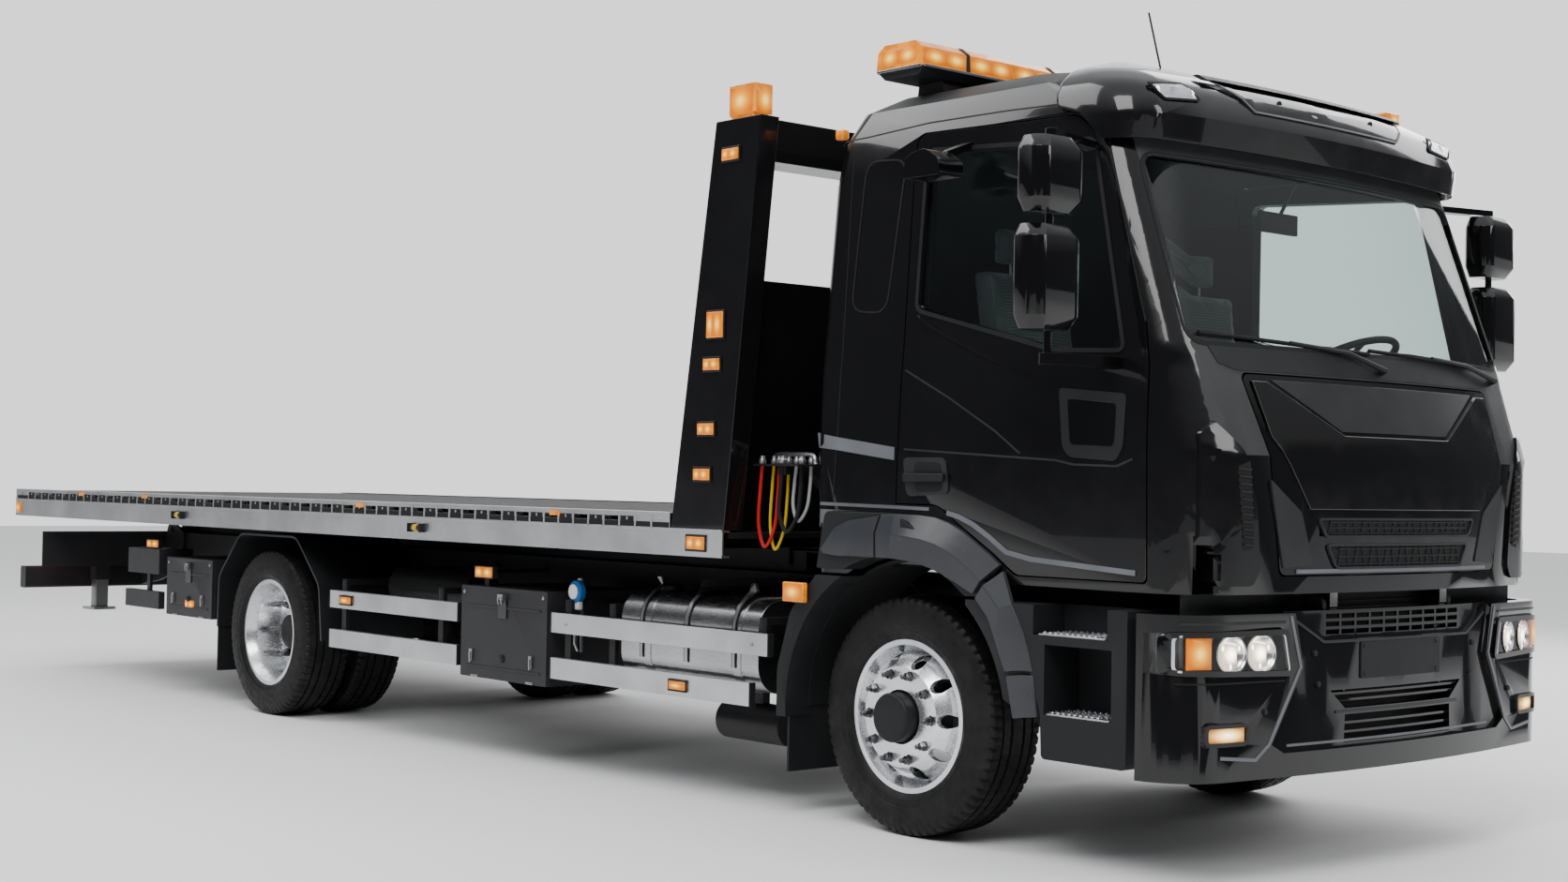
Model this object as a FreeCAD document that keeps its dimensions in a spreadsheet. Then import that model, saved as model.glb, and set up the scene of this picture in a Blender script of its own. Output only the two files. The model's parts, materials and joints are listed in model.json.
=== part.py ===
import FreeCAD, Part
import math
import os
import Sketcher
from FreeCAD import Placement, Rotation, Vector

# Flatbed tow truck, two axles, millimetres.
# X runs forward, Y to the vehicle's left, Z up.
# The origin is on the ground, at mid length, on the centre line.

doc = FreeCAD.newDocument("FlatbedTowTruck")
sheet = doc.addObject("Spreadsheet::Sheet", "Sizes")
nodes = []


class Size:
    """A length with its number and the expression that binds it to the sheet."""

    def __init__(self, value, text):
        self.value = float(value)
        self.text = text

    def __add__(self, other):
        other = as_size(other)
        return Size(self.value + other.value, f"({self.text} + {other.text})")

    def __radd__(self, other):
        return as_size(other) + self

    def __sub__(self, other):
        other = as_size(other)
        return Size(self.value - other.value, f"({self.text} - {other.text})")

    def __rsub__(self, other):
        return as_size(other) - self

    def __mul__(self, other):
        other = as_size(other)
        return Size(self.value * other.value, f"({self.text} * {other.text})")

    def __rmul__(self, other):
        return as_size(other) * self

    def __truediv__(self, other):
        other = as_size(other)
        return Size(self.value / other.value, f"({self.text} / {other.text})")

    def __neg__(self):
        return Size(-self.value, f"(0 - {self.text})")

    def __float__(self):
        return self.value


def as_size(number):
    if isinstance(number, Size):
        return number
    text = repr(float(number))
    return Size(number, text if number >= 0 else f"(0 - {text[1:]})")


def size(alias, number):
    """Writes one driving dimension into the sheet."""
    size.row += 1
    sheet.set(f"A{size.row}", alias)
    sheet.set(f"B{size.row}", repr(float(number)))
    sheet.setAlias(f"B{size.row}", alias)
    sheet.recompute()
    return Size(number, f"Sizes.{alias}")


size.row = 0


# Overall
wheelbase = size("wheelbase", 5000)
front_overhang = size("front_overhang", 1500)
rear_overhang = size("rear_overhang", 3500)
overall_length = front_overhang + wheelbase + rear_overhang
nose_x = overall_length / 2
tail_x = -nose_x
front_axle_x = nose_x - front_overhang
rear_axle_x = front_axle_x - wheelbase
seat_gap = size("seat_gap", 0.3)
running_gap = size("running_gap", 0.4)
moving_gap = size("moving_gap", 6)

# Wheels and axles
tyre_radius = size("tyre_radius", 463)
tyre_half_width = size("tyre_half_width", 146)
bead_radius = size("bead_radius", 285)
rim_half_width = size("rim_half_width", 127)
rim_flange_height = size("rim_flange_height", 13)
rim_wall = size("rim_wall", 9)
rim_well_depth = size("rim_well_depth", 30)
wheel_offset = size("wheel_offset", 165)
wheel_disc = size("wheel_disc", 14)
hub_radius = size("hub_radius", 112)
stud_circle_radius = size("stud_circle_radius", 167.5)
hand_hole_radius = size("hand_hole_radius", 27)
hand_hole_circle = size("hand_hole_circle", 222)
spindle_radius = size("spindle_radius", 42)
front_tyre_y = size("front_tyre_y", 955)
rear_tyre_y = size("rear_tyre_y", 1050)
kingpin_y = size("kingpin_y", 800)
axle_z = tyre_radius

# Chassis frame
frame_half_width = size("frame_half_width", 400)
frame_top = size("frame_top", 880)
frame_depth = size("frame_depth", 260)
frame_flange = size("frame_flange", 80)
frame_plate = size("frame_plate", 8)
frame_front_gap = size("frame_front_gap", 440)
frame_rear_gap = size("frame_rear_gap", 420)
frame_bottom = frame_top - frame_depth
frame_front_x = nose_x - frame_front_gap
frame_rear_x = tail_x + frame_rear_gap

# Bed and its tilt frame
bed_length = size("bed_length", 7596)
bed_half_width = size("bed_half_width", 1275)
bed_front_x = tail_x + bed_length
band_bottom = size("band_bottom", 1040)
band_height = size("band_height", 114)
band_flange = size("band_flange", 40)
band_wall = size("band_wall", 8)
top_rail_height = size("top_rail_height", 66)
top_rail_width = size("top_rail_width", 40)
band_top = band_bottom + band_height
floor_z = size("floor_z", 1120)
floor_thickness = size("floor_thickness", 30)
floor_top = floor_z + floor_thickness
bed_cross_depth = size("bed_cross_depth", 60)
bed_cross_pitch = size("bed_cross_pitch", 500)
tilt_beam_inner = size("tilt_beam_inner", 245)
tilt_beam_width = size("tilt_beam_width", 70)
tilt_beam_top = size("tilt_beam_top", 1035)
tilt_beam_depth = size("tilt_beam_depth", 135)
tilt_beam_wall = size("tilt_beam_wall", 6)
tilt_front_gap = size("tilt_front_gap", 540)
pivot_from_tail = size("pivot_from_tail", 600)
pivot_z = size("pivot_z", 955)
pivot_pin_radius = size("pivot_pin_radius", 20)
pivot_x = tail_x + pivot_from_tail
ram_base_from_pivot = size("ram_base_from_pivot", 450)
ram_base_z = size("ram_base_z", 440)
ram_eye_from_pivot = size("ram_eye_from_pivot", 1100)
ram_eye_z = size("ram_eye_z", 865)
ram_y = size("ram_y", 160)
ram_barrel_radius = size("ram_barrel_radius", 48)
ram_rod_radius = size("ram_rod_radius", 28)
slide_barrel_radius = size("slide_barrel_radius", 40)
slide_rod_radius = size("slide_rod_radius", 25)

# Headboard
headboard_foot_depth = size("headboard_foot_depth", 352)
headboard_top_depth = size("headboard_top_depth", 288)
headboard_lean = size("headboard_lean", 193)
headboard_top_z = size("headboard_top_z", 2862)
headboard_post_width = size("headboard_post_width", 100)
headboard_beam_height = size("headboard_beam_height", 182)
headboard_panel_top = size("headboard_panel_top", 2200)

# Cab
cab_rear_from_axle = size("cab_rear_from_axle", 530)
cab_half_width = size("cab_half_width", 1120)
cab_wall = size("cab_wall", 60)
cab_sill_z = size("cab_sill_z", 1030)
cab_floor_z = size("cab_floor_z", 1200)
cab_floor_plate = size("cab_floor_plate", 50)
cab_roof_z = size("cab_roof_z", 2955)
glass_inset = size("glass_inset", 12)
glass_thickness = size("glass_thickness", 6)
flap_thickness = size("flap_thickness", 34)
arch_radius = size("arch_radius", 620)
arch_half_width = size("arch_half_width", 1180)
cab_hinge_from_nose = size("cab_hinge_from_nose", 110)
cab_hinge_z = size("cab_hinge_z", 955)
cab_hinge_x = nose_x - cab_hinge_from_nose

# Skirt pieces
side_half_width = size("side_half_width", 1200)
bumper_bottom = size("bumper_bottom", 369)
bumper_top = size("bumper_top", 935)
bumper_dip = size("bumper_dip", 836)
bumper_wall = size("bumper_wall", 60)
lamp_depth = size("lamp_depth", 30)


def check(obj):
    bad = [word for word in ("Invalid", "Error") if word in obj.State]
    if bad:
        raise RuntimeError(f"{obj.Label} is {bad}")


def solve(obj):
    obj.recompute()
    check(obj)
    return obj


def bind(obj, prop, value):
    obj.setExpression(prop, as_size(value).text)


def move(obj, x, y, z):
    bind(obj, "Placement.Base.x", x)
    bind(obj, "Placement.Base.y", y)
    bind(obj, "Placement.Base.z", z)


def block(name, x, y, z):
    """A box from three (low, high) pairs."""
    obj = doc.addObject("Part::Box", name)
    bind(obj, "Length", x[1] - x[0])
    bind(obj, "Width", y[1] - y[0])
    bind(obj, "Height", z[1] - z[0])
    move(obj, x[0], y[0], z[0])
    return solve(obj)


AXIS_TURN = {
    "x": Rotation(Vector(0, 1, 0), 90),
    "y": Rotation(Vector(1, 0, 0), -90),
    "z": Rotation(),
}


def cylinder(name, axis, start, length, radius):
    """A cylinder along one axis from its start point."""
    obj = doc.addObject("Part::Cylinder", name)
    obj.Placement = Placement(Vector(), AXIS_TURN[axis])
    bind(obj, "Radius", radius)
    bind(obj, "Height", length)
    move(obj, *start)
    return solve(obj)


def rod(name, start, end, radius, hollow=0):
    """A round bar or tube between two points that aren't in line with an axis."""
    low = Vector(*[float(value) for value in start])
    high = Vector(*[float(value) for value in end])
    way = high - low
    shape = Part.makeCylinder(float(radius), way.Length, low, way)
    if hollow:
        shape = shape.cut(Part.makeCylinder(float(hollow), way.Length, low, way))
    obj = doc.addObject("Part::Feature", name)
    obj.Shape = shape
    return obj


def fuse(name, *parts):
    obj = doc.addObject("Part::MultiFuse", name)
    obj.Shapes = list(parts)
    obj.Refine = True
    return solve(obj)


def cut(name, base, *tools):
    tool = tools[0] if len(tools) == 1 else fuse(name + "_tools", *tools)
    obj = doc.addObject("Part::Cut", name)
    obj.Base = base
    obj.Tool = tool
    return solve(obj)


def common(name, *parts):
    obj = doc.addObject("Part::MultiCommon", name)
    obj.Shapes = list(parts)
    return solve(obj)


def mirrored(name, source):
    """The same piece on the other side of the centre line."""
    obj = doc.addObject("Part::Mirroring", name)
    obj.Source = source
    obj.Normal = Vector(0, 1, 0)
    return solve(obj)


def both_sides(name, *parts):
    one = parts[0] if len(parts) == 1 else fuse(name + "_one", *parts)
    return fuse(name, one, mirrored(name + "_other", one))


def node(label, obj):
    """Marks a finished sub-part."""
    check(obj)
    obj.Label = label
    nodes.append(obj)
    return obj


def unit(a, b):
    way = Vector(b[0] - a[0], b[1] - a[1], 0)
    return way / way.Length


def draw(sketch, corners):
    """Draws a closed outline. A corner is (a, b) or, when rounded, (a, b, radius)."""
    spots = [(float(c[0]), float(c[1])) for c in corners]
    count = len(spots)
    entry = []
    leave = []
    for i, corner in enumerate(corners):
        here = Vector(spots[i][0], spots[i][1], 0)
        if len(corner) < 3:
            entry.append(here)
            leave.append(here)
            continue
        back = unit(spots[i], spots[i - 1])
        ahead = unit(spots[i], spots[(i + 1) % count])
        half = back.getAngle(ahead) / 2
        reach = float(corner[2]) / math.tan(half)
        entry.append(here + back * reach)
        leave.append(here + ahead * reach)
    first = sketch.GeometryCount
    lines = [Part.LineSegment(leave[i], entry[(i + 1) % count]) for i in range(count)]
    sketch.addGeometry(lines, False)
    rules = []
    bound = []
    for i, corner in enumerate(corners):
        before = first + (i - 1) % count
        after = first + i
        if len(corner) < 3:
            rules.append(Sketcher.Constraint("Coincident", before, 2, after, 1))
            held = (after, 1)
        else:
            back = unit(spots[i], spots[i - 1])
            ahead = unit(spots[i], spots[(i + 1) % count])
            bisector = back + ahead
            bisector.normalize()
            half = back.getAngle(ahead) / 2
            radius = float(corner[2])
            centre = Vector(spots[i][0], spots[i][1], 0) + bisector * (radius / math.sin(half))
            left_turn = (-back).cross(ahead).z > 0
            low, high = (entry[i], leave[i]) if left_turn else (leave[i], entry[i])
            angles = [math.atan2(p.y - centre.y, p.x - centre.x) for p in (low, high)]
            circle = Part.Circle(centre, Vector(0, 0, 1), radius)
            arc = sketch.addGeometry(Part.ArcOfCircle(circle, *angles), False)
            point = sketch.addGeometry(Part.Point(Vector(spots[i][0], spots[i][1], 0)), True)
            near, far = (1, 2) if left_turn else (2, 1)
            rules.append(Sketcher.Constraint("Tangent", before, 2, arc, near))
            rules.append(Sketcher.Constraint("Tangent", arc, far, after, 1))
            rules.append(Sketcher.Constraint("PointOnObject", point, 1, before))
            rules.append(Sketcher.Constraint("PointOnObject", point, 1, after))
            rules.append(Sketcher.Constraint("Radius", arc, radius))
            bound.append((len(rules) - 1, corner[2]))
            held = (point, 1)
        for kind, value, spot in (("DistanceX", corner[0], spots[i][0]), ("DistanceY", corner[1], spots[i][1])):
            rules.append(Sketcher.Constraint(kind, -1, 1, held[0], held[1], spot))
            bound.append((len(rules) - 1, value))
    start = sketch.ConstraintCount
    sketch.addConstraint(rules)
    for index, value in bound:
        if isinstance(value, Size):
            sketch.setExpression(f"Constraints[{start + index}]", value.text)


def draw_circle(sketch, a, b, radius):
    centre = Vector(float(a), float(b), 0)
    circle = sketch.addGeometry(Part.Circle(centre, Vector(0, 0, 1), float(radius)), False)
    start = sketch.ConstraintCount
    sketch.addConstraint([
        Sketcher.Constraint("DistanceX", -1, 1, circle, 3, float(a)),
        Sketcher.Constraint("DistanceY", -1, 1, circle, 3, float(b)),
        Sketcher.Constraint("Radius", circle, float(radius)),
    ])
    for index, value in enumerate((a, b, radius)):
        if isinstance(value, Size):
            sketch.setExpression(f"Constraints[{start + index}]", value.text)


PLANE_TURN = {
    "XY": Rotation(),
    "XZ": Rotation(Vector(1, 0, 0), 90),
    "YZ": Rotation(Vector(0, 1, 0), Vector(0, 0, 1), Vector(1, 0, 0), "ZXY"),
}
PLANE_AXIS = {"XY": "z", "XZ": "y", "YZ": "x"}
PLANE_DIR = {"XY": Vector(0, 0, 1), "XZ": Vector(0, 1, 0), "YZ": Vector(1, 0, 0)}


def sketch_at(name, plane, offset, outlines, circles=()):
    """A sketch on a plane that is square to one axis, at a distance along that axis."""
    sketch = doc.addObject("Sketcher::SketchObject", name)
    sketch.Placement = Placement(Vector(), PLANE_TURN[plane])
    bind(sketch, "Placement.Base." + PLANE_AXIS[plane], offset)
    for corners in outlines:
        draw(sketch, corners)
    for circle in circles:
        draw_circle(sketch, *circle)
    return solve(sketch)


def prism(name, plane, low, high, *outlines, circles=()):
    """One or more outlines, the later ones as holes, drawn on a plane and extruded."""
    obj = doc.addObject("Part::Extrusion", name)
    obj.Base = sketch_at(name + "_outline", plane, low, outlines, circles)
    obj.DirMode = "Custom"
    obj.Dir = PLANE_DIR[plane]
    bind(obj, "LengthFwd", as_size(high) - low)
    obj.Solid = True
    return solve(obj)


def turned(name, corners, centre):
    """A piece turned about the Y axis from corners (distance along Y, radius)."""
    body = doc.addObject("PartDesign::Body", name)
    sketch = body.newObject("Sketcher::SketchObject", name + "_section")
    plane = [feature for feature in body.Origin.OriginFeatures if feature.Role == "YZ_Plane"][0]
    sketch.AttachmentSupport = [(plane, "")]
    sketch.MapMode = "FlatFace"
    draw(sketch, corners)
    solve(sketch)
    turn = body.newObject("PartDesign::Revolution", name + "_turn")
    turn.Profile = sketch
    turn.ReferenceAxis = (sketch, ["H_Axis"])
    turn.Angle = 360
    move(body, *centre)
    solve(turn)
    return solve(body)


def channel(outer, inner, low, high, plate):
    """Corners of a C section whose web is at outer and whose flanges reach inner."""
    web = outer - plate if float(outer) > float(inner) else outer + plate
    return [
        (outer, low), (outer, high), (inner, high), (inner, high - plate),
        (web, high - plate), (web, low + plate), (inner, low + plate), (inner, low),
    ]


def rectangle(a, b):
    return [(a[0], b[0]), (a[1], b[0]), (a[1], b[1]), (a[0], b[1])]


# Chassis frame: two C rails, cross-members, and the carriers of what hangs on the rails
def make_chassis_frame():
    rail = prism("frame_rail", "YZ", frame_rear_x, frame_front_x,
                 channel(frame_half_width, frame_half_width - frame_flange, frame_bottom, frame_top, frame_plate))
    web_inner = frame_half_width - frame_plate
    cross_low = frame_top - 160
    cross_high = frame_top - 20
    cross_plate = size("frame_cross_plate", 8)
    cross_flange = size("frame_cross_flange", 60)
    stations = (
        frame_rear_x, pivot_x + ram_base_from_pivot - 100, rear_axle_x + 500,
        rear_axle_x + 1900, front_axle_x - 1600, front_axle_x - 770,
    )
    crosses = []
    for number, station in enumerate(stations):
        outline = channel(station, station + cross_flange, cross_low, cross_high, cross_plate)
        crosses.append(prism(f"frame_cross_{number}", "XZ", -web_inner, web_inner, outline))
    ram_cross_x = stations[1] + cross_flange
    lug_thickness = size("ram_lug_thickness", 14)
    lug_gap = ram_barrel_radius + 2
    lugs = []
    for number, y in enumerate((ram_y - lug_gap - lug_thickness, ram_y + lug_gap)):
        ram_x = pivot_x + ram_base_from_pivot
        outline = [
            (stations[1], cross_high), (stations[1], ram_base_z - 45), (ram_x + 45, ram_base_z - 45, 44),
            (ram_x + 45, ram_base_z + 45, 44), (ram_cross_x, cross_high),
        ]
        lugs.append(prism(f"ram_lug_{number}", "XZ", y, y + lug_thickness, outline))
    lug_pin = cylinder("ram_lug_pin", "y", (pivot_x + ram_base_from_pivot, ram_y - lug_gap, ram_base_z),
                       lug_gap * 2, 18)
    rails = both_sides("frame_sides", rail, *lugs, lug_pin)
    return node("chassis_frame", fuse("chassis_frame_solid", rails, make_subframe(), *crosses))


def make_subframe():
    """The low frame on top of the rails, with the ears of the bed's rear pivot."""
    height = size("subframe_height", 60)
    width = size("subframe_width", 70)
    plate = size("subframe_plate", 6)
    ear_thickness = size("ear_thickness", 20)
    ear_radius = size("ear_radius", 45)
    beam = prism("subframe_beam", "YZ", pivot_x + 70, bed_front_x - 150,
                 channel(frame_half_width, frame_half_width - width, frame_top, frame_top + height, plate))
    outline = [
        (pivot_x - 130, frame_top - 90), (pivot_x + 190, frame_top - 90), (pivot_x + 190, frame_top + height),
        (pivot_x + ear_radius, pivot_z + ear_radius, ear_radius - 1),
        (pivot_x - ear_radius, pivot_z + ear_radius, ear_radius - 1),
    ]
    ear = prism("pivot_ear", "XZ", frame_half_width, frame_half_width + ear_thickness, outline)
    hole = cylinder("pivot_ear_hole", "y", (pivot_x, frame_half_width - 10, pivot_z), ear_thickness + 20,
                    pivot_pin_radius + running_gap)
    side = cut("subframe_side_cut", fuse("subframe_side", beam, ear), hole)
    return both_sides("subframe_solid", side)


def make_tilt_frame():
    low = tilt_beam_top - tilt_beam_depth
    outer = tilt_beam_inner + tilt_beam_width
    wall = tilt_beam_wall
    front = bed_front_x - tilt_front_gap
    beam = prism("tilt_beam", "YZ", pivot_x - 60, front,
                 rectangle((tilt_beam_inner, outer), (low, tilt_beam_top)),
                 rectangle((tilt_beam_inner + wall, outer - wall), (low + wall, tilt_beam_top - wall)))
    pin = cylinder("pivot_pin", "y", (pivot_x, outer, pivot_z), frame_half_width + 30 - outer, pivot_pin_radius)
    claw_low = tilt_beam_top - 60
    lip = tilt_beam_top + seat_gap + 8 + 5
    claw_outline = [
        (outer, claw_low), (outer + 15, claw_low), (outer + 15, lip + 6), (outer - 25, lip + 6),
        (outer - 25, lip), (outer + 5, lip), (outer + 5, tilt_beam_top - 20), (outer, tilt_beam_top - 20),
    ]
    claws = []
    for number, share in enumerate((0.02, 0.35, 0.68, 0.97)):
        start = pivot_x + (front - pivot_x) * share
        claws.append(prism(f"claw_{number}", "YZ", start, start + 90, claw_outline))
    eye_x = pivot_x + ram_eye_from_pivot
    lug_thickness = size("eye_lug_thickness", 12)
    lug_gap = size("eye_lug_gap", 30)
    lugs = []
    for number, y in enumerate((ram_y - lug_gap - lug_thickness, ram_y + lug_gap)):
        outline = [
            (eye_x - 60, low + 45), (eye_x - 32, ram_eye_z - 32, 31), (eye_x + 32, ram_eye_z - 32, 31),
            (eye_x + 60, low + 45),
        ]
        lugs.append(prism(f"eye_lug_{number}", "XZ", y, y + lug_thickness, outline))
    eye_pin = cylinder("eye_pin", "y", (eye_x, ram_y - lug_gap, ram_eye_z), lug_gap * 2, 14)
    sides = both_sides("tilt_sides", beam, pin, eye_pin, *claws, *lugs)
    crosses = []
    stations = (pivot_x - 30, eye_x - 60, pivot_x + 3700, pivot_x + 5200, front - 80)
    for number, x in enumerate(stations):
        width = 120 if number == 1 else 80
        crosses.append(block(f"tilt_cross_{number}", (x, x + width), (-tilt_beam_inner, tilt_beam_inner),
                             (low + 5, low + 45)))
    return node("tilt_frame", fuse("tilt_frame_solid", sides, *crosses))


slide_z = tilt_beam_top - tilt_beam_depth + 45 + slide_barrel_radius + seat_gap
slide_barrel_rear_x = pivot_x + 150


def make_slide_cylinder():
    """The bed's slide cylinder: the barrel lies on the tilt frame, the rod pulls the bed."""
    barrel_length = size("slide_barrel_length", 3700)
    bore = slide_rod_radius + 5
    tube = cylinder("slide_tube", "x", (slide_barrel_rear_x, 0, slide_z), barrel_length, slide_barrel_radius)
    hole = cylinder("slide_bore", "x", (slide_barrel_rear_x - 10, 0, slide_z), barrel_length - 40, bore)
    node("slide_barrel", cut("slide_barrel_solid", tube, hole))
    rod_rear_x = pivot_x - 90
    rod_length = barrel_length - 60
    bar = cylinder("slide_bar", "x", (rod_rear_x, 0, slide_z), rod_length, slide_rod_radius)
    eye = cylinder("slide_eye", "y", (rod_rear_x, -30, slide_z), 60, slide_rod_radius + 12)
    node("slide_rod", fuse("slide_rod_solid", bar, eye))


def make_tilt_rams():
    """The two tilt cylinders: barrels that swing on the chassis, rods that reach the tilt frame."""
    base = (pivot_x + ram_base_from_pivot, ram_base_z)
    eye = (pivot_x + ram_eye_from_pivot, ram_eye_z)
    way = Vector(float(eye[0] - base[0]), 0, float(eye[1] - base[1]))
    reach = way.Length
    way.normalize()
    barrel_length = size("ram_barrel_length", 560)
    eye_play = size("eye_play", 3.5)
    origin = Vector(float(base[0]), float(ram_y), float(base[1]))

    def along(distance, y=ram_y):
        spot = origin + way * float(distance)
        return (spot.x, y, spot.z)

    ring_outer = cylinder("ram_base_ring", "y", (base[0], ram_y - 34, base[1]), 68, 34)
    tube = rod("ram_tube", along(30), along(barrel_length), ram_barrel_radius)
    body = fuse("ram_body", ring_outer, tube)
    bore = rod("ram_bore", along(120), along(barrel_length + 10), ram_rod_radius + running_gap)
    hole = cylinder("ram_base_hole", "y", (base[0], ram_y - 60, base[1]), 120, 18 + running_gap)
    one = cut("ram_barrel_one", body, bore, hole)
    node("tilt_barrels", both_sides("tilt_barrels_solid", one))
    bar = rod("ram_bar", along(150), along(reach - 20), ram_rod_radius)
    ring = cylinder("ram_eye_ring", "y", (eye[0], ram_y - 24, eye[1]), 48, 32)
    eye_hole = cylinder("ram_eye_hole", "y", (eye[0], ram_y - 60, eye[1]), 120, 14 + eye_play)
    node("tilt_rods", both_sides("tilt_rods_solid", cut("ram_rod_one", fuse("ram_rod_body", bar, ring), eye_hole)))


# Bed. The floor steps down a little where the winch and the headboard stand
winch_floor_z = floor_top - 4
winch_floor_x = bed_front_x - 780


def make_bed_deck():
    beam_inner = tilt_beam_inner
    beam_outer = tilt_beam_inner + tilt_beam_width
    beam_low = tilt_beam_top + seat_gap
    web_inner = bed_half_width - band_wall
    floor_y = bed_half_width - top_rail_width
    plate = block("floor_plate", (tail_x, winch_floor_x), (-floor_y, floor_y), (floor_z, floor_top))
    winch_plate = block("winch_floor_plate", (winch_floor_x, bed_front_x), (-floor_y, floor_y),
                        (floor_z, winch_floor_z))
    beam = prism("bed_beam", "YZ", tail_x, bed_front_x - 40,
                 channel(beam_inner, beam_outer, beam_low, floor_z, 8))
    crosses = []
    count = int((float(bed_length) - 200) / float(bed_cross_pitch)) + 1
    for number in range(count):
        x = tail_x + 60 + bed_cross_pitch * number
        outline = channel(x, x + 45, floor_z - bed_cross_depth, floor_z, as_size(6))
        crosses.append(prism(f"bed_cross_{number}", "XZ", -web_inner, web_inner, outline))
    tail = prism("tail_beam", "XZ", -web_inner, web_inner,
                 rectangle((tail_x, tail_x + 50), (band_bottom + band_wall, floor_z)))
    rod_x = pivot_x - 90
    lug_outline = [
        (rod_x - 45, slide_z - 45, 40), (rod_x + 45, slide_z - 45, 40), (rod_x + 60, floor_z), (rod_x - 60, floor_z),
    ]
    lug = prism("slide_lug", "XZ", 32, 46, lug_outline)
    pin = cylinder("slide_lug_pin", "y", (rod_x, 32, slide_z), 14, 12)
    sides = both_sides("bed_deck_sides", beam, lug, pin)
    return node("bed_deck", fuse("bed_deck_solid", plate, winch_plate, tail, sides, *crosses))


def make_bed_sides():
    outer = bed_half_width
    lashing_pitch = size("lashing_pitch", 230)
    lashing_slot = size("lashing_slot", 120)
    band = prism("side_band", "YZ", tail_x, bed_front_x,
                 channel(outer, outer - band_flange, band_bottom, band_top, band_wall))
    rail_front = bed_front_x - headboard_foot_depth
    wall = as_size(5)
    tube = prism("top_rail", "YZ", tail_x, rail_front,
                 rectangle((outer - top_rail_width, outer), (band_top, band_top + top_rail_height)),
                 rectangle((outer - top_rail_width + wall, outer - wall), (band_top + wall, band_top + top_rail_height - wall)))
    slots = []
    count = int((float(bed_length) - 500) / float(lashing_pitch))
    for number in range(count):
        x = tail_x + 100 + lashing_pitch * number
        slots.append(block(f"lashing_slot_{number}", (x, x + lashing_slot), (outer - top_rail_width - 5, outer + 5),
                           (band_top + 26, band_top + 46)))
    node("bed_sides", both_sides("bed_sides_solid", fuse("bed_side_left", band, cut("slotted_rail", tube, *slots))))


def headboard_front_x(z):
    """Where the headboard's front face is at a height."""
    return bed_front_x + headboard_lean * ((z - band_top) / (headboard_top_z - band_top))


def make_headboard():
    top_front = headboard_front_x(headboard_top_z)
    outer = bed_half_width - 5
    post = prism("headboard_post", "XZ", outer - headboard_post_width, outer, [
        (bed_front_x - headboard_foot_depth, band_top), (bed_front_x, band_top), (top_front, headboard_top_z),
        (top_front - headboard_top_depth, headboard_top_z),
    ])
    beam_low = headboard_top_z - headboard_beam_height
    beam = prism("headboard_beam", "XZ", -outer + 50, outer - 50, [
        (headboard_front_x(beam_low) - 200, beam_low), (headboard_front_x(beam_low) - 12, beam_low),
        (top_front - 12, headboard_top_z - 10), (top_front - 200, headboard_top_z - 10),
    ])
    panel_low = headboard_front_x(winch_floor_z)
    panel_high = headboard_front_x(headboard_panel_top)
    panel = prism("headboard_panel", "XZ", -outer + 50, outer - 50, [
        (panel_low - 110, winch_floor_z), (panel_low - 70, winch_floor_z),
        (panel_high - 70, headboard_panel_top), (panel_high - 110, headboard_panel_top),
    ])
    posts = both_sides("headboard_posts", post)
    return node("headboard", fuse("headboard_solid", posts, beam, panel))


def make_bed_lamps():
    depth = size("side_lamp_depth", 14)
    outer = bed_half_width - 5
    lamps = []
    for number, (z, half, tall) in enumerate((
            (2715, 52, 24), (2010, 52, 54), (1845, 52, 24), (1575, 52, 24), (1385, 52, 24))):
        middle = headboard_front_x(z) - 165
        lamps.append(block(f"post_lamp_{number}", (middle - half, middle + half), (outer, outer + depth),
                           (as_size(z - tall), as_size(z + tall))))
    band_lamp = block("band_lamp", (bed_front_x - 230, bed_front_x - 110), (bed_half_width, bed_half_width + 8),
                      (band_bottom + 30, band_bottom + 84))
    beacon_height = size("beacon_height", 120)
    top_front = headboard_front_x(headboard_top_z)
    foot = block("beacon_foot", (top_front - 200, top_front - 60), (outer - 90, outer - 10),
                 (headboard_top_z, headboard_top_z + 18))
    lens = prism("beacon_lens", "XY", headboard_top_z + 18, headboard_top_z + 18 + beacon_height, [
        (top_front - 215, outer - 110, 15), (top_front - 45, outer - 110, 15),
        (top_front - 45, outer - 2, 15), (top_front - 215, outer - 2, 15),
    ])
    node("bed_lamps", both_sides("bed_lamps_solid", band_lamp, *lamps, foot, lens))


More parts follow.
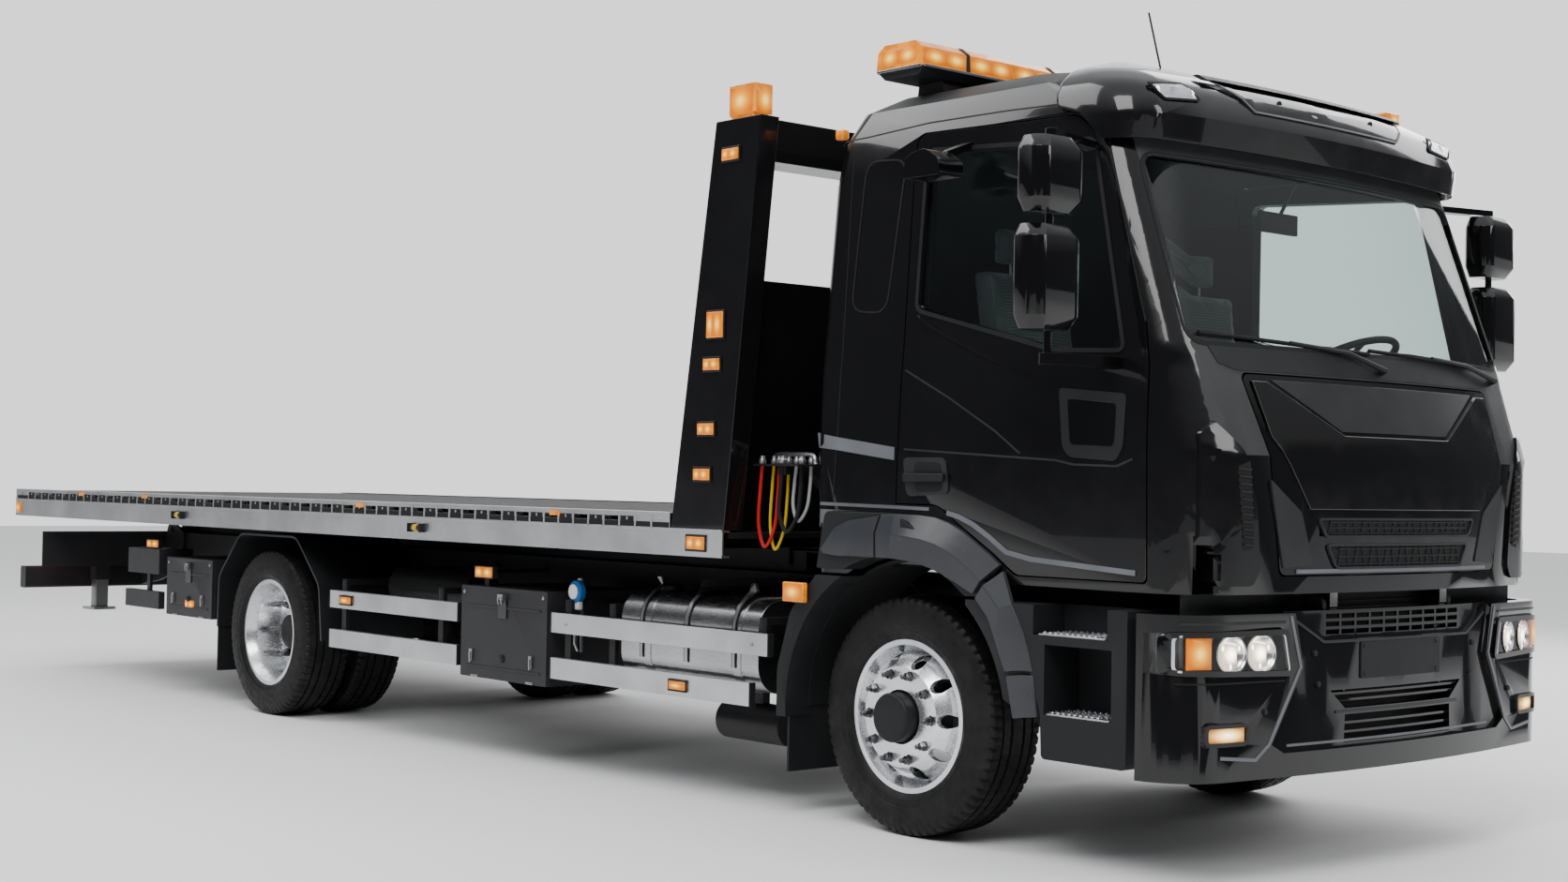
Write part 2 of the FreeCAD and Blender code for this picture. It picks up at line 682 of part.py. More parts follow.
def make_winch():
    """The winch behind the headboard: side plates, then the drum between them."""
    winch_x = bed_front_x - 560
    axis_z = floor_top + 190
    plate_y = size("winch_plate_y", 300)
    plate_thickness = size("winch_plate_thickness", 16)
    plate = prism("winch_plate", "XZ", plate_y, plate_y + plate_thickness, [
        (winch_x - 180, winch_floor_z), (winch_x + 180, winch_floor_z), (winch_x + 90, axis_z + 90, 80),
        (winch_x - 90, axis_z + 90, 80),
    ])
    shaft = 30
    hole = cylinder("winch_plate_hole", "y", (winch_x, plate_y - 10, axis_z), plate_thickness + 20,
                    shaft + running_gap)
    tie = block("winch_tie", (winch_x + 90, winch_x + 130), (as_size(0), plate_y),
                (winch_floor_z, winch_floor_z + 60))
    frame = both_sides("winch_frame_sides", cut("winch_plate_cut", plate, hole), tie)
    motor = cylinder("winch_motor", "y", (winch_x, plate_y + plate_thickness, axis_z), 190, 75)
    node("winch_frame", fuse("winch_frame_solid", frame, motor))
    drum = plate_y - moving_gap
    node("winch_drum", turned("winch_drum_solid", [
        (-plate_y - plate_thickness + 2, 0), (-plate_y - plate_thickness + 2, shaft), (-drum, shaft), (-drum, 150),
        (-drum + 14, 150), (-drum + 14, 85), (drum - 14, 85), (drum - 14, 150), (drum, 150), (drum, shaft),
        (plate_y + plate_thickness - 2, shaft), (plate_y + plate_thickness - 2, 0),
    ], (winch_x, as_size(0), axis_z)))


# Axles, springs, driveline
def spring_pack(name, axle_x, half_length, seat_z, thickness):
    low_y = frame_half_width - 75
    high_y = frame_half_width + 5
    eye_z = frame_bottom - 30
    end_low = eye_z - thickness / 2
    leaf = prism(name + "_leaf", "XZ", low_y, high_y, [
        (axle_x - half_length, end_low), (axle_x - 110, seat_z, 700), (axle_x + 110, seat_z, 700),
        (axle_x + half_length, end_low), (axle_x + half_length, end_low + thickness),
        (axle_x + 110, seat_z + thickness, 700), (axle_x - 110, seat_z + thickness, 700),
        (axle_x - half_length, end_low + thickness),
    ])
    parts = [leaf]
    for number, x in enumerate((axle_x - half_length, axle_x + half_length)):
        parts.append(cylinder(f"{name}_eye_{number}", "y", (x, low_y, eye_z), high_y - low_y, 26))
        parts.append(block(f"{name}_hanger_{number}", (x - 35, x + 35), (low_y, low_y + 75), (eye_z, frame_bottom)))
    return parts


spring_thickness = size("spring_thickness", 34)
front_seat_z = axle_z + 20
rear_seat_z = axle_z + 72


def make_springs(name, axle_x, half_length, seat_z):
    """The pair of leaf springs of one axle, with their hangers under the rails."""
    return both_sides(name, *spring_pack(name + "_left", axle_x, half_length, seat_z, spring_thickness))


def make_axles():
    half = size("axle_beam_half", 45)
    beam = prism("axle_beam", "XZ", 0, kingpin_y - 60, [
        (front_axle_x - half, axle_z - 83), (front_axle_x + half, axle_z - 83), (front_axle_x + half, axle_z - 60),
        (front_axle_x + 14, axle_z - 50), (front_axle_x + 14, axle_z - 12), (front_axle_x + half, axle_z - 2),
        (front_axle_x + half, axle_z + 17), (front_axle_x - half, axle_z + 17), (front_axle_x - half, axle_z - 2),
        (front_axle_x - 14, axle_z - 12), (front_axle_x - 14, axle_z - 50), (front_axle_x - half, axle_z - 60),
    ])
    neck = block("axle_neck", (front_axle_x - 25, front_axle_x + 25), (kingpin_y - 90, kingpin_y),
                 (axle_z - 62, axle_z + 66))
    boss = cylinder("kingpin_boss", "z", (front_axle_x, kingpin_y, axle_z - 62), 128, 28)
    hole = cylinder("kingpin_hole", "z", (front_axle_x, kingpin_y, axle_z - 70), 150, 15 + running_gap)
    pad = block("front_spring_pad", (front_axle_x - 60, front_axle_x + 60),
                (frame_half_width - 78, frame_half_width + 8), (axle_z + 10, front_seat_z))
    half_axle = cut("axle_half", fuse("axle_half_body", beam, neck, boss, pad), hole)
    front_springs = make_springs("front_springs", front_axle_x, as_size(760), front_seat_z)
    node("front_axle", fuse("front_axle_solid", both_sides("front_axle_beam", half_axle), front_springs))
    tube = cylinder("rear_tube", "y", (rear_axle_x, 0, axle_z), rear_tyre_y - wheel_offset - 156, 70)
    spindle = cylinder("rear_spindle", "y", (rear_axle_x, 0, axle_z), rear_tyre_y - wheel_offset + 110,
                       spindle_radius)
    rear_pad = block("rear_spring_pad", (rear_axle_x - 60, rear_axle_x + 60),
                     (frame_half_width - 78, frame_half_width + 8), (axle_z, rear_seat_z))
    housing = both_sides("rear_axle_arms", tube, spindle, rear_pad)
    bulb = turned("differential", [
        (-190, 0), (-190, 70), (-110, 180, 60), (110, 180, 60), (190, 70), (190, 0),
    ], (rear_axle_x, as_size(0), axle_z))
    nose = cylinder("differential_nose", "x", (rear_axle_x, 0, axle_z), 300, 80)
    rear_springs = make_springs("rear_springs", rear_axle_x, as_size(800), rear_seat_z)
    node("rear_axle", fuse("rear_axle_solid", housing, bulb, nose, rear_springs))


def make_driveline():
    """The engine with its gearbox as one plain block, and the propeller shaft."""
    engine = block("engine", (front_axle_x - 450, front_axle_x + 900), (as_size(-300), as_size(300)),
                   (axle_z + 110, axle_z + 620))
    gearbox = block("gearbox", (front_axle_x - 680, front_axle_x - 450), (as_size(-200), as_size(200)),
                    (axle_z - 60, axle_z + 400))
    feet = block("engine_feet", (front_axle_x + 300, front_axle_x + 380),
                 (-frame_half_width + frame_plate, frame_half_width - frame_plate), (axle_z + 230, axle_z + 300))
    start = rear_axle_x + 300
    end = front_axle_x - 680
    shaft = cylinder("propeller_tube", "x", (start, 0, axle_z), end - start, 45)
    flange_a = cylinder("propeller_flange_a", "x", (start, 0, axle_z), 25, 75)
    flange_b = cylinder("propeller_flange_b", "x", (end - 25, 0, axle_z), 25, 59)
    node("driveline", fuse("driveline_solid", engine, gearbox, feet, shaft, flange_a, flange_b))


# Wheels
def rim(name, centre):
    """A ten-hole disc wheel; its disc is toward +Y, wheel_offset from the tyre's middle."""
    seat = bead_radius
    edge = rim_half_width
    lip = rim_flange_height
    well = seat - rim_well_depth
    wall = rim_wall
    face = wheel_offset
    back = wheel_offset - wheel_disc
    corners = [
        (edge, seat + lip), (edge - wall, seat + lip), (edge - wall, seat), (edge - 55, well),
        (-edge + 70, well), (-edge + wall, seat), (-edge + wall, seat + lip),
        (-edge, seat + lip), (-edge, seat - wall), (-edge + 62, well - wall),
        (edge - 69, well - wall), (back - 45, hand_hole_circle + 4), (back, hand_hole_circle - 36),
        (back, hub_radius - 7), (face, hub_radius - 7), (face, hand_hole_circle - 28),
        (face - 47, hand_hole_circle + 14), (edge - 50, well - 5), (edge, seat - wall),
    ]
    body = turned(name, corners, centre)
    roles = {feature.Role: feature for feature in body.Origin.OriginFeatures}
    sketch = body.newObject("Sketcher::SketchObject", name + "_hand_hole")
    sketch.AttachmentSupport = [(roles["XZ_Plane"], "")]
    sketch.MapMode = "FlatFace"
    draw_circle(sketch, hand_hole_circle, as_size(0), hand_hole_radius)
    solve(sketch)
    before = body.Shape.Volume
    pocket = body.newObject("PartDesign::Pocket", name + "_pocket")
    pocket.Profile = sketch
    pocket.Type = "Length"
    bind(pocket, "Length", wheel_offset + 20)
    pocket.Reversed = False
    solve(pocket)
    if pocket.Shape.Volume > before - 1:
        pocket.Reversed = True
        solve(pocket)
    holes = body.newObject("PartDesign::PolarPattern", name + "_holes")
    holes.Originals = [pocket]
    holes.Axis = (roles["Y_Axis"], [""])
    holes.Angle = 360
    holes.Occurrences = 10
    body.Tip = holes
    solve(holes)
    return solve(body)


def tyre(name, centre):
    side = tyre_half_width
    bead = rim_half_width - rim_wall - seat_gap
    foot = bead_radius + seat_gap
    corners = [
        (-bead, foot), (-bead, foot + 16), (-side, foot + 75), (-side + 10, tyre_radius), (side - 10, tyre_radius),
        (side, foot + 75), (bead, foot + 16), (bead, foot), (bead - 22, foot), (side - 30, tyre_radius - 32), (-side + 30, tyre_radius - 32),
        (-bead + 22, foot),
    ]
    return turned(name, corners, centre)


def make_wheels():
    bore = spindle_radius + running_gap
    zero = as_size(0)
    front_rim = rim("front_rim", (front_axle_x, front_tyre_y, axle_z))
    hub = turned("front_hub", [
        (zero - 30, bore), (zero - 30, hub_radius - 12), (wheel_offset - wheel_disc - 16, hub_radius - 12),
        (wheel_offset - wheel_disc - 16, stud_circle_radius + 22),
        (wheel_offset - wheel_disc, stud_circle_radius + 22), (wheel_offset - wheel_disc, hub_radius - 17),
        (wheel_offset + 60, hub_radius - 17, 15), (wheel_offset + 60, 0), (wheel_offset + 15, 0),
        (wheel_offset + 15, bore),
    ], (front_axle_x, front_tyre_y, axle_z))
    wheel = fuse("front_wheel_left", front_rim, hub)
    node("wheel_front_left", wheel)
    node("wheel_front_right", mirrored("front_wheel_right", wheel))
    front_tyre = tyre("front_tyre", (front_axle_x, front_tyre_y, axle_z))
    node("tyre_front_left", front_tyre)
    node("tyre_front_right", mirrored("front_tyre_other", front_tyre))

    mount_y = rear_tyre_y - wheel_offset
    inner_y = mount_y - wheel_offset
    inner_rim = rim("rear_inner_rim", (rear_axle_x, inner_y, axle_z))
    turned_rim = rim("rear_outer_rim_turned", (rear_axle_x, -rear_tyre_y, axle_z))
    outer_rim = mirrored("rear_outer_rim", turned_rim)
    rear_hub = turned("rear_hub", [
        (zero - 150, bore), (zero - 150, hub_radius - 12), (-wheel_disc - 16, hub_radius - 12),
        (-wheel_disc - 16, stud_circle_radius + 22), (-wheel_disc, stud_circle_radius + 22),
        (-wheel_disc, hub_radius - 17), (zero + 170, hub_radius - 17, 10), (zero + 170, 0), (zero + 120, 0),
        (zero + 120, bore),
    ], (rear_axle_x, mount_y, axle_z))
    rear_wheel = fuse("rear_wheel_left", inner_rim, outer_rim, rear_hub)
    node("wheel_rear_left", rear_wheel)
    node("wheel_rear_right", mirrored("rear_wheel_right", rear_wheel))
    rear_tyres = fuse("rear_tyres", tyre("rear_tyre_inner", (rear_axle_x, inner_y, axle_z)),
                      tyre("rear_tyre_outer", (rear_axle_x, rear_tyre_y, axle_z)))
    node("tyres_rear_left", rear_tyres)
    node("tyres_rear_right", mirrored("rear_tyres_other", rear_tyres))


def make_knuckles():
    fork_low = axle_z - 110
    fork_high = axle_z + 114
    wall_y = kingpin_y + 32
    outline = [
        (wall_y + 38, fork_low), (wall_y + 38, fork_high), (kingpin_y - 32, fork_high, 20),
        (kingpin_y - 32, axle_z + 69), (wall_y, axle_z + 69), (wall_y, axle_z - 65),
        (kingpin_y - 32, axle_z - 65), (kingpin_y - 32, fork_low, 20),
    ]
    fork = prism("knuckle_fork", "YZ", front_axle_x - 42, front_axle_x + 42, outline)
    pin = cylinder("kingpin", "z", (front_axle_x, kingpin_y, fork_low), fork_high - fork_low, 15)
    spindle = cylinder("spindle", "y", (front_axle_x, wall_y, axle_z),
                       front_tyre_y + wheel_offset + 10 - wall_y, spindle_radius)
    knuckle = fuse("knuckle_left_solid", fork, pin, spindle)
    node("knuckle_left", knuckle)
    node("knuckle_right", mirrored("knuckle_right_solid", knuckle))


# Cab
def cab_levels():
    """Height, half width, rear, middle of the front, radii of front corner, rear corner and front."""
    rear = front_axle_x - cab_rear_from_axle
    half = cab_half_width
    return [
        (cab_sill_z - 30, half, rear + 20, nose_x - 25, 230, 70, 6300),
        (as_size(1480), half, rear, nose_x - 20, 230, 70, 6300),
        (as_size(1790), half - 10, rear, nose_x - 125, 170, 70, 6300),
        (as_size(1850), half - 15, rear, nose_x - 145, 135, 70, 6300),
        (as_size(2560), half - 45, rear + 30, nose_x - 395, 130, 80, 6300),
        (as_size(2720), half - 58, rear + 50, nose_x - 455, 140, 90, 6000),
        (cab_roof_z - 105, half - 110, rear + 100, nose_x - 640, 200, 110, 5200),
        (cab_roof_z - 40, half - 220, rear + 180, nose_x - 780, 240, 140, 4300),
        (cab_roof_z, half - 380, rear + 310, nose_x - 950, 260, 160, 3200),
    ]


# The front is drawn as two lines that fall back from the middle by this slope, with one large arc
FRONT_SLOPE = 0.135
FRONT_RISE = math.hypot(1, FRONT_SLOPE) - 1


def cab_section(name, level, inset, z):
    half = level[1] - inset
    rear = level[2] + inset
    nose = level[3] + FRONT_RISE * level[6] - inset * (1 + FRONT_RISE)
    front = nose - FRONT_SLOPE * half
    front_round = level[4] - float(inset)
    rear_round = max(level[5] - float(inset), 8)
    corners = [
        (rear, -half, rear_round), (front, -half, front_round), (nose, as_size(0), level[6]),
        (front, half, front_round), (rear, half, rear_round),
    ]
    return sketch_at(name, "XY", z, [corners])


def cab_loft(name, levels, inset, drop=0):
    """A loft through level sections drawn in by inset; drop lowers the roof sections."""
    obj = doc.addObject("Part::Loft", name)
    sections = []
    for number, level in enumerate(levels):
        z = level[0]
        if float(z) > 2600:
            z = z - drop
        sections.append(cab_section(f"{name}_{number}", level, inset, z))
    obj.Sections = sections
    obj.Solid = True
    obj.Ruled = True
    return solve(obj)


def door_outline(grow):
    """The door's edge as seen from the side; grow widens it to the opening."""
    fa = front_axle_x
    return [
        (fa - 40 - grow, as_size(1285) - grow), (fa - 8 - grow, as_size(2720) + grow, 50),
        (fa + 800 + grow, as_size(2700) + grow, 110), (fa + 945 + grow, as_size(2585), 60),
        (fa + 1150 + grow, as_size(1930), 120), (fa + 1172 + grow, as_size(1790), 60),
        (fa + 1185 + grow, cab_sill_z + 6 - grow, 20),
        (fa + 590 - grow, cab_sill_z + 6 - grow, 60), (fa + 180, as_size(1285) - grow, 120),
    ]


def window_outline(inset=0):
    """The side window's edge as seen from the side, drawn in by inset for the pane."""
    fa = front_axle_x
    return [
        (fa + 42 + inset, as_size(2035) + inset, 30), (fa + 62 + inset, as_size(2645) - inset, 45),
        (fa + 885 - inset, as_size(2595) - inset, 60), (fa + 1055 - inset, as_size(1845) + inset, 40),
        (fa + 735, as_size(1862) + inset, 60),
    ]


def grille_slots():
    """The rows of air slots low in the front flap, cut from side to side between upright ribs."""
    slots = []
    rows = ((1096, 1124, 5), (1132, 1160, 5), (1201, 1224, 6), (1232, 1255, 6))
    pitch = size("grille_pitch", 84)
    rib = size("grille_rib", 10)
    for row, (low, high, half_count) in enumerate(rows):
        for number in range(-half_count, half_count):
            start = pitch * number + rib / 2
            end = pitch * (number + 1) - rib / 2
            slots.append(block(f"grille_slot_{row}_{number + half_count}", (nose_x - 300, nose_x + 80), (start, end),
                               (as_size(low), as_size(high))))
    return slots


def side_pane():
    """The left side window's pane, flat and leaning in with the door."""
    low_z = as_size(1800)
    high_z = as_size(2700)
    low_y = cab_half_width - 25
    lean = size("pane_lean", 38)
    slab = prism("pane_slab", "YZ", front_axle_x, front_axle_x + 1100, [
        (low_y, low_z), (low_y - lean, high_z), (low_y - lean - glass_thickness, high_z),
        (low_y - glass_thickness, low_z),
    ])
    edge = prism("pane_edge", "XZ", cab_half_width - 180, cab_half_width + 60, window_outline())
    return common("door_glass_left_solid", slab, edge)


def make_cab():
    levels = cab_levels()
    front_levels = levels[:4]
    outer = cab_loft("cab_outer", levels, 0)
    floor_level = (cab_floor_z + cab_floor_plate,) + levels[0][1:]
    inner_levels = [floor_level, levels[1], levels[4], levels[6], levels[8]]
    inner = cab_loft("cab_inner", inner_levels, cab_wall, cab_wall)
    under = prism("cab_under", "XY", cab_sill_z - 40, cab_floor_z, [
        (levels[0][2] + cab_wall, -cab_half_width + cab_wall), (nose_x - 60 - cab_wall, -cab_half_width + cab_wall),
        (nose_x - 60 - cab_wall, cab_half_width - cab_wall), (levels[0][2] + cab_wall, cab_half_width - cab_wall),
    ])
    shell = cut("cab_shell_full", outer, inner, under)

    opening = prism("door_opening", "XZ", cab_half_width - 170, cab_half_width + 40, door_outline(moving_gap))
    door_prism = prism("door_prism", "XZ", cab_half_width - 170, cab_half_width + 50, door_outline(0))
    window = prism("window_prism", "XZ", cab_half_width - 180, cab_half_width + 60, window_outline())
    sill = block("door_sill", (front_axle_x - 600, nose_x), (as_size(900), as_size(1030)),
                 (cab_floor_z - 10, cab_floor_z + cab_floor_plate + 10))
    door_room = block("door_room", (front_axle_x - 600, nose_x), (as_size(890), as_size(1038)),
                      (cab_floor_z - 10, cab_floor_z + cab_floor_plate + 10))
    openings = both_sides("door_openings", cut("door_opening_cut", opening, sill))
    screen = prism("windscreen_prism", "YZ", front_axle_x + 800, nose_x + 60, [
        (as_size(-1008), as_size(1868), 50), (as_size(1008), as_size(1868), 50),
        (as_size(990), as_size(2548), 70), (as_size(-990), as_size(2548), 70),
    ])

    flap_front = cab_loft("flap_back", front_levels, flap_thickness)
    pocket_back = cab_loft("pocket_back", front_levels, flap_thickness + moving_gap)
    flap_prism = prism("flap_prism", "YZ", nose_x - 300, nose_x + 60, [
        (as_size(-700), as_size(1066), 30), (as_size(700), as_size(1066), 30),
        (as_size(800), as_size(1765), 30), (as_size(-800), as_size(1765), 30),
    ])
    flap_hole = prism("flap_hole", "YZ", nose_x - 310, nose_x + 70, [
        (as_size(-707), as_size(1060), 30), (as_size(707), as_size(1060), 30),
        (as_size(807), as_size(1771), 30), (as_size(-807), as_size(1771), 30),
    ])
    flap = common("flap_panel", cut("flap_skin", outer, flap_front), flap_prism)
    node("front_flap", cut("front_flap_solid", flap, *grille_slots()))
    pocket = common("flap_pocket", cut("pocket_skin", outer, pocket_back), flap_hole)

    arch_cut = cylinder("arch_cut", "y", (front_axle_x, -cab_half_width - 100, axle_z), cab_half_width * 2 + 200,
                        arch_radius)
    fa = front_axle_x
    trim = prism("arch_trim", "XZ", cab_half_width - 45, arch_half_width, [
        (fa - 430, as_size(1020)), (fa - 385, as_size(1248), 30), (fa + 10, as_size(1246), 150),
        (fa + 480, as_size(1010), 80), (fa + 545, as_size(950)), (fa + 300, as_size(950)), (fa + 200, as_size(1020)),
    ])
    trims = cut("arch_trims_cut", both_sides("arch_trims_both", trim), arch_cut)
    door_sweep = prism("door_sweep", "XZ", cab_half_width - 70, arch_half_width + 30, door_outline(moving_gap))
    trims = cut("arch_trims_clear", trims, both_sides("door_sweeps", door_sweep))
    node("cab_arches", trims)

    arm_outline = [
        (nose_x - 330, cab_floor_z), (cab_hinge_x - 40, cab_hinge_z - 36, 34), (cab_hinge_x + 38, cab_hinge_z - 36, 34),
        (cab_hinge_x + 38, cab_hinge_z + 60), (nose_x - 140, cab_floor_z),
    ]
    arm = prism("cab_arm", "XZ", frame_half_width - 62, frame_half_width - 14, arm_outline)
    arm_hole = cylinder("cab_arm_hole", "y", (cab_hinge_x, frame_half_width - 80, cab_hinge_z), 90, 15 + running_gap)
    arms = both_sides("cab_arms", cut("cab_arm_cut", arm, arm_hole))
    body = cut("cab_cut", shell, openings, screen, pocket, arch_cut)
    body = cut("cab_trim_room", body, both_sides("arch_trim_room", trim))
    node("cab_shell", fuse("cab_shell_solid", body, arms))

    door_solid = common("door_blank", shell, door_prism)
    door_left = cut("door_left_solid", door_solid, window, arch_cut, door_room)
    node("door_left", door_left)
    node("door_right", mirrored("door_right_solid", door_left))

    glass_outer = cab_loft("glass_outer", levels, glass_inset)
    glass_inner = cab_loft("glass_inner", levels, glass_inset + glass_thickness)
    glass_skin = cut("glass_skin", glass_outer, glass_inner)
    node("windscreen", common("windscreen_solid", glass_skin, screen))
    pane = side_pane()
    node("door_glass_left", pane)
    node("door_glass_right", mirrored("door_glass_right_solid", pane))


def make_cab_mounts():
    """The front hinge brackets of the tilting cab and the rear rest behind it."""
    thickness = size("cab_bracket_thickness", 24)
    outline = [
        (frame_front_x - 180, frame_bottom + 20), (frame_front_x + 60, frame_bottom + 20, 40),
        (cab_hinge_x + 34, cab_hinge_z - 60, 30), (cab_hinge_x + 34, cab_hinge_z + 34, 33),
        (cab_hinge_x - 34, cab_hinge_z + 34, 33), (frame_front_x, frame_top - 20, 60),
        (frame_front_x - 180, frame_top - 20),
    ]
    bracket = prism("cab_bracket", "XZ", frame_half_width, frame_half_width + thickness, outline)
    pin = cylinder("cab_pin", "y", (cab_hinge_x, frame_half_width - 66, cab_hinge_z), 66, 15)
    rest_x = front_axle_x - 385
    post = prism("cab_rest_post", "XZ", frame_half_width - 60, frame_half_width, [
        (rest_x - 40, frame_top), (rest_x + 40, frame_top), (rest_x + 30, cab_floor_z - 30),
        (rest_x - 30, cab_floor_z - 30),
    ])
    beam = block("cab_rest_beam", (rest_x - 30, rest_x + 30), (-frame_half_width, frame_half_width),
                 (cab_floor_z - 30, cab_floor_z - seat_gap))
    sides = both_sides("cab_mount_sides", bracket, pin, post)
    node("cab_mounts", fuse("cab_mounts_solid", sides, beam, make_cable_rack()))


# Front bumper with its lamps
BUMPER_RISE = math.hypot(1, 0.126) - 1


def bumper_blank(name, inset, low, high):
    """The bumper's outer form drawn in by inset, as one closed block."""
    slope = 0.126
    curve = 6300 - inset
    half = side_half_width - inset
    nose = nose_x + BUMPER_RISE * 6300 - inset * (1 + BUMPER_RISE)
    front = nose - slope * half
    rear = nose_x - 300
    return prism(name, "XY", low, high, [
        (rear, -half), (front, -half, 215 - inset), (nose, as_size(0), curve), (front, half, 215 - inset),
        (rear, half),
    ])


def bumper_layer(name, start, end, low, high, *outlines):
    """The part of the bumper's wall between two depths that a front outline frames."""
    before = bumper_blank(name + "_before", start, low, high)
    after = bumper_blank(name + "_after", end, low - 5, high + 5)
    skin = cut(name + "_skin", before, after)
    frames = [prism(f"{name}_frame_{number}", "YZ", nose_x - 190, nose_x + 40, outline)
              for number, outline in enumerate(outlines)]
    return common(name, skin, fuse(name + "_frames", *frames) if len(frames) > 1 else frames[0])


def mirrored_outline(*corners):
    """Corners (half width, height) given for one side from top to bottom, closed over the other side."""
    left = [(as_size(y), as_size(z)) for y, z in corners]
    right = [(as_size(-y), as_size(z)) for y, z in reversed(corners)]
    return left + right


def bumper_openings():
    """The recessed middle that carries the plate, and the two air intakes below it."""
    recess_depth = size("bumper_recess", 22)
    recess = bumper_layer("bumper_recess", -10, recess_depth, bumper_bottom + 20, bumper_top + 20,
                          mirrored_outline((655, 965), (604, 745), (762, 484), (700, 452)))
    upper = prism("upper_intake", "YZ", nose_x - 330, nose_x + 40,
                  mirrored_outline((430, 655), (345, 588)))
    lower = prism("lower_intake", "YZ", nose_x - 330, nose_x + 40,
                  mirrored_outline((345, 566), (350, 466)))
    return recess, upper, lower


def bumper_grilles():
    """The slats in the air intakes and the slotted screen over the bumper's dip."""
    slat_start = size("slat_start", 34)
    slat_end = size("slat_end", 46)
    slats = []
    for number, (z, half) in enumerate(((612, 450), (636, 450), (498, 380), (530, 380))):
        low = as_size(z)
        slats.append(bumper_layer(f"bumper_slat_{number}", slat_start, slat_end, low, low + 9,
                                  mirrored_outline((half, z + 20), (half, z - 20))))
    screen_start = size("screen_start", 40)
    screen_end = size("screen_end", 50)
    screen = bumper_layer("bumper_screen", screen_start, screen_end, as_size(800), bumper_top + 3,
                          mirrored_outline((662, 1000), (662, 780)))
    slots = []
    pitch = size("screen_pitch", 88)
    for row, z in enumerate((852, 880, 908)):
        for number in range(-5, 5):
            slots.append(block(f"screen_slot_{row}_{number + 5}", (nose_x - 190, nose_x + 40),
                               (pitch * number + 6, pitch * (number + 1) - 6), (as_size(z), as_size(z + 17))))
    return (*slats, cut("bumper_screen_slotted", screen, *slots))


def make_bumper():
    outer = bumper_blank("bumper_outer", 0, bumper_bottom, bumper_top)
    inner = bumper_blank("bumper_inner", float(bumper_wall), bumper_bottom - 10, bumper_top + 10)
    behind = block("bumper_behind", (nose_x - 320, nose_x - 290), (-side_half_width, side_half_width),
                   (bumper_bottom - 5, bumper_top + 5))
    lamp_back = bumper_blank("lamp_back", float(lamp_depth), bumper_bottom - 10, bumper_top + 10)
    skin = cut("lamp_skin", outer, lamp_back)
    head_box = prism("head_lamp_box", "YZ", nose_x - 260, nose_x + 20, [
        (as_size(668), as_size(722), 20), (as_size(1230), as_size(735), 10), (as_size(1230), as_size(872), 10),
        (as_size(700), as_size(878), 30),
    ])
    fog_box = prism("fog_lamp_box", "YZ", nose_x - 200, nose_x + 20, [
        (as_size(880), as_size(490), 15), (as_size(1085), as_size(490), 15), (as_size(1085), as_size(565), 15),
        (as_size(880), as_size(565), 15),
    ])
    lamps = both_sides("front_lamp_boxes", head_box, fog_box)
    lamp_solids = common("front_lamps_solid", skin, lamps)
    node("front_lamps", lamp_solids)
    dip = prism("bumper_dip_cut", "YZ", nose_x - 330, nose_x + 60, [
        (as_size(-480), bumper_dip, 30), (as_size(480), bumper_dip, 30), (as_size(650), bumper_top + 20),
        (as_size(-650), bumper_top + 20),
    ])
    shell = cut("bumper_shell", outer, inner, behind, dip, *bumper_openings())
    stay = block("bumper_stay", (frame_front_x - 100, nose_x - bumper_wall + 4),
                 (frame_half_width - 90, frame_half_width - 78), (as_size(640), as_size(800)))
    stays = both_sides("bumper_stays", stay)
    body = cut("bumper_lamp_cut", shell, lamp_solids)
    node("front_bumper", fuse("front_bumper_solid", body, stays, *bumper_grilles()))


def make_steps():
    """The entry steps between the front wheel and the bumper."""
    fa = front_axle_x
    wall_z = bumper_top + 3
    outline = [
        (fa + 790, as_size(395), 20), (fa + 1172, as_size(395), 20), (fa + 1172, wall_z), (fa + 600, wall_z),
        (fa + 712, as_size(760)), (fa + 782, as_size(557)),
    ]
    box = prism("step_box", "XZ", as_size(950), side_half_width, outline)
    upper = block("step_upper", (fa + 745, fa + 1085), (side_half_width - 170, side_half_width + 10),
                  (as_size(832), wall_z + 10))
    lower = block("step_lower", (fa + 800, fa + 1105), (side_half_width - 190, side_half_width + 10),
                  (as_size(551), as_size(800)))
    back = prism("step_back", "XZ", as_size(900), side_half_width - 215, [
        (fa + 820, as_size(420)), (fa + 1150, as_size(420)), (fa + 1150, as_size(800)), (fa + 820, as_size(800)),
    ])
    arm = block("step_arm", (fa + 950, fa + 1010), (frame_half_width + 24, side_half_width - 210),
                (as_size(660), as_size(740)))
    unit = cut("step_cut", box, upper, lower, back)
    return both_sides("entry_steps_solid", unit, arm)


def ring_part(name, axle_x, outer, inner, low_y, high_y, outline):
    """The part of a ring about an axle that lies inside an outline seen from the side."""
    ring = cylinder(name + "_outer", "y", (axle_x, low_y, axle_z), high_y - low_y, outer)
    core = cylinder(name + "_inner", "y", (axle_x, low_y - 10, axle_z), high_y - low_y + 20, inner)
    area = prism(name + "_area", "XZ", low_y - 5, high_y + 5, outline)
    return common(name + "_part", cut(name + "_ring", ring, core), area)


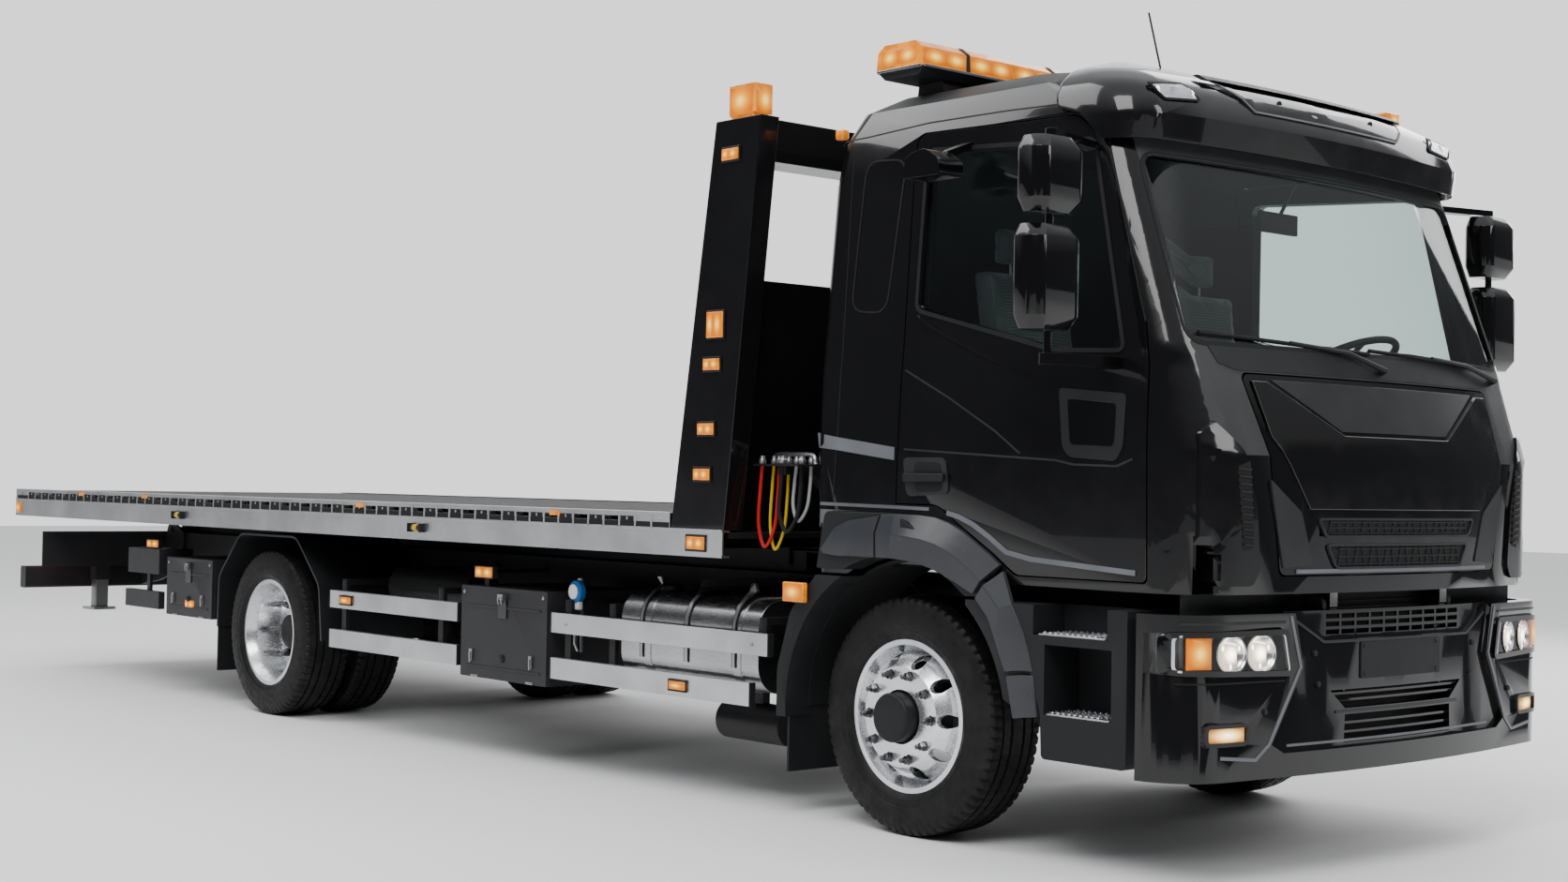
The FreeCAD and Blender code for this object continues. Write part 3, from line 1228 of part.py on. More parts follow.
def make_front_mudguards():
    fa = front_axle_x
    liner_outer = arch_radius - 12
    liner_inner = liner_outer - 12
    liner_high_y = cab_half_width - 66
    liner = ring_part("liner", fa, liner_outer, liner_inner, as_size(730), liner_high_y, [
        (fa - 700, as_size(430)), (fa + 700, as_size(700)), (fa + 700, as_size(1200)), (fa - 700, as_size(1200)),
    ])
    rear_trim = prism("rear_trim", "XZ", cab_half_width - 70, arch_half_width, [
        (fa - 430, as_size(992)), (fa - 580, as_size(840), 150), (fa - 655, as_size(600), 150),
        (fa - 655, as_size(410)), (fa - 560, as_size(410)), (fa - 250, as_size(900)), (fa - 250, as_size(992)),
    ])
    front_trim = prism("front_trim", "XZ", cab_half_width - 70, arch_half_width, [
        (fa + 392, as_size(938)), (fa + 590, as_size(938)), (fa + 702, as_size(760)), (fa + 771, as_size(557)),
        (fa + 650, as_size(557)), (fa + 560, as_size(600)), (fa + 392, as_size(800)),
    ])
    core = cylinder("trim_core", "y", (fa, cab_half_width - 100, axle_z), 200, liner_inner + 4)
    trims = cut("front_trims", fuse("front_trims_both", rear_trim, front_trim), core)
    flap = block("front_mud_flap", (fa - liner_outer - 10, fa - liner_outer + 2), (as_size(800), as_size(1150)),
                 (as_size(185), as_size(480)))
    arm = block("front_guard_arm", (fa - 590, fa - 550), (frame_half_width, as_size(740)),
                (as_size(690), as_size(730)))
    guards = both_sides("front_mudguard_set", liner, trims, flap, arm)
    node("front_mudguards", fuse("front_mudguards_solid", guards, make_steps()))


def make_rear_mudguards():
    ra = rear_axle_x
    inner_y = as_size(560)
    thickness = 12
    outer = [
        (ra - 600, as_size(458)), (ra - 590, as_size(760), 120), (ra - 330, as_size(1014), 120),
        (ra + 330, as_size(1014), 120), (ra + 600, as_size(760), 120), (ra + 640, as_size(458)),
    ]
    shell = prism("rear_guard_shell", "XZ", inner_y, side_half_width, outer)
    hollow = prism("rear_guard_hollow", "XZ", inner_y - 5, side_half_width + 5, [
        (ra - 600 + thickness, as_size(440)), (ra - 590 + thickness, as_size(754), 108),
        (ra - 330, as_size(1014 - thickness), 115), (ra + 330, as_size(1014 - thickness), 115),
        (ra + 600 - thickness, as_size(754), 108), (ra + 640 - thickness, as_size(440)),
    ])
    flap = block("rear_mud_flap", (ra - 606, ra - 598), (inner_y + 20, side_half_width - 10),
                 (as_size(200), as_size(480)))
    arms = [
        block("rear_guard_arm_a", (ra - 590, ra - 550), (frame_half_width, inner_y + 20), (as_size(700), as_size(740))),
        block("rear_guard_arm_b", (ra + 560, ra + 600), (frame_half_width, inner_y + 20), (as_size(700), as_size(740))),
    ]
    node("rear_mudguards", both_sides("rear_mudguards_solid", cut("rear_guard_cut", shell, hollow), flap, *arms))


def tank_outline(low_y, high_y, low_z, high_z, radius):
    return [
        (low_y, low_z, radius), (high_y, low_z, radius), (high_y, high_z, radius), (low_y, high_z, radius),
    ]


def make_tanks():
    fa = front_axle_x
    low_y = as_size(560)
    high_y = side_half_width - 35
    low_z = as_size(477)
    high_z = as_size(866)
    strap = size("tank_strap", 5)
    tank = prism("fuel_tank_form", "YZ", fa - 1726, fa - 790, tank_outline(low_y, high_y, low_z, high_z, 120))
    fuel_tank = mirrored("fuel_tank_solid", tank)
    oil = prism("oil_tank_form", "YZ", fa - 1726, fa - 1130, tank_outline(low_y, high_y, low_z, high_z, 60))
    carriers = []
    for number, (x, side) in enumerate(((fa - 1560, -1), (fa - 950, -1), (fa - 1600, 1), (fa - 1250, 1))):
        radius = 120 if side < 0 else 60
        ring = prism(f"tank_strap_{number}", "YZ", x, x + 50,
                     tank_outline(low_y - strap, high_y + strap, low_z - strap, high_z + strap, radius + 5),
                     tank_outline(low_y, high_y, low_z, high_z, radius))
        arm = prism(f"tank_arm_{number}", "YZ", x - 5, x + 55, [
            (frame_half_width, frame_bottom + 10), (frame_half_width, frame_top - 20),
            (frame_half_width + 20, frame_top - 20), (low_y - strap, frame_top - 60),
            (low_y - strap, low_z + 130), (frame_half_width + 40, frame_bottom + 10),
        ])
        piece = fuse(f"tank_carrier_{number}", ring, arm)
        carriers.append(piece if side > 0 else mirrored(f"tank_carrier_right_{number}", piece))
    node("side_tanks", fuse("side_tanks_solid", fuel_tank, oil, *carriers))


def make_air_tanks():
    tube_y = as_size(880)
    front = cylinder("front_air_tank", "x", (front_axle_x - 1300, tube_y, as_size(320)), 410, 85)
    arm = block("front_air_arm", (front_axle_x - 1120, front_axle_x - 1060), (tube_y - 20, tube_y + 20),
                (as_size(395), as_size(471.7)))
    rear = cylinder("rear_air_tank", "x", (rear_axle_x + 960, tube_y, as_size(770)), 760, 105)
    rear_arms = []
    for number, x in enumerate((rear_axle_x + 1100, rear_axle_x + 1560)):
        rear_arms.append(block(f"rear_air_arm_{number}", (x, x + 50), (frame_half_width, tube_y), (as_size(860), as_size(876))))
        rear_arms.append(block(f"rear_air_strap_{number}", (x, x + 50), (tube_y - 10, tube_y + 10), (as_size(860), as_size(876))))
    one = fuse("air_tank_set", front, arm, rear, *rear_arms)
    node("air_tanks", mirrored("air_tanks_solid", one))


def open_box(name, x, y, z, wall):
    """A box that is open on its outer side."""
    outer = block(name + "_outer", x, y, z)
    inner = block(name + "_inner", (x[0] + wall, x[1] - wall), (y[0] + wall, y[1] + 10), (z[0] + wall, z[1] - wall))
    return cut(name, outer, inner)


def make_toolboxes():
    fa = front_axle_x
    ra = rear_axle_x
    wall = as_size(8)
    lid_thickness = size("lid_thickness", 18)
    face = side_half_width - lid_thickness - seat_gap
    main_x = (fa - 2983, fa - 2255)
    main_z = (as_size(388), as_size(829))
    rear_x = (ra - 1276, ra - 671)
    rear_z = (as_size(492), as_size(840))
    main = open_box("main_box", main_x, (as_size(640), face), main_z, wall)
    rear = open_box("rear_box", rear_x, (as_size(640), face), rear_z, wall)
    arms = []
    for number, (x, low) in enumerate(((main_x[0] + 60, main_z[0]), (main_x[1] - 120, main_z[0]),
                                       (rear_x[0] + 60, rear_z[0]), (rear_x[1] - 120, rear_z[0]))):
        arms.append(block(f"box_arm_{number}", (x, x + 60), (frame_half_width, as_size(640)),
                          (frame_bottom + 40, frame_bottom + 140)))
    node("tool_boxes", both_sides("tool_boxes_solid", main, rear, *arms, *make_rear_small_boxes()))
    for name, x, z in (("main", main_x, main_z), ("rear", rear_x, rear_z)):
        lid = block(f"{name}_lid", x, (side_half_width - lid_thickness, side_half_width), z)
        latch = block(f"{name}_latch", ((x[0] + x[1]) / 2 - 40, (x[0] + x[1]) / 2 + 40),
                      (side_half_width, side_half_width + 14), (z[1] - 60, z[1] - 25))
        left = fuse(f"{name}_lid_left_solid", lid, latch)
        node(f"{name}_box_lid_left", left)
        node(f"{name}_box_lid_right", mirrored(f"{name}_lid_right_solid", left))


def make_rear_small_boxes():
    ra = rear_axle_x
    box = block("small_box", (ra - 1833, ra - 1389), (side_half_width - 220, side_half_width), (as_size(725), as_size(878)))
    plate = block("small_plate", (ra - 1864, ra - 1384), (side_half_width - 40, side_half_width), (as_size(512), as_size(619)))
    drop = block("small_drop", (ra - 1640, ra - 1600), (side_half_width - 60, side_half_width - 40), (as_size(512), as_size(878)))
    arm = block("small_arm", (ra - 1640, ra - 1580), (frame_half_width, side_half_width - 220), (as_size(760), as_size(820)))
    return box, plate, drop, arm


def make_side_guards():
    fa = front_axle_x
    ra = rear_axle_x
    depth = size("guard_depth", 30)
    inner = side_half_width - depth
    rails = []
    for number, (x0, x1, z0, z1) in enumerate((
            (fa - 2223, fa - 690, 645, 738), (fa - 2223, fa - 800, 432, 530),
            (ra + 719, fa - 3016, 645, 738), (ra + 719, fa - 3016, 432, 530))):
        rails.append(prism(f"guard_rail_{number}", "YZ", x0, x1,
                           channel(side_half_width, inner, as_size(z0), as_size(z1), as_size(6))))
    posts = []
    for number, x in enumerate((fa - 2150, fa - 1810, fa - 780, ra + 800, ra + 1760)):
        x_end = x + 45
        low = 432 if number != 2 else 640
        posts.append(block(f"guard_post_{number}", (x, x_end), (inner - 22, inner), (as_size(low), as_size(800))))
        if number != 2:
            posts.append(block(f"guard_arm_{number}", (x, x_end), (frame_half_width, inner - 22), (as_size(770), as_size(800))))
    link = block("guard_arm_2", (fa - 780, fa - 735), (frame_half_width, inner - 22), (as_size(770), as_size(800)))
    node("side_guards", both_sides("side_guards_solid", link, *rails, *posts))


def make_rear_bumper():
    bar_rear = tail_x + 20
    bar = prism("under_run_bar", "XZ", 0, side_half_width + 40, [
        (bar_rear, as_size(545), 18), (bar_rear + 90, as_size(545), 18), (bar_rear + 90, as_size(695), 18),
        (bar_rear, as_size(695), 18),
    ])
    arm = prism("under_run_arm", "XZ", frame_half_width, frame_half_width + 12, [
        (frame_rear_x + 150, frame_bottom + 20), (frame_rear_x + 150, frame_bottom + 160),
        (frame_rear_x, frame_bottom + 160), (bar_rear + 90, as_size(685)), (bar_rear + 90, as_size(555)),
        (frame_rear_x, frame_bottom - 20),
    ])
    board = block("lamp_board", (frame_rear_x - 60, frame_rear_x - 48), (as_size(0), side_half_width + 30),
                  (as_size(700), as_size(939)))
    notch = block("lamp_board_notch", (frame_rear_x - 70, frame_rear_x - 40), (as_size(-10), as_size(110)),
                  (as_size(840), as_size(960)))
    board = cut("lamp_board_notched", board, notch)
    stay = block("lamp_board_stay", (frame_rear_x - 48, frame_rear_x), (frame_half_width - 60, frame_half_width - 10),
                 (as_size(710), as_size(785)))
    node("rear_bumper", both_sides("rear_bumper_solid", bar, arm, board, stay, *make_leg_tube()))


leg_x = frame_rear_x - 200
leg_y = size("leg_y", 760)
leg_half = size("leg_half", 50)


def make_leg_tube():
    """The socket of one stabiliser leg, its cross-beam and its arm on the frame."""
    tube = prism("leg_tube", "XY", as_size(600), as_size(890),
                 rectangle((leg_x - leg_half, leg_x + leg_half), (leg_y - leg_half, leg_y + leg_half)),
                 rectangle((leg_x - leg_half + 7, leg_x + leg_half - 7), (leg_y - leg_half + 7, leg_y + leg_half - 7)))
    beam = block("leg_beam", (leg_x - 40, leg_x + 40), (as_size(0), leg_y - leg_half), (as_size(705), as_size(785)))
    arm = block("leg_arm", (leg_x - 40, frame_rear_x + 120), (frame_half_width + 12, frame_half_width + 62),
                (as_size(705), as_size(785)))
    return tube, beam, arm


def make_stabilisers():
    """The stabiliser legs, which slide down out of their sockets."""
    half = leg_half - 7 - seat_gap
    leg = block("leg_bar", (leg_x - half, leg_x + half), (leg_y - half, leg_y + half), (as_size(410), as_size(880)))
    foot = prism("leg_foot", "XY", as_size(396), as_size(414), [
        (leg_x - 90, leg_y - 90, 25), (leg_x + 90, leg_y - 90, 25), (leg_x + 90, leg_y + 90, 25),
        (leg_x - 90, leg_y + 90, 25),
    ])
    left = fuse("leg_left_solid", leg, foot)
    node("stabiliser_leg_left", left)
    node("stabiliser_leg_right", mirrored("leg_right_solid", left))


def make_chassis_lamps():
    """The tail lamps on their board and the marker lamps on the side guards."""
    tail = prism("tail_lamp", "YZ", frame_rear_x - 88, frame_rear_x - 60, [
        (as_size(880), as_size(760), 15), (as_size(1215), as_size(760), 15), (as_size(1215), as_size(915), 15),
        (as_size(880), as_size(915), 15),
    ])
    lamps = []
    for number, (x, z) in enumerate(((front_axle_x - 1270, 480), (rear_axle_x + 900, 690))):
        lamps.append(block(f"marker_{number}", (x - 55, x + 55), (side_half_width, side_half_width + 12),
                           (as_size(z - 18), as_size(z + 18))))
    node("chassis_lamps", both_sides("chassis_lamps_solid", tail, *lamps))


# On the cab
def make_visor():
    """The fairing that wraps the front of the roof and ends below as the sun visor."""
    levels = [
        (as_size(2596), as_size(1104), nose_x - 700, nose_x - 345, 190, 30, 6300),
        (as_size(2690), as_size(1102), nose_x - 780, nose_x - 328, 190, 30, 6300),
        (as_size(2780), as_size(1085), nose_x - 800, nose_x - 360, 190, 30, 6000),
        (as_size(2830), as_size(1050), nose_x - 810, nose_x - 415, 190, 30, 5600),
        (as_size(2880), as_size(985), nose_x - 820, nose_x - 500, 190, 30, 5200),
        (as_size(2920), as_size(860), nose_x - 900, nose_x - 620, 120, 30, 4800),
        (as_size(2965), as_size(700), nose_x - 960, nose_x - 760, 60, 30, 4300),
    ]
    outer = cab_loft("visor_outer", levels, 0)
    lip = size("visor_lip", 14)
    behind_lip = cab_loft("visor_behind_lip", [(as_size(2580),) + levels[0][1:], levels[1]], lip)
    side_step = prism("visor_side_step", "XZ", as_size(-1200), as_size(1200), [
        (nose_x - 1100, as_size(2550)), (nose_x - 560, as_size(2550)), (nose_x - 560, as_size(2600)),
        (nose_x - 660, as_size(2700)), (nose_x - 820, as_size(2745)), (nose_x - 1100, as_size(2745)),
    ])
    core = cab_loft("visor_core", cab_levels(), 0)
    return node("sun_visor", cut("visor_clear", outer, core, behind_lip, side_step))


def make_light_bar(fairing):
    """The warning light bar on its feet, and the antenna in front of it."""
    fa = front_axle_x
    low = size("light_bar_z", 2968)
    tray = size("light_bar_tray", 32)
    top = low + size("light_bar_height", 137)
    half = size("light_bar_half_width", 1040)
    bar = prism("light_bar_lens", "XZ", -half, half, [
        (fa - 277, low + tray), (fa - 17, low + tray), (fa - 24, top - 28), (fa - 62, top), (fa - 232, top),
        (fa - 270, top - 28),
    ])
    base = prism("light_bar_tray_form", "XZ", -half + 12, half - 12, [
        (fa - 240, low), (fa - 54, low), (fa - 17, low + tray), (fa - 277, low + tray),
    ])
    foot = prism("light_bar_foot", "XZ", as_size(700), as_size(860), [
        (fa - 235, as_size(2840)), (fa - 60, as_size(2840)), (fa - 80, low), (fa - 215, low),
    ])
    feet = both_sides("light_bar_feet", foot)
    core = cab_loft("roof_core", cab_levels()[5:], 0)
    antenna = rod("antenna_rod", (fa + 740, -500, 2900), (fa + 663, -500, 3185), 4)
    trimmed = cut("light_bar_feet_solid", fuse("roof_feet_all", feet, antenna), core, fairing)
    node("roof_fittings", fuse("roof_fittings_solid", trimmed, bar, base))


mirror_draw = size("mirror_draw", 26)
no_draw = as_size(0)


def mirror_housing(name, low, high, middle_y):
    """One mirror head: deep and full in the middle, drawn in at its lower and upper end."""
    back = front_axle_x + 945
    front = front_axle_x + 1060
    sections = []
    for number, (z, inset) in enumerate(((low, mirror_draw), (low + 45, no_draw), (high - 45, no_draw), (high, mirror_draw))):
        sections.append(sketch_at(f"{name}_{number}", "XY", z, [[
            (back, middle_y - 130 + inset, 25), (front - inset, middle_y - 116 + inset, 50),
            (front - inset, middle_y + 116 - inset, 50), (back, middle_y + 130 - inset, 25),
        ]]))
    obj = doc.addObject("Part::Loft", name)
    obj.Sections = sections
    obj.Solid = True
    obj.Ruled = True
    return solve(obj)


def make_kerb_mirror():
    """The mirror that looks down on the kerb from above the door window, with its bracket."""
    fa = front_axle_x
    hood = prism("kerb_mirror_hood", "XZ", as_size(1180), as_size(1310), [
        (fa + 160, as_size(2505)), (fa + 345, as_size(2505), 15), (fa + 350, as_size(2560), 40),
        (fa + 270, as_size(2612), 60), (fa + 170, as_size(2590), 45),
    ])
    hollow = prism("kerb_mirror_hollow", "XZ", as_size(1192), as_size(1298), [
        (fa + 175, as_size(2500)), (fa + 330, as_size(2500)), (fa + 325, as_size(2530)), (fa + 185, as_size(2530)),
    ])
    arm = prism("kerb_mirror_arm", "YZ", fa + 235, fa + 285, [
        (as_size(1062), as_size(2632)), (as_size(1062), as_size(2662)), (as_size(1200), as_size(2610)),
        (as_size(1200), as_size(2580)),
    ])
    clear = cut("kerb_mirror_clear", fuse("kerb_mirror_form", hood, arm), cab_loft("kerb_mirror_core", cab_levels()[3:7], 0))
    return cut("kerb_mirror", clear, hollow)


def make_mirrors():
    fa = front_axle_x
    parts = []
    for name, low, high, middle_y in (("upper", 2292, 2553, 1425), ("lower", 1892, 2250, 1440)):
        parts.append(mirror_housing(f"mirror_{name}", as_size(low), as_size(high), as_size(middle_y)))
    stem = cylinder("mirror_stem", "z", (fa + 990, as_size(1425), as_size(1800)), 770, 14)
    lower_arm = prism("mirror_lower_arm", "XY", as_size(1775), as_size(1815), [
        (fa + 960, as_size(1121.5)), (fa + 1060, as_size(1121.5)), (fa + 1020, as_size(1450), 25),
        (fa + 960, as_size(1450), 25),
    ])
    upper_arm = prism("mirror_upper_arm", "XY", as_size(2558), as_size(2584), [
        (fa + 860, as_size(1086)), (fa + 920, as_size(1086)), (fa + 1015, as_size(1440), 18), (fa + 975, as_size(1440), 18),
    ])
    left = fuse("mirrors_left_solid", stem, lower_arm, upper_arm, *parts)
    node("mirrors_left", left)
    kerb = mirrored("kerb_mirror_right", make_kerb_mirror())
    node("mirrors_right", fuse("mirrors_right_solid", mirrored("mirror_set_right", left), kerb))


# Inside the cab
def make_interior():
    fa = front_axle_x
    floor = cab_floor_z + cab_floor_plate
    dash = prism("dash_form", "XZ", as_size(-980), as_size(980), [
        (fa + 1215, floor + 1), (fa + 1215, as_size(1780), 60), (fa + 960, as_size(1800), 70),
        (fa + 900, as_size(1660), 60), (fa + 1000, as_size(1500), 60), (fa + 1120, floor + 1),
    ])
    column = rod("steering_column", (fa + 1000, 550, 1560), (fa + 868, 550, 1828), 34)
    bases = []
    cushions = []
    for name, y in (("driver", 550), ("passenger", -550)):
        base = prism(f"{name}_base", "XZ", as_size(y - 200), as_size(y + 200), [
            (fa + 120, floor + 1), (fa + 480, floor + 1), (fa + 520, as_size(1560)), (fa + 80, as_size(1560)),
        ])
        bases.append(base)
        cushion = prism(f"{name}_cushion", "XZ", as_size(y - 250), as_size(y + 250), [
            (fa + 60, as_size(1561)), (fa + 600, as_size(1561), 40), (fa + 600, as_size(1690), 60),
            (fa + 200, as_size(1680), 80), (fa + 130, as_size(2230), 60), (fa + 10, as_size(2230), 60),
        ])
        rest = prism(f"{name}_headrest", "XZ", as_size(y - 140), as_size(y + 140), [
            (fa + 30, as_size(2230)), (fa + 100, as_size(2230)), (fa + 105, as_size(2400), 45), (fa + 5, as_size(2400), 45),
        ])
        cushions.extend((cushion, rest))
    node("cab_interior", fuse("cab_interior_solid", dash, column, *bases))
    node("seats", fuse("seats_solid", *cushions))
    wheel_centre = Vector(float(fa + 845), 550, 1875)
    tilt = Rotation(Vector(0, 1, 0), -26)
    ring = doc.addObject("Part::Torus", "steering_ring")
    bind(ring, "Radius1", size("steering_wheel_radius", 225))
    bind(ring, "Radius2", size("steering_wheel_rim", 15))
    ring.Placement = Placement(wheel_centre, tilt)
    solve(ring)
    axis = tilt.multVec(Vector(0, 0, 1))
    hub_low = wheel_centre - axis * 45
    hub = rod("steering_hub", hub_low, wheel_centre + axis * 10, 60)
    spokes = [hub]
    for number, angle in enumerate((90, 210, 330)):
        way = tilt.multVec(Vector(math.cos(math.radians(angle)), math.sin(math.radians(angle)), 0))
        spokes.append(rod(f"steering_spoke_{number}", wheel_centre + way * 40, wheel_centre + way * 222, 11))
    node("steering_wheel", fuse("steering_wheel_solid", ring, *spokes))


def make_cable_rack():
    """The stand behind the cab that carries the trailer cables."""
    x0 = front_axle_x - 850
    arm_y = as_size(1120)
    post = prism("rack_post", "YZ", x0 + 110, x0 + 160, [
        (as_size(330), frame_top), (as_size(400), frame_top), (as_size(960), as_size(1390)), (arm_y, as_size(1390)),
        (arm_y, as_size(1425)), (as_size(900), as_size(1425)),
    ])
    shelf = prism("rack_shelf", "XZ", as_size(1040), arm_y + 40, [
        (x0, as_size(1425)), (x0 + 280, as_size(1425)), (x0 + 280, as_size(1433)), (x0, as_size(1433)),
    ])
    return mirrored("cable_rack_solid", fuse("cable_rack_left", post, shelf))


def export():
    os.makedirs("parts", exist_ok=True)
    labels = set()
    for obj in nodes:
        check(obj)
        shape = obj.Shape
        if shape.isNull() or not shape.isValid():
            raise RuntimeError(f"{obj.Label} has no valid shape")
        if obj.Label in labels:
            raise RuntimeError(f"{obj.Label} is used twice")
        labels.add(obj.Label)
        shape.exportStep(f"parts/{obj.Label}.step")
    print(len(labels), "sub-parts written")


make_chassis_frame()
make_tilt_frame()
make_slide_cylinder()
make_tilt_rams()
make_bed_deck()
make_bed_sides()
make_headboard()
make_bed_lamps()
make_winch()
make_axles()
make_driveline()
make_wheels()
make_knuckles()
make_cab()
make_cab_mounts()
make_bumper()
make_front_mudguards()
make_rear_mudguards()
make_tanks()
make_air_tanks()
make_toolboxes()
make_side_guards()
make_rear_bumper()
make_stabilisers()
make_chassis_lamps()
make_light_bar(make_visor())
make_mirrors()
make_interior()
export()
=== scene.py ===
import json
import math

import bmesh
import bpy
from bpy.props import FloatProperty, FloatVectorProperty, IntProperty, PointerProperty
from bpy.types import Operator, Panel, PropertyGroup
from mathutils import Matrix, Vector
from mathutils.bvhtree import BVHTree


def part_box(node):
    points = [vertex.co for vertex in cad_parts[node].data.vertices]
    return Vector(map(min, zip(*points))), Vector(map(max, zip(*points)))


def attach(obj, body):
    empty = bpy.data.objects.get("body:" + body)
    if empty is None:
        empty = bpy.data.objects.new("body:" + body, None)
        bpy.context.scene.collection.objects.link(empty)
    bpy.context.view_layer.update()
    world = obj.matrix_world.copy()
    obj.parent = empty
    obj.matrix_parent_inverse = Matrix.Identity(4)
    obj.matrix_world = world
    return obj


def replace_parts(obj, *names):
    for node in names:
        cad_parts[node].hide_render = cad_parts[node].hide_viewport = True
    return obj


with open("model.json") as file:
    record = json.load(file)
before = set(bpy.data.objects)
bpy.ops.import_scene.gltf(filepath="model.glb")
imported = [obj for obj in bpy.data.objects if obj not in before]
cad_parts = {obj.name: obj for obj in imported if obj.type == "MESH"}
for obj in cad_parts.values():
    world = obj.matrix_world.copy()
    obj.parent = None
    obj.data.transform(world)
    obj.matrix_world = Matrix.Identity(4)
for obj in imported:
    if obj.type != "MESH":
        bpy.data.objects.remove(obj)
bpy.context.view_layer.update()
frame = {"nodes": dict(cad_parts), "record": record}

bl_info = {
    "name": "Flatbed tow truck dresser",
    "version": (1, 0, 0),
    "blender": (4, 5, 0),
    "location": "View3D > Sidebar > Truck",
    "description": "Dresses the packed flatbed tow truck with finishes and fine pieces",
    "category": "Object",
}

NODES = frame["nodes"]
BODY_OF = {node: body for body, nodes in frame["record"]["behaviour"]["bodies"].items() for node in nodes}
SIDES = (-1, 1)

# Places and sizes that several pieces share, in metres from the middle of the truck or from the ground
RAIL_FACE = 1.2745
GUARD_FACE = 1.2
BOARD_LOW, BOARD_TOP = 1.206, 1.2165
STUD_CIRCLE = 0.1675
NUT_COUNT = 10
TWIN_TYRE_WIDTH = 0.2894
HUB_FACE = {"single": 0.165, "twin": 0.014}
RAIL_POST_PITCH = 0.115


# Settings
class TruckPaint(PropertyGroup):
    cab: FloatVectorProperty(name="Cab paint", description="Gloss coat of the cab", subtype="COLOR",
                             default=(0.004, 0.004, 0.0045), min=0, max=1)
    trim: FloatVectorProperty(name="Satin trim", description="Grained satin mouldings", subtype="COLOR",
                              default=(0.022, 0.023, 0.025), min=0, max=1)
    chassis: FloatVectorProperty(name="Chassis", description="Satin coat of the frame", subtype="COLOR",
                                 default=(0.012, 0.012, 0.013), min=0, max=1)
    metal: FloatVectorProperty(name="Aluminium", description="Bare rails and guards", subtype="COLOR",
                               default=(0.62, 0.63, 0.64), min=0, max=1)


class TruckLamps(PropertyGroup):
    amber: FloatVectorProperty(name="Amber", description="Colour of the side and warning lamps",
                               subtype="COLOR", default=(1.0, 0.30, 0.001), min=0, max=1)
    red: FloatVectorProperty(name="Red", description="Colour of the tail lamps", subtype="COLOR",
                             default=(0.75, 0.012, 0.008), min=0, max=1)
    glow: FloatProperty(name="Glow", description="Light given off by lit lamps", default=2.2, min=0, max=20)


class TruckTyres(PropertyGroup):
    pitches: IntProperty(name="Tread pitches", description="Shoulder blocks round one tyre", default=68,
                         min=24, max=120)
    groove: FloatProperty(name="Groove depth", description="Depth of the tread", default=0.013, min=0.002,
                          max=0.03, unit="LENGTH")


# Node trees for finishes
def new_material(name):
    material = bpy.data.materials.new(name)
    material.use_nodes = True
    tree = material.node_tree
    return material, tree, tree.nodes["Principled BSDF"]


def wire(tree, kind, **values):
    """Adds a node of a kind and sets its inputs by name."""
    node = tree.nodes.new(kind)
    for key, value in values.items():
        if key in node.inputs:
            node.inputs[key].default_value = value
        else:
            setattr(node, key, value)
    return node


def object_space(tree, scale=(1, 1, 1)):
    place = tree.nodes.new("ShaderNodeTexCoord")
    mapping = tree.nodes.new("ShaderNodeMapping")
    mapping.inputs["Scale"].default_value = scale
    tree.links.new(place.outputs["Object"], mapping.inputs["Vector"])
    return mapping.outputs["Vector"]


def noise(tree, vector, scale, detail=4.0, rough=0.5):
    node = wire(tree, "ShaderNodeTexNoise", Scale=scale, Detail=detail, Roughness=rough)
    tree.links.new(vector, node.inputs["Vector"])
    return node.outputs["Fac"]


def ramp(tree, factor, low, high, first=0.0, last=1.0):
    """Runs a factor through a two-stop ramp of colours or grey values."""
    node = tree.nodes.new("ShaderNodeValToRGB")
    stops = node.color_ramp.elements
    stops[0].position = first
    stops[1].position = last
    stops[0].color = low if hasattr(low, "__len__") else (low, low, low, 1)
    stops[1].color = high if hasattr(high, "__len__") else (high, high, high, 1)
    tree.links.new(factor, node.inputs["Fac"])
    return node.outputs["Color"]


def bump(tree, shader, height, strength, distance=0.001):
    node = wire(tree, "ShaderNodeBump", Strength=strength, Distance=distance)
    tree.links.new(height, node.inputs["Height"])
    tree.links.new(node.outputs["Normal"], shader.inputs["Normal"])


def shade(color, factor):
    return tuple(min(1.0, c * factor) for c in color) + (1,)


def feed(tree, shader, name, factor, low, high, first, last):
    """Drives an input of the shader by a factor that runs through a ramp."""
    tree.links.new(ramp(tree, factor, low, high, first, last), shader.inputs[name])


def preset(shader, values):
    for name, value in values.items():
        shader.inputs[name].default_value = value


def gloss_paint(name, color, coat=0.45, rough=0.14):
    """Clear-coated paint with a faint orange peel and slightly uneven gloss."""
    material, tree, shader = new_material(name)
    space = object_space(tree)
    feed(tree, shader, "Base Color", noise(tree, space, 1.7, 3), shade(color, 0.8), shade(color, 1.35), 0.3,
         0.7)
    feed(tree, shader, "Roughness", noise(tree, space, 9.0, 5), rough - 0.04, rough + 0.05, 0.35, 0.7)
    preset(shader, {"Coat Weight": coat, "Coat Roughness": 0.015, "Specular IOR Level": 0.22})
    bump(tree, shader, noise(tree, space, 420.0, 2), 0.03, 0.0004)
    return material


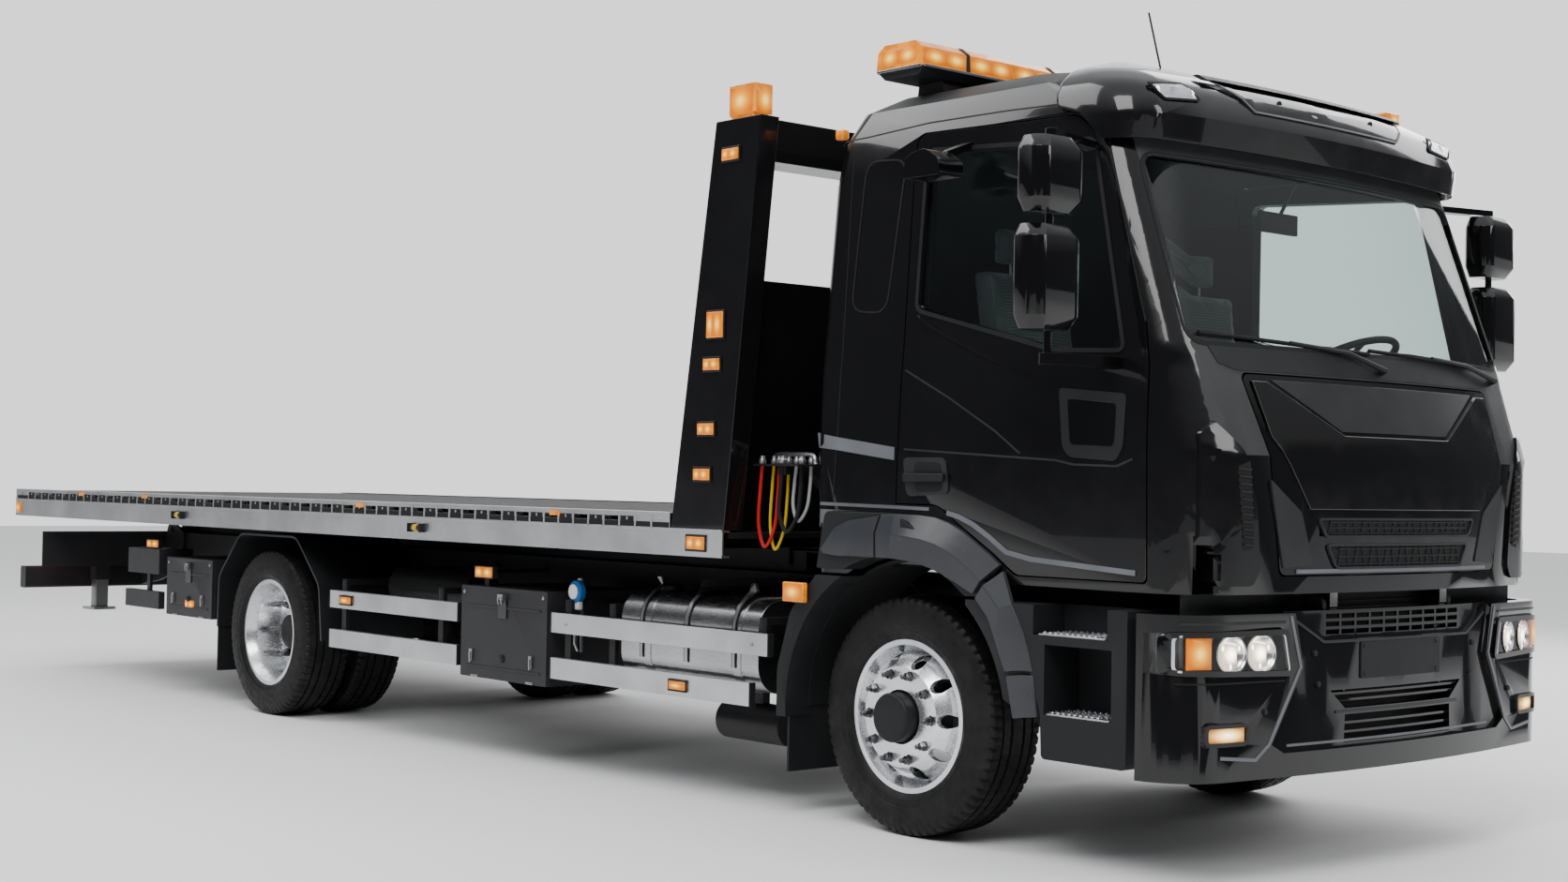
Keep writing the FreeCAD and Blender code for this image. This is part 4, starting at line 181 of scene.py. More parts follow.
def satin_plastic(name, color, rough=0.42, grain=900.0):
    """Moulded plastic with a fine grain and slightly worn patches."""
    material, tree, shader = new_material(name)
    space = object_space(tree)
    feed(tree, shader, "Base Color", noise(tree, space, 5.0, 6), shade(color, 0.88), shade(color, 1.14), 0.3,
         0.72)
    feed(tree, shader, "Roughness", noise(tree, space, 16.0, 3), rough - 0.02, rough + 0.04, 0.35, 0.7)
    shader.inputs["Specular IOR Level"].default_value = 0.22
    bump(tree, shader, noise(tree, space, grain, 2), 0.05, 0.0004)
    return material


def brushed_metal(name, color, rough=0.3, stretch=(2, 90, 90), metallic=1.0, depth=0.08):
    """Rolled or extruded metal, its brush lines running along one way."""
    material, tree, shader = new_material(name)
    lines = noise(tree, object_space(tree, stretch), 9.0, 6, 0.65)
    cloud = noise(tree, object_space(tree), 3.0, 4)
    feed(tree, shader, "Base Color", cloud, shade(color, 0.78), shade(color, 1.12), 0.3, 0.7)
    feed(tree, shader, "Roughness", lines, rough - 0.1, rough + 0.14, 0.3, 0.72)
    shader.inputs["Metallic"].default_value = metallic
    bump(tree, shader, lines, depth, 0.0005)
    return material


def tyre_rubber(name):
    """Black rubber with greyer, rougher patches."""
    material, tree, shader = new_material(name)
    space = object_space(tree)
    feed(tree, shader, "Base Color", noise(tree, space, 14.0, 8, 0.6), (0.004, 0.004, 0.004, 1),
         (0.015, 0.0145, 0.014, 1), 0.35, 0.8)
    feed(tree, shader, "Roughness", noise(tree, space, 40.0, 4), 0.42, 0.68, 0.3, 0.75)
    shader.inputs["Specular IOR Level"].default_value = 0.22
    bump(tree, shader, noise(tree, space, 330.0, 3), 0.18, 0.0008)
    return material


def deck_board(name):
    """Coated deck plates: dark, scuffed along the bed and with a fine anti-slip grit."""
    material, tree, shader = new_material(name)
    scuffs = noise(tree, object_space(tree, (0.5, 5, 1)), 3.0, 9, 0.7)
    grit = noise(tree, object_space(tree), 260.0, 3)
    feed(tree, shader, "Base Color", scuffs, (0.010, 0.010, 0.011, 1), (0.07, 0.064, 0.060, 1), 0.38, 0.78)
    shader.inputs["Specular IOR Level"].default_value = 0.12
    feed(tree, shader, "Roughness", grit, 0.4, 0.75, 0.3, 0.7)
    bump(tree, shader, grit, 0.4, 0.002)
    return material


def clear_glass(name, tint, rough=0.0):
    """A tinted pane that lets light through."""
    material, tree, shader = new_material(name)
    preset(shader, {"Base Color": tint, "Transmission Weight": 1.0, "IOR": 1.12, "Specular IOR Level": 0.9,
                    "Coat Weight": 0.6, "Coat Roughness": 0.01})
    space = object_space(tree)
    feed(tree, shader, "Roughness", noise(tree, space, 7.0, 4), rough, rough + 0.03, 0.45, 0.8)
    return material


def lamp_lens(name, color, glow, ribs=120.0):
    """A ribbed lens that glows evenly in its own colour."""
    material, tree, shader = new_material(name)
    preset(shader, {"Roughness": 0.16, "Coat Weight": 0.5})
    space = object_space(tree)
    ribbing = wire(tree, "ShaderNodeTexWave", Scale=ribs, Distortion=0.0)
    ribbing.bands_direction = "Z"
    tree.links.new(space, ribbing.inputs["Vector"])
    cloud = ramp(tree, noise(tree, space, 16.0, 2), shade(color, 0.55), shade(color, 1.0), 0.35, 0.65)
    tree.links.new(cloud, shader.inputs["Base Color"])
    tree.links.new(cloud, shader.inputs["Emission Color"])
    shader.inputs["Emission Strength"].default_value = glow
    bump(tree, shader, ribbing.outputs["Fac"], 0.2, 0.001)
    return material


def lit_lens(name, core, middle, rim, glow, spots=1.0):
    """A lit lens with its own UV layout: hot over each bulb, its own colour at the rim."""
    material, tree, shader = new_material(name)
    shader.inputs["Roughness"].default_value = 0.2
    place = tree.nodes.new("ShaderNodeUVMap")
    split = tree.nodes.new("ShaderNodeSeparateXYZ")
    tree.links.new(place.outputs["UV"], split.inputs[0])
    across = wire(tree, "ShaderNodeMath", operation="MULTIPLY")
    across.inputs[1].default_value = spots
    tree.links.new(split.outputs["X"], across.inputs[0])
    cell = wire(tree, "ShaderNodeMath", operation="FRACT")
    tree.links.new(across.outputs[0], cell.inputs[0])
    joined = tree.nodes.new("ShaderNodeCombineXYZ")
    tree.links.new(cell.outputs[0], joined.inputs["X"])
    tree.links.new(split.outputs["Y"], joined.inputs["Y"])
    reach = wire(tree, "ShaderNodeVectorMath", operation="DISTANCE")
    reach.inputs[1].default_value = (0.5, 0.5, 0.0)
    tree.links.new(joined.outputs[0], reach.inputs[0])
    node = tree.nodes.new("ShaderNodeValToRGB")
    stops = node.color_ramp.elements
    stops[0].position = 0.06
    stops[0].color = core + (1,)
    stops[1].position = 0.56
    stops[1].color = rim + (1,)
    between = stops.new(0.27)
    between.color = middle + (1,)
    tree.links.new(reach.outputs["Value"], node.inputs["Fac"])
    preset(shader, {"Base Color": shade(rim, 0.5), "Specular IOR Level": 0.25})
    tree.links.new(node.outputs["Color"], shader.inputs["Emission Color"])
    feed(tree, shader, "Emission Strength", reach.outputs["Value"], glow, glow * 0.3, 0.04, 0.5)
    cells = wire(tree, "ShaderNodeTexChecker", Scale=26.0)
    tree.links.new(place.outputs["UV"], cells.inputs["Vector"])
    bump(tree, shader, cells.outputs["Fac"], 0.25, 0.0015)
    return material


def seat_cloth(name, color):
    """Woven seat cloth."""
    material, tree, shader = new_material(name)
    space = object_space(tree)
    weave = wire(tree, "ShaderNodeTexWave", Scale=190.0, Distortion=1.2)
    tree.links.new(space, weave.inputs["Vector"])
    feed(tree, shader, "Base Color", weave.outputs["Fac"], shade(color, 0.6), shade(color, 1.5), 0.2, 0.8)
    preset(shader, {"Roughness": 0.85, "Sheen Weight": 0.25})
    bump(tree, shader, weave.outputs["Fac"], 0.3, 0.0008)
    return material


def make_finishes():
    """All finishes of the truck, by the plain names that the pieces use."""
    paint = bpy.context.scene.truck_paint
    lamps = bpy.context.scene.truck_lamps
    metal = tuple(paint.metal)
    return {"cab": gloss_paint("cab_gloss", tuple(paint.cab)),
            "headboard": gloss_paint("headboard_gloss", shade(paint.cab, 1.2)[:3], 0.4, 0.2),
            "grille": gloss_paint("grille_gloss", shade(paint.cab, 0.7)[:3], 0.5, 0.1),
            "trim": satin_plastic("satin_trim", tuple(paint.trim), 0.3),
            "flare": satin_plastic("arch_flare", (0.035, 0.037, 0.042), 0.24, 500.0),
            # The pale grey finish below serves light trim mouldings, and also the painted highlights along
            # the bumper's lip and corner edges.
            "pale_trim_and_painted_highlight": satin_plastic("satin_pale_trim_and_painted_highlight", shade(paint.trim, 5.5)[:3], 0.3),
            "plastic": satin_plastic("black_plastic", shade(paint.trim, 0.55)[:3], 0.5),
            "rubber": satin_plastic("rubber_seal", (0.008, 0.008, 0.008), 0.62, 500.0),
            "chassis": satin_plastic("chassis_coat", tuple(paint.chassis), 0.4, 300.0),
            "box": satin_plastic("toolbox_coat", shade(paint.chassis, 1.9)[:3], 0.36, 220.0),
            "aluminium": brushed_metal("aluminium_profile", metal, 0.34),
            "tread_plate": brushed_metal("step_tread_metal", shade(metal, 0.95)[:3], 0.3, (30, 30, 30)),
            "wheel": brushed_metal("polished_wheel", (0.76, 0.77, 0.79), 0.24, (30, 4, 30), 0.9, 0.015),
            "steel": brushed_metal("bare_steel", (0.4, 0.4, 0.41), 0.36, (40, 40, 40)),
            "chrome": brushed_metal("chrome_rod", (0.8, 0.81, 0.83), 0.14, (60, 60, 60)),
            "dark_chrome": brushed_metal("dark_chrome", (0.09, 0.09, 0.095), 0.2, (60, 60, 60)),
            "tank": brushed_metal("tank_metal", (0.4, 0.4, 0.41), 0.24, (2, 60, 60), 1.0, 0.01),
            "iron": satin_plastic("cast_iron", (0.02, 0.02, 0.021), 0.6, 160.0),
            "tyre": tyre_rubber("tyre_rubber"), "deck": deck_board("deck_plates"),
            "glass": clear_glass("cab_glass", (0.70, 0.80, 0.79, 1)),
            "lens": clear_glass("clear_lens", (0.95, 0.97, 1.0, 1)),
            "amber": lamp_lens("amber_lens", tuple(lamps.amber), lamps.glow * 0.16),
            "lit_amber": lit_lens("lit_amber_lens", (1.0, 0.80, 0.16), (1.0, 0.42, 0.001), (0.95, 0.22, 0.0),
                                  lamps.glow * 0.8),
            "lit_pair": lit_lens("lit_amber_pair", (1.0, 0.82, 0.18), (1.0, 0.44, 0.001), (0.95, 0.22, 0.0),
                                 lamps.glow * 0.8, 2.0),
            "red": lamp_lens("red_lens", tuple(lamps.red), lamps.glow * 0.3),
            "lit_red": lit_lens("lit_red_lens", (1.0, 0.12, 0.05), (0.9, 0.01, 0.006), (0.35, 0.004, 0.003),
                                lamps.glow * 2.0),
            "white": lit_lens("lit_reflector", (1.0, 0.95, 0.85), (1.0, 0.88, 0.68), (0.6, 0.5, 0.38),
                              lamps.glow * 4.0),
            "warm": lit_lens("lit_fog_lens", (1.0, 0.9, 0.62), (1.0, 0.62, 0.2), (0.5, 0.2, 0.03),
                             lamps.glow * 2.0),
            "dark_mirror": brushed_metal("mirror_glass", (0.55, 0.57, 0.6), 0.08, (1, 1, 1)),
            "interior": satin_plastic("interior_moulding", (0.035, 0.037, 0.038), 0.55, 400.0),
            "cloth": seat_cloth("seat_cloth", (0.05, 0.055, 0.058)),
            "red_sleeve": satin_plastic("red_cable", (0.45, 0.01, 0.012), 0.35, 300.0),
            "yellow_sleeve": satin_plastic("yellow_cable", (0.55, 0.36, 0.01), 0.35, 300.0),
            "grey_sleeve": satin_plastic("grey_cable", (0.3, 0.31, 0.32), 0.4, 300.0),
            "cream": satin_plastic("white_fitting", (0.62, 0.62, 0.6), 0.35, 300.0),
            "blue": satin_plastic("blue_fitting", (0.01, 0.09, 0.28), 0.3, 300.0), }


FINISH = {}


# Shapes
def side_name(side):
    return "left" if side > 0 else "right"


def span(side, near, far, start=0.0):
    """The low and high Y of something between two distances from a start towards a side."""
    return sorted((start + side * near, start + side * far))


def on_side(side, points):
    """Points of a front view, drawn for the left, on a side of the truck."""
    return [(side * a, b) for a, b in points]


def new_object(name, mesh):
    obj = bpy.data.objects.new(name, mesh)
    bpy.context.scene.collection.objects.link(obj)
    return obj


class Shape:
    """Corners and faces of one piece while it is being put together."""

    def __init__(self):
        self.verts = []
        self.faces = []

    def add(self, verts, faces):
        base = len(self.verts)
        self.verts.extend(Vector(v) for v in verts)
        self.faces.extend([base + i for i in face] for face in faces)
        return self

    def prism(self, outline, axis, low, high):
        """An outline in the two axes other than axis, in X, Y, Z order, carried from low to high."""
        count = len(outline)
        verts = []
        for level in (low, high):
            for a, b in outline:
                verts.append({"X": (level, a, b), "Y": (a, level, b), "Z": (a, b, level)}[axis])
        faces = [list(range(count)), list(range(count, 2 * count))]
        faces += [[i, (i + 1) % count, count + (i + 1) % count, count + i] for i in range(count)]
        return self.add(verts, faces)

    def block(self, x, y, z):
        return self.prism([(x[0], y[0]), (x[1], y[0]), (x[1], y[1]), (x[0], y[1])], "Z", *z)

    def tube(self, points, radius, sides=10, closed=False):
        """A round bar along a path; radius is one number or one for each point."""
        points = [Vector(p) for p in points]
        count = len(points)
        radii = radius if hasattr(radius, "__len__") else [radius] * count
        normal = None
        verts = []
        for i, point in enumerate(points):
            before = points[i - 1] if i or closed else point
            after = points[(i + 1) % count] if i < count - 1 or closed else point
            way = (after - before).normalized()
            if normal is None:
                normal = way.orthogonal().normalized()
            normal = (normal - way * normal.dot(way)).normalized()
            other = way.cross(normal)
            for k in range(sides):
                angle = 2 * math.pi * k / sides
                verts.append(point + (normal * math.cos(angle) + other * math.sin(angle)) * radii[i])
        faces = []
        for i in range(count if closed else count - 1):
            a, b = i * sides, ((i + 1) % count) * sides
            faces += [[a + k, a + (k + 1) % sides, b + (k + 1) % sides, b + k] for k in range(sides)]
        if not closed:
            faces += [list(range(sides)), list(range((count - 1) * sides, count * sides))]
        return self.add(verts, faces)

    def lathe(self, profile, centre, axis, steps=32):
        """A profile of (distance along axis, radius) turned round a line through centre."""
        axis = Vector(axis).normalized()
        first = axis.orthogonal().normalized()
        second = axis.cross(first)
        centre = Vector(centre)
        verts = []
        for k in range(steps):
            angle = 2 * math.pi * k / steps
            out = first * math.cos(angle) + second * math.sin(angle)
            verts += [centre + axis * a + out * r for a, r in profile]
        size = len(profile)
        faces = []
        for k in range(steps):
            a, b = k * size, ((k + 1) % steps) * size
            faces += [[a + i, b + i, b + i + 1, a + i + 1] for i in range(size - 1)]
        faces += [[k * size for k in range(steps)], [k * size + size - 1 for k in range(steps)]]
        return self.add(verts, faces)

    def piece(self, name, finish, body, sharp=35, bevel=0.0):
        mesh = bpy.data.meshes.new(name)
        mesh.from_pydata([tuple(v) for v in self.verts], [], self.faces)
        return settle(new_object(name, mesh), finish, body, sharp, bevel)


def settle(obj, finish, body, sharp=35, bevel=0.0, normals=True):
    """Merges a piece's doubles, turns its faces outwards, smooths it and lets it ride on its body."""
    bm = bmesh.new()
    bm.from_mesh(obj.data)
    bmesh.ops.remove_doubles(bm, verts=bm.verts, dist=1e-5)
    if normals:
        bmesh.ops.recalc_face_normals(bm, faces=bm.faces)
    bm.to_mesh(obj.data)
    bm.free()
    if finish:
        obj.data.materials.clear()
        obj.data.materials.append(FINISH[finish])
    obj.data.shade_smooth()
    obj.data.set_sharp_from_angle(angle=math.radians(sharp))
    if bevel:
        round_edges(obj, bevel)
    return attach(obj, body)


def round_edges(obj, width):
    modifier = obj.modifiers.new("Rounded edges", "BEVEL")
    modifier.width = width
    modifier.segments = 2
    modifier.limit_method = "ANGLE"
    modifier.angle_limit = math.radians(32)
    modifier.harden_normals = True


def dress(node, finish, bevel=0.002, sharp=32, flat=0.7):
    """A finer copy of a CAD node stands for it: joined faces, soft edges and its finish."""
    obj = new_object(node + "_skin", NODES[node].data.copy())
    bm = bmesh.new()
    bm.from_mesh(obj.data)
    bmesh.ops.remove_doubles(bm, verts=bm.verts, dist=2e-5)
    bmesh.ops.dissolve_limit(bm, angle_limit=math.radians(flat), verts=bm.verts, edges=bm.edges)
    bm.to_mesh(obj.data)
    bm.free()
    settle(obj, finish, BODY_OF[node], sharp, bevel, normals=False)
    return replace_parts(obj, node)


def second_finish(obj, finish, chosen, every=False):
    """Gives the faces whose middle, or whose every corner, passes a test another finish."""
    obj.data.materials.append(FINISH[finish])
    index = len(obj.data.materials) - 1
    for face in obj.data.polygons:
        places = [obj.data.vertices[i].co for i in face.vertices] if every else [face.center]
        if all(chosen(p) for p in places):
            face.material_index = index


def rounded(outline, radius, steps=4):
    """The corners of a flat outline rounded by a radius."""
    points = []
    count = len(outline)
    for i, corner in enumerate(outline):
        corner = Vector(corner)
        before = Vector(outline[i - 1]) - corner
        after = Vector(outline[(i + 1) % count]) - corner
        reach = min(radius, before.length * 0.45, after.length * 0.45)
        start = corner + before.normalized() * reach
        end = corner + after.normalized() * reach
        for k in range(steps + 1):
            t = k / steps
            points.append(tuple(start * (1 - t) ** 2 + corner * 2 * t * (1 - t) + end * t ** 2))
    return points


def centroid(outline):
    return sum((Vector(p) for p in outline), Vector((0, 0))) / len(outline)


def grown(outline, amount):
    """A flat outline with its points moved away from the middle by an amount."""
    middle = centroid(outline)
    return [tuple(Vector(p) + (Vector(p) - middle).normalized() * amount) for p in outline]


def shrunk(outline, share):
    """A flat outline drawn smaller about its middle."""
    middle = centroid(outline)
    return [tuple(middle + (Vector(p) - middle) * share) for p in outline]


# Pieces that follow the skin of the cab or bumper
class Skin:
    """Finds the outer face of some CAD nodes from the front or from a side."""

    def __init__(self, *nodes):
        verts = []
        faces = []
        for node in nodes:
            mesh = NODES[node].data
            base = len(verts)
            verts += [v.co.copy() for v in mesh.vertices]
            faces += [[base + i for i in face.vertices] for face in mesh.polygons]
        self.tree = BVHTree.FromPolygons(verts, faces)
        low = [min(v[i] for v in verts) for i in range(3)]
        high = [max(v[i] for v in verts) for i in range(3)]
        self.middle = [(a + b) / 2 for a, b in zip(low, high)]

    def _cast(self, way, a, b):
        start = Vector((9.0, a, b)) if way == 0 else Vector((a, 3.0 * way, b))
        hit = self.tree.ray_cast(start, Vector((-1, 0, 0)) if way == 0 else Vector((0, -way, 0)))[0]
        if hit is None:
            return None
        return hit.x if way == 0 else hit.y * way

    def place(self, way, a, b, lift):
        """The point on the skin seen along a way (0 front, -1 right side, 1 left side), lifted off it."""
        aim = Vector((self.middle[1] if way == 0 else self.middle[0], self.middle[2])) - Vector((a, b))
        aim.normalize()
        for step in range(24):
            near_a, near_b = a + aim.x * 0.006 * step, b + aim.y * 0.006 * step
            own = self._cast(way, near_a, near_b)
            around = [self._cast(way, near_a + da, near_b + db) for da in (-0.014, 0, 0.014)
                      for db in (-0.014, 0, 0.014)]
            around = sorted(value for value in around if value is not None)
            if around:
                break
        else:
            raise RuntimeError(f"no skin at {way} {a:.3f} {b:.3f}")
        middle = around[len(around) // 2]
        best = own if own is not None and own > around[-1] - 0.012 else max(middle, around[-1] - 0.004)
        best += lift
        return Vector((best, a, b)) if way == 0 else Vector((a, best * way, b))


def patch(name, skin, way, outline, finish, body, lift=0.0, thick=0.003, cell=0.05, bevel=0.0, sharp=30):
    """A thin panel with the given outline that lies on the skin."""
    bm = bmesh.new()
    corners = [bm.verts.new((a, b, 0)) for a, b in outline]
    bm.faces.new(corners)
    bmesh.ops.triangulate(bm, faces=bm.faces[:])
    for axis in (0, 1):
        values = [c[axis] for c in outline]
        line = math.floor(min(values) / cell) * cell + cell
        while line < max(values):
            point = [0, 0, 0]
            normal = [0, 0, 0]
            point[axis] = line
            normal[axis] = 1
            bmesh.ops.bisect_plane(bm, geom=bm.verts[:] + bm.edges[:] + bm.faces[:], dist=1e-6,
                                   plane_co=point, plane_no=normal)
            line += cell
    bmesh.ops.remove_doubles(bm, verts=bm.verts, dist=1e-5)
    spots = {vert: (vert.co.x, vert.co.y) for vert in bm.verts}
    top = bmesh.ops.duplicate(bm, geom=bm.verts[:] + bm.edges[:] + bm.faces[:])
    pairs = top["vert_map"]
    for vert, (a, b) in spots.items():
        vert.co = skin.place(way, a, b, lift - 0.002)
        out = Vector((1, 0, 0)) if way == 0 else Vector((0, way, 0))
        pairs[vert].co = vert.co + out * (thick + 0.002)
    rim = [edge for edge in bm.edges if edge.is_boundary and all(vert in spots for vert in edge.verts)]
    for edge in rim:
        a, b = edge.verts
        bm.faces.new((a, b, pairs[b], pairs[a]))
    mesh = bpy.data.meshes.new(name)
    bm.to_mesh(mesh)
    bm.free()
    return settle(new_object(name, mesh), finish, body, sharp, bevel)


def ribbon(points, width, closed=False):
    """The outline of a strip of a width along a flat path."""
    points = [Vector(p) for p in points]
    count = len(points)
    left = []
    right = []
    for i, point in enumerate(points):
        before = points[i - 1] if i or closed else point
        after = points[(i + 1) % count] if i < count - 1 or closed else point
        way = (after - before).normalized()
        side = Vector((-way.y, way.x)) * width / 2
        left.append(point + side)
        right.append(point - side)
    return left, right


def strip(name, skin, way, points, width, finish, body, lift=0.0, thick=0.002, closed=False, step=0.03):
    """A narrow moulding along a path on the skin."""
    dense = []
    count = len(points)
    for i in range(count if closed else count - 1):
        a, b = Vector(points[i]), Vector(points[(i + 1) % count])
        parts = max(1, int((b - a).length / step))
        dense += [a.lerp(b, k / parts) for k in range(parts)]
    if not closed:
        dense.append(Vector(points[-1]))
    left, right = ribbon(dense, width, closed)
    out = Vector((1, 0, 0)) if way == 0 else Vector((0, way, 0))
    rings = []
    for a, b in zip(left, right):
        low = [skin.place(way, p.x, p.y, lift - 0.002) for p in (a, b)]
        rings.append([low[0], low[1], low[1] + out * (thick + 0.002), low[0] + out * (thick + 0.002)])
    verts = [v for ring in rings for v in ring]
    faces = []
    size = len(rings)
    for i in range(size if closed else size - 1):
        p, q = i * 4, ((i + 1) % size) * 4
        faces += [[p + k, p + (k + 1) % 4, q + (k + 1) % 4, q + k] for k in range(4)]
    if not closed:
        faces += [[0, 1, 2, 3], [size * 4 - 4, size * 4 - 3, size * 4 - 2, size * 4 - 1]]
    return Shape().add(verts, faces).piece(name, finish, body)


def smooth(points, steps=8):
    """A path through the points as a dense, even curve."""
    points = [Vector(p) for p in points]
    ends = [points[0] * 2 - points[1]] + points + [points[-1] * 2 - points[-2]]
    dense = []
    for i in range(1, len(ends) - 2):
        a, b, c, d = ends[i - 1:i + 3]
        for k in range(steps):
            t = k / steps
            dense.append(0.5 * (2 * b + (c - a) * t + (2 * a - 5 * b + 4 * c - d) * t ** 2
                                + (3 * b - a - 3 * c + d) * t ** 3))
    return dense + [points[-1]]


def cord(name, points, diameter, finish, body):
    """A free cable that leaves the object at its first point and goes back in at its last one."""
    path = smooth(points)
    obj = Shape().tube(path, diameter / 2, 12).piece(name, finish, body)


def puffed(name, shape, finish, body, voxel=0.008, pressure=4.0, frames=20, reach=0.012):
    """A padded form: remeshed, blown up a little as cloth, then smoothed."""
    mesh = bpy.data.meshes.new(name)
    mesh.from_pydata([tuple(v) for v in shape.verts], [], shape.faces)
    obj = new_object(name, mesh)
    scene = bpy.context.scene
    remesh = obj.modifiers.new("Remesh", "REMESH")
    remesh.mode = "VOXEL"
    remesh.voxel_size = voxel * 1
    take_result(obj)
    rest = [v.co.copy() for v in obj.data.vertices]
    cloth = obj.modifiers.new("Cloth", "CLOTH")
    cloth.settings.quality = 4
    cloth.settings.mass = 0.3
    cloth.settings.use_pressure = True
    cloth.settings.uniform_pressure_force = pressure
    cloth.settings.effector_weights.gravity = 0.0
    cloth.collision_settings.use_collision = False
    cloth.point_cache.frame_start = 1
    cloth.point_cache.frame_end = frames
    for frame_number in range(1, frames + 1):
        scene.frame_set(frame_number)
    take_result(obj)
    scene.frame_set(1)
    for vert, start in zip(obj.data.vertices, rest):
        move = vert.co - start
        if move.length > reach:
            vert.co = start + move.normalized() * reach
    subdivided = obj.modifiers.new("Smooth", "SUBSURF")
    subdivided.levels = 1
    subdivided.render_levels = 1
    obj.data.materials.clear()
    obj.data.materials.append(FINISH[finish])
    obj.data.shade_smooth()
    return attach(obj, body)


def take_result(obj):
    """Makes the result of an object's modifiers its own mesh."""
    bpy.context.view_layer.update()
    evaluated = obj.evaluated_get(bpy.context.evaluated_depsgraph_get())
    result = bpy.data.meshes.new_from_object(evaluated)
    obj.modifiers.clear()
    obj.data = result


# Lit lenses
def lit_faces(name, finish, body, lamps):
    """Domed lens faces with their own UV layout; each is (middle, half across, half up, dome)."""
    steps = 8
    verts = []
    faces = []
    layout = {}
    for lamp in lamps:
        middle, across, up, dome = (Vector(v) for v in lamp)
        base = len(verts)
        for j in range(steps + 1):
            for i in range(steps + 1):
                u, v = 2 * i / steps - 1, 2 * j / steps - 1
                layout[len(verts)] = ((u + 1) / 2, (v + 1) / 2)
                verts.append(middle + across * u + up * v + dome * (1 - abs(u) ** 5) * (1 - abs(v) ** 5))
        row = steps + 1
        faces += [[base + j * row + i, base + j * row + i + 1, base + (j + 1) * row + i + 1,
                   base + (j + 1) * row + i] for j in range(steps) for i in range(steps)]
        rim = [base + i for i in range(row)] + [base + j * row + steps for j in range(1, row)]
        rim += [base + steps * row + i for i in range(steps - 1, -1, -1)]
        rim += [base + j * row for j in range(steps - 1, 0, -1)]
        back = len(verts)
        for index in rim:
            layout[len(verts)] = (0.0, 0.0)
            verts.append(verts[index] - dome * 0.8)
        count = len(rim)
        faces += [[rim[k], rim[(k + 1) % count], back + (k + 1) % count, back + k] for k in range(count)]
        faces.append([back + k for k in range(count)])
    mesh = bpy.data.meshes.new(name)
    mesh.from_pydata([tuple(v) for v in verts], [], faces)
    uv = mesh.uv_layers.new(name="UVMap")
    for loop in mesh.loops:
        uv.data[loop.index].uv = layout[loop.vertex_index]
    return settle(new_object(name, mesh), finish, body, 50)


def loose_boxes(node):
    """The box of each loose part of a CAD node."""
    mesh = NODES[node].data
    bm = bmesh.new()
    bm.from_mesh(mesh)
    bmesh.ops.remove_doubles(bm, verts=bm.verts, dist=2e-5)
    left = set(bm.verts)
    boxes = []
    while left:
        group = [left.pop()]
        low = group[0].co.copy()
        high = low.copy()
        while group:
            vert = group.pop()
            low = Vector(map(min, low, vert.co))
            high = Vector(map(max, high, vert.co))
            for edge in vert.link_edges:
                other = edge.other_vert(vert)
                if other in left:
                    left.remove(other)
                    group.append(other)
        boxes.append((low, high))
    bm.free()
    return sorted(boxes, key=lambda box: tuple(round(v, 4) for v in box[0]))


def side_face(side, x, y, z, across, up, dome):
    """A lit face that looks out to a side, from its middle and half its length and height."""
    return (x, y, z), (across, 0, 0), (0, 0, up), (0, side * dome, 0)


def side_lens(low, high, margin=0.004, dome=0.005):
    """A lit face for a lamp's box that looks out to the side of the truck."""
    side = 1 if low.y + high.y > 0 else -1
    face = high.y if side > 0 else low.y
    return side_face(side, (low.x + high.x) / 2, face, (low.z + high.z) / 2, (high.x - low.x) / 2 - margin,
                     (high.z - low.z) / 2 - margin, dome)


def end_lens(low, high, way, margin=0.006, dome=0.005):
    """A lit face that looks forward or back."""
    face = high.x if way > 0 else low.x
    middle = (face, (low.y + high.y) / 2, (low.z + high.z) / 2)
    return middle, (0, (high.y - low.y) / 2 - margin, 0), (0, 0, (high.z - low.z) / 2 - margin), (way * dome,
                                                                                                  0, 0)


def side_frame(shape, x0, x1, y, z0, z1, radius):
    """Adds a closed bar round a rectangle that looks out to a side."""
    shape.tube([(x0, y, z0), (x1, y, z0), (x1, y, z1), (x0, y, z1)], radius, 8, True)


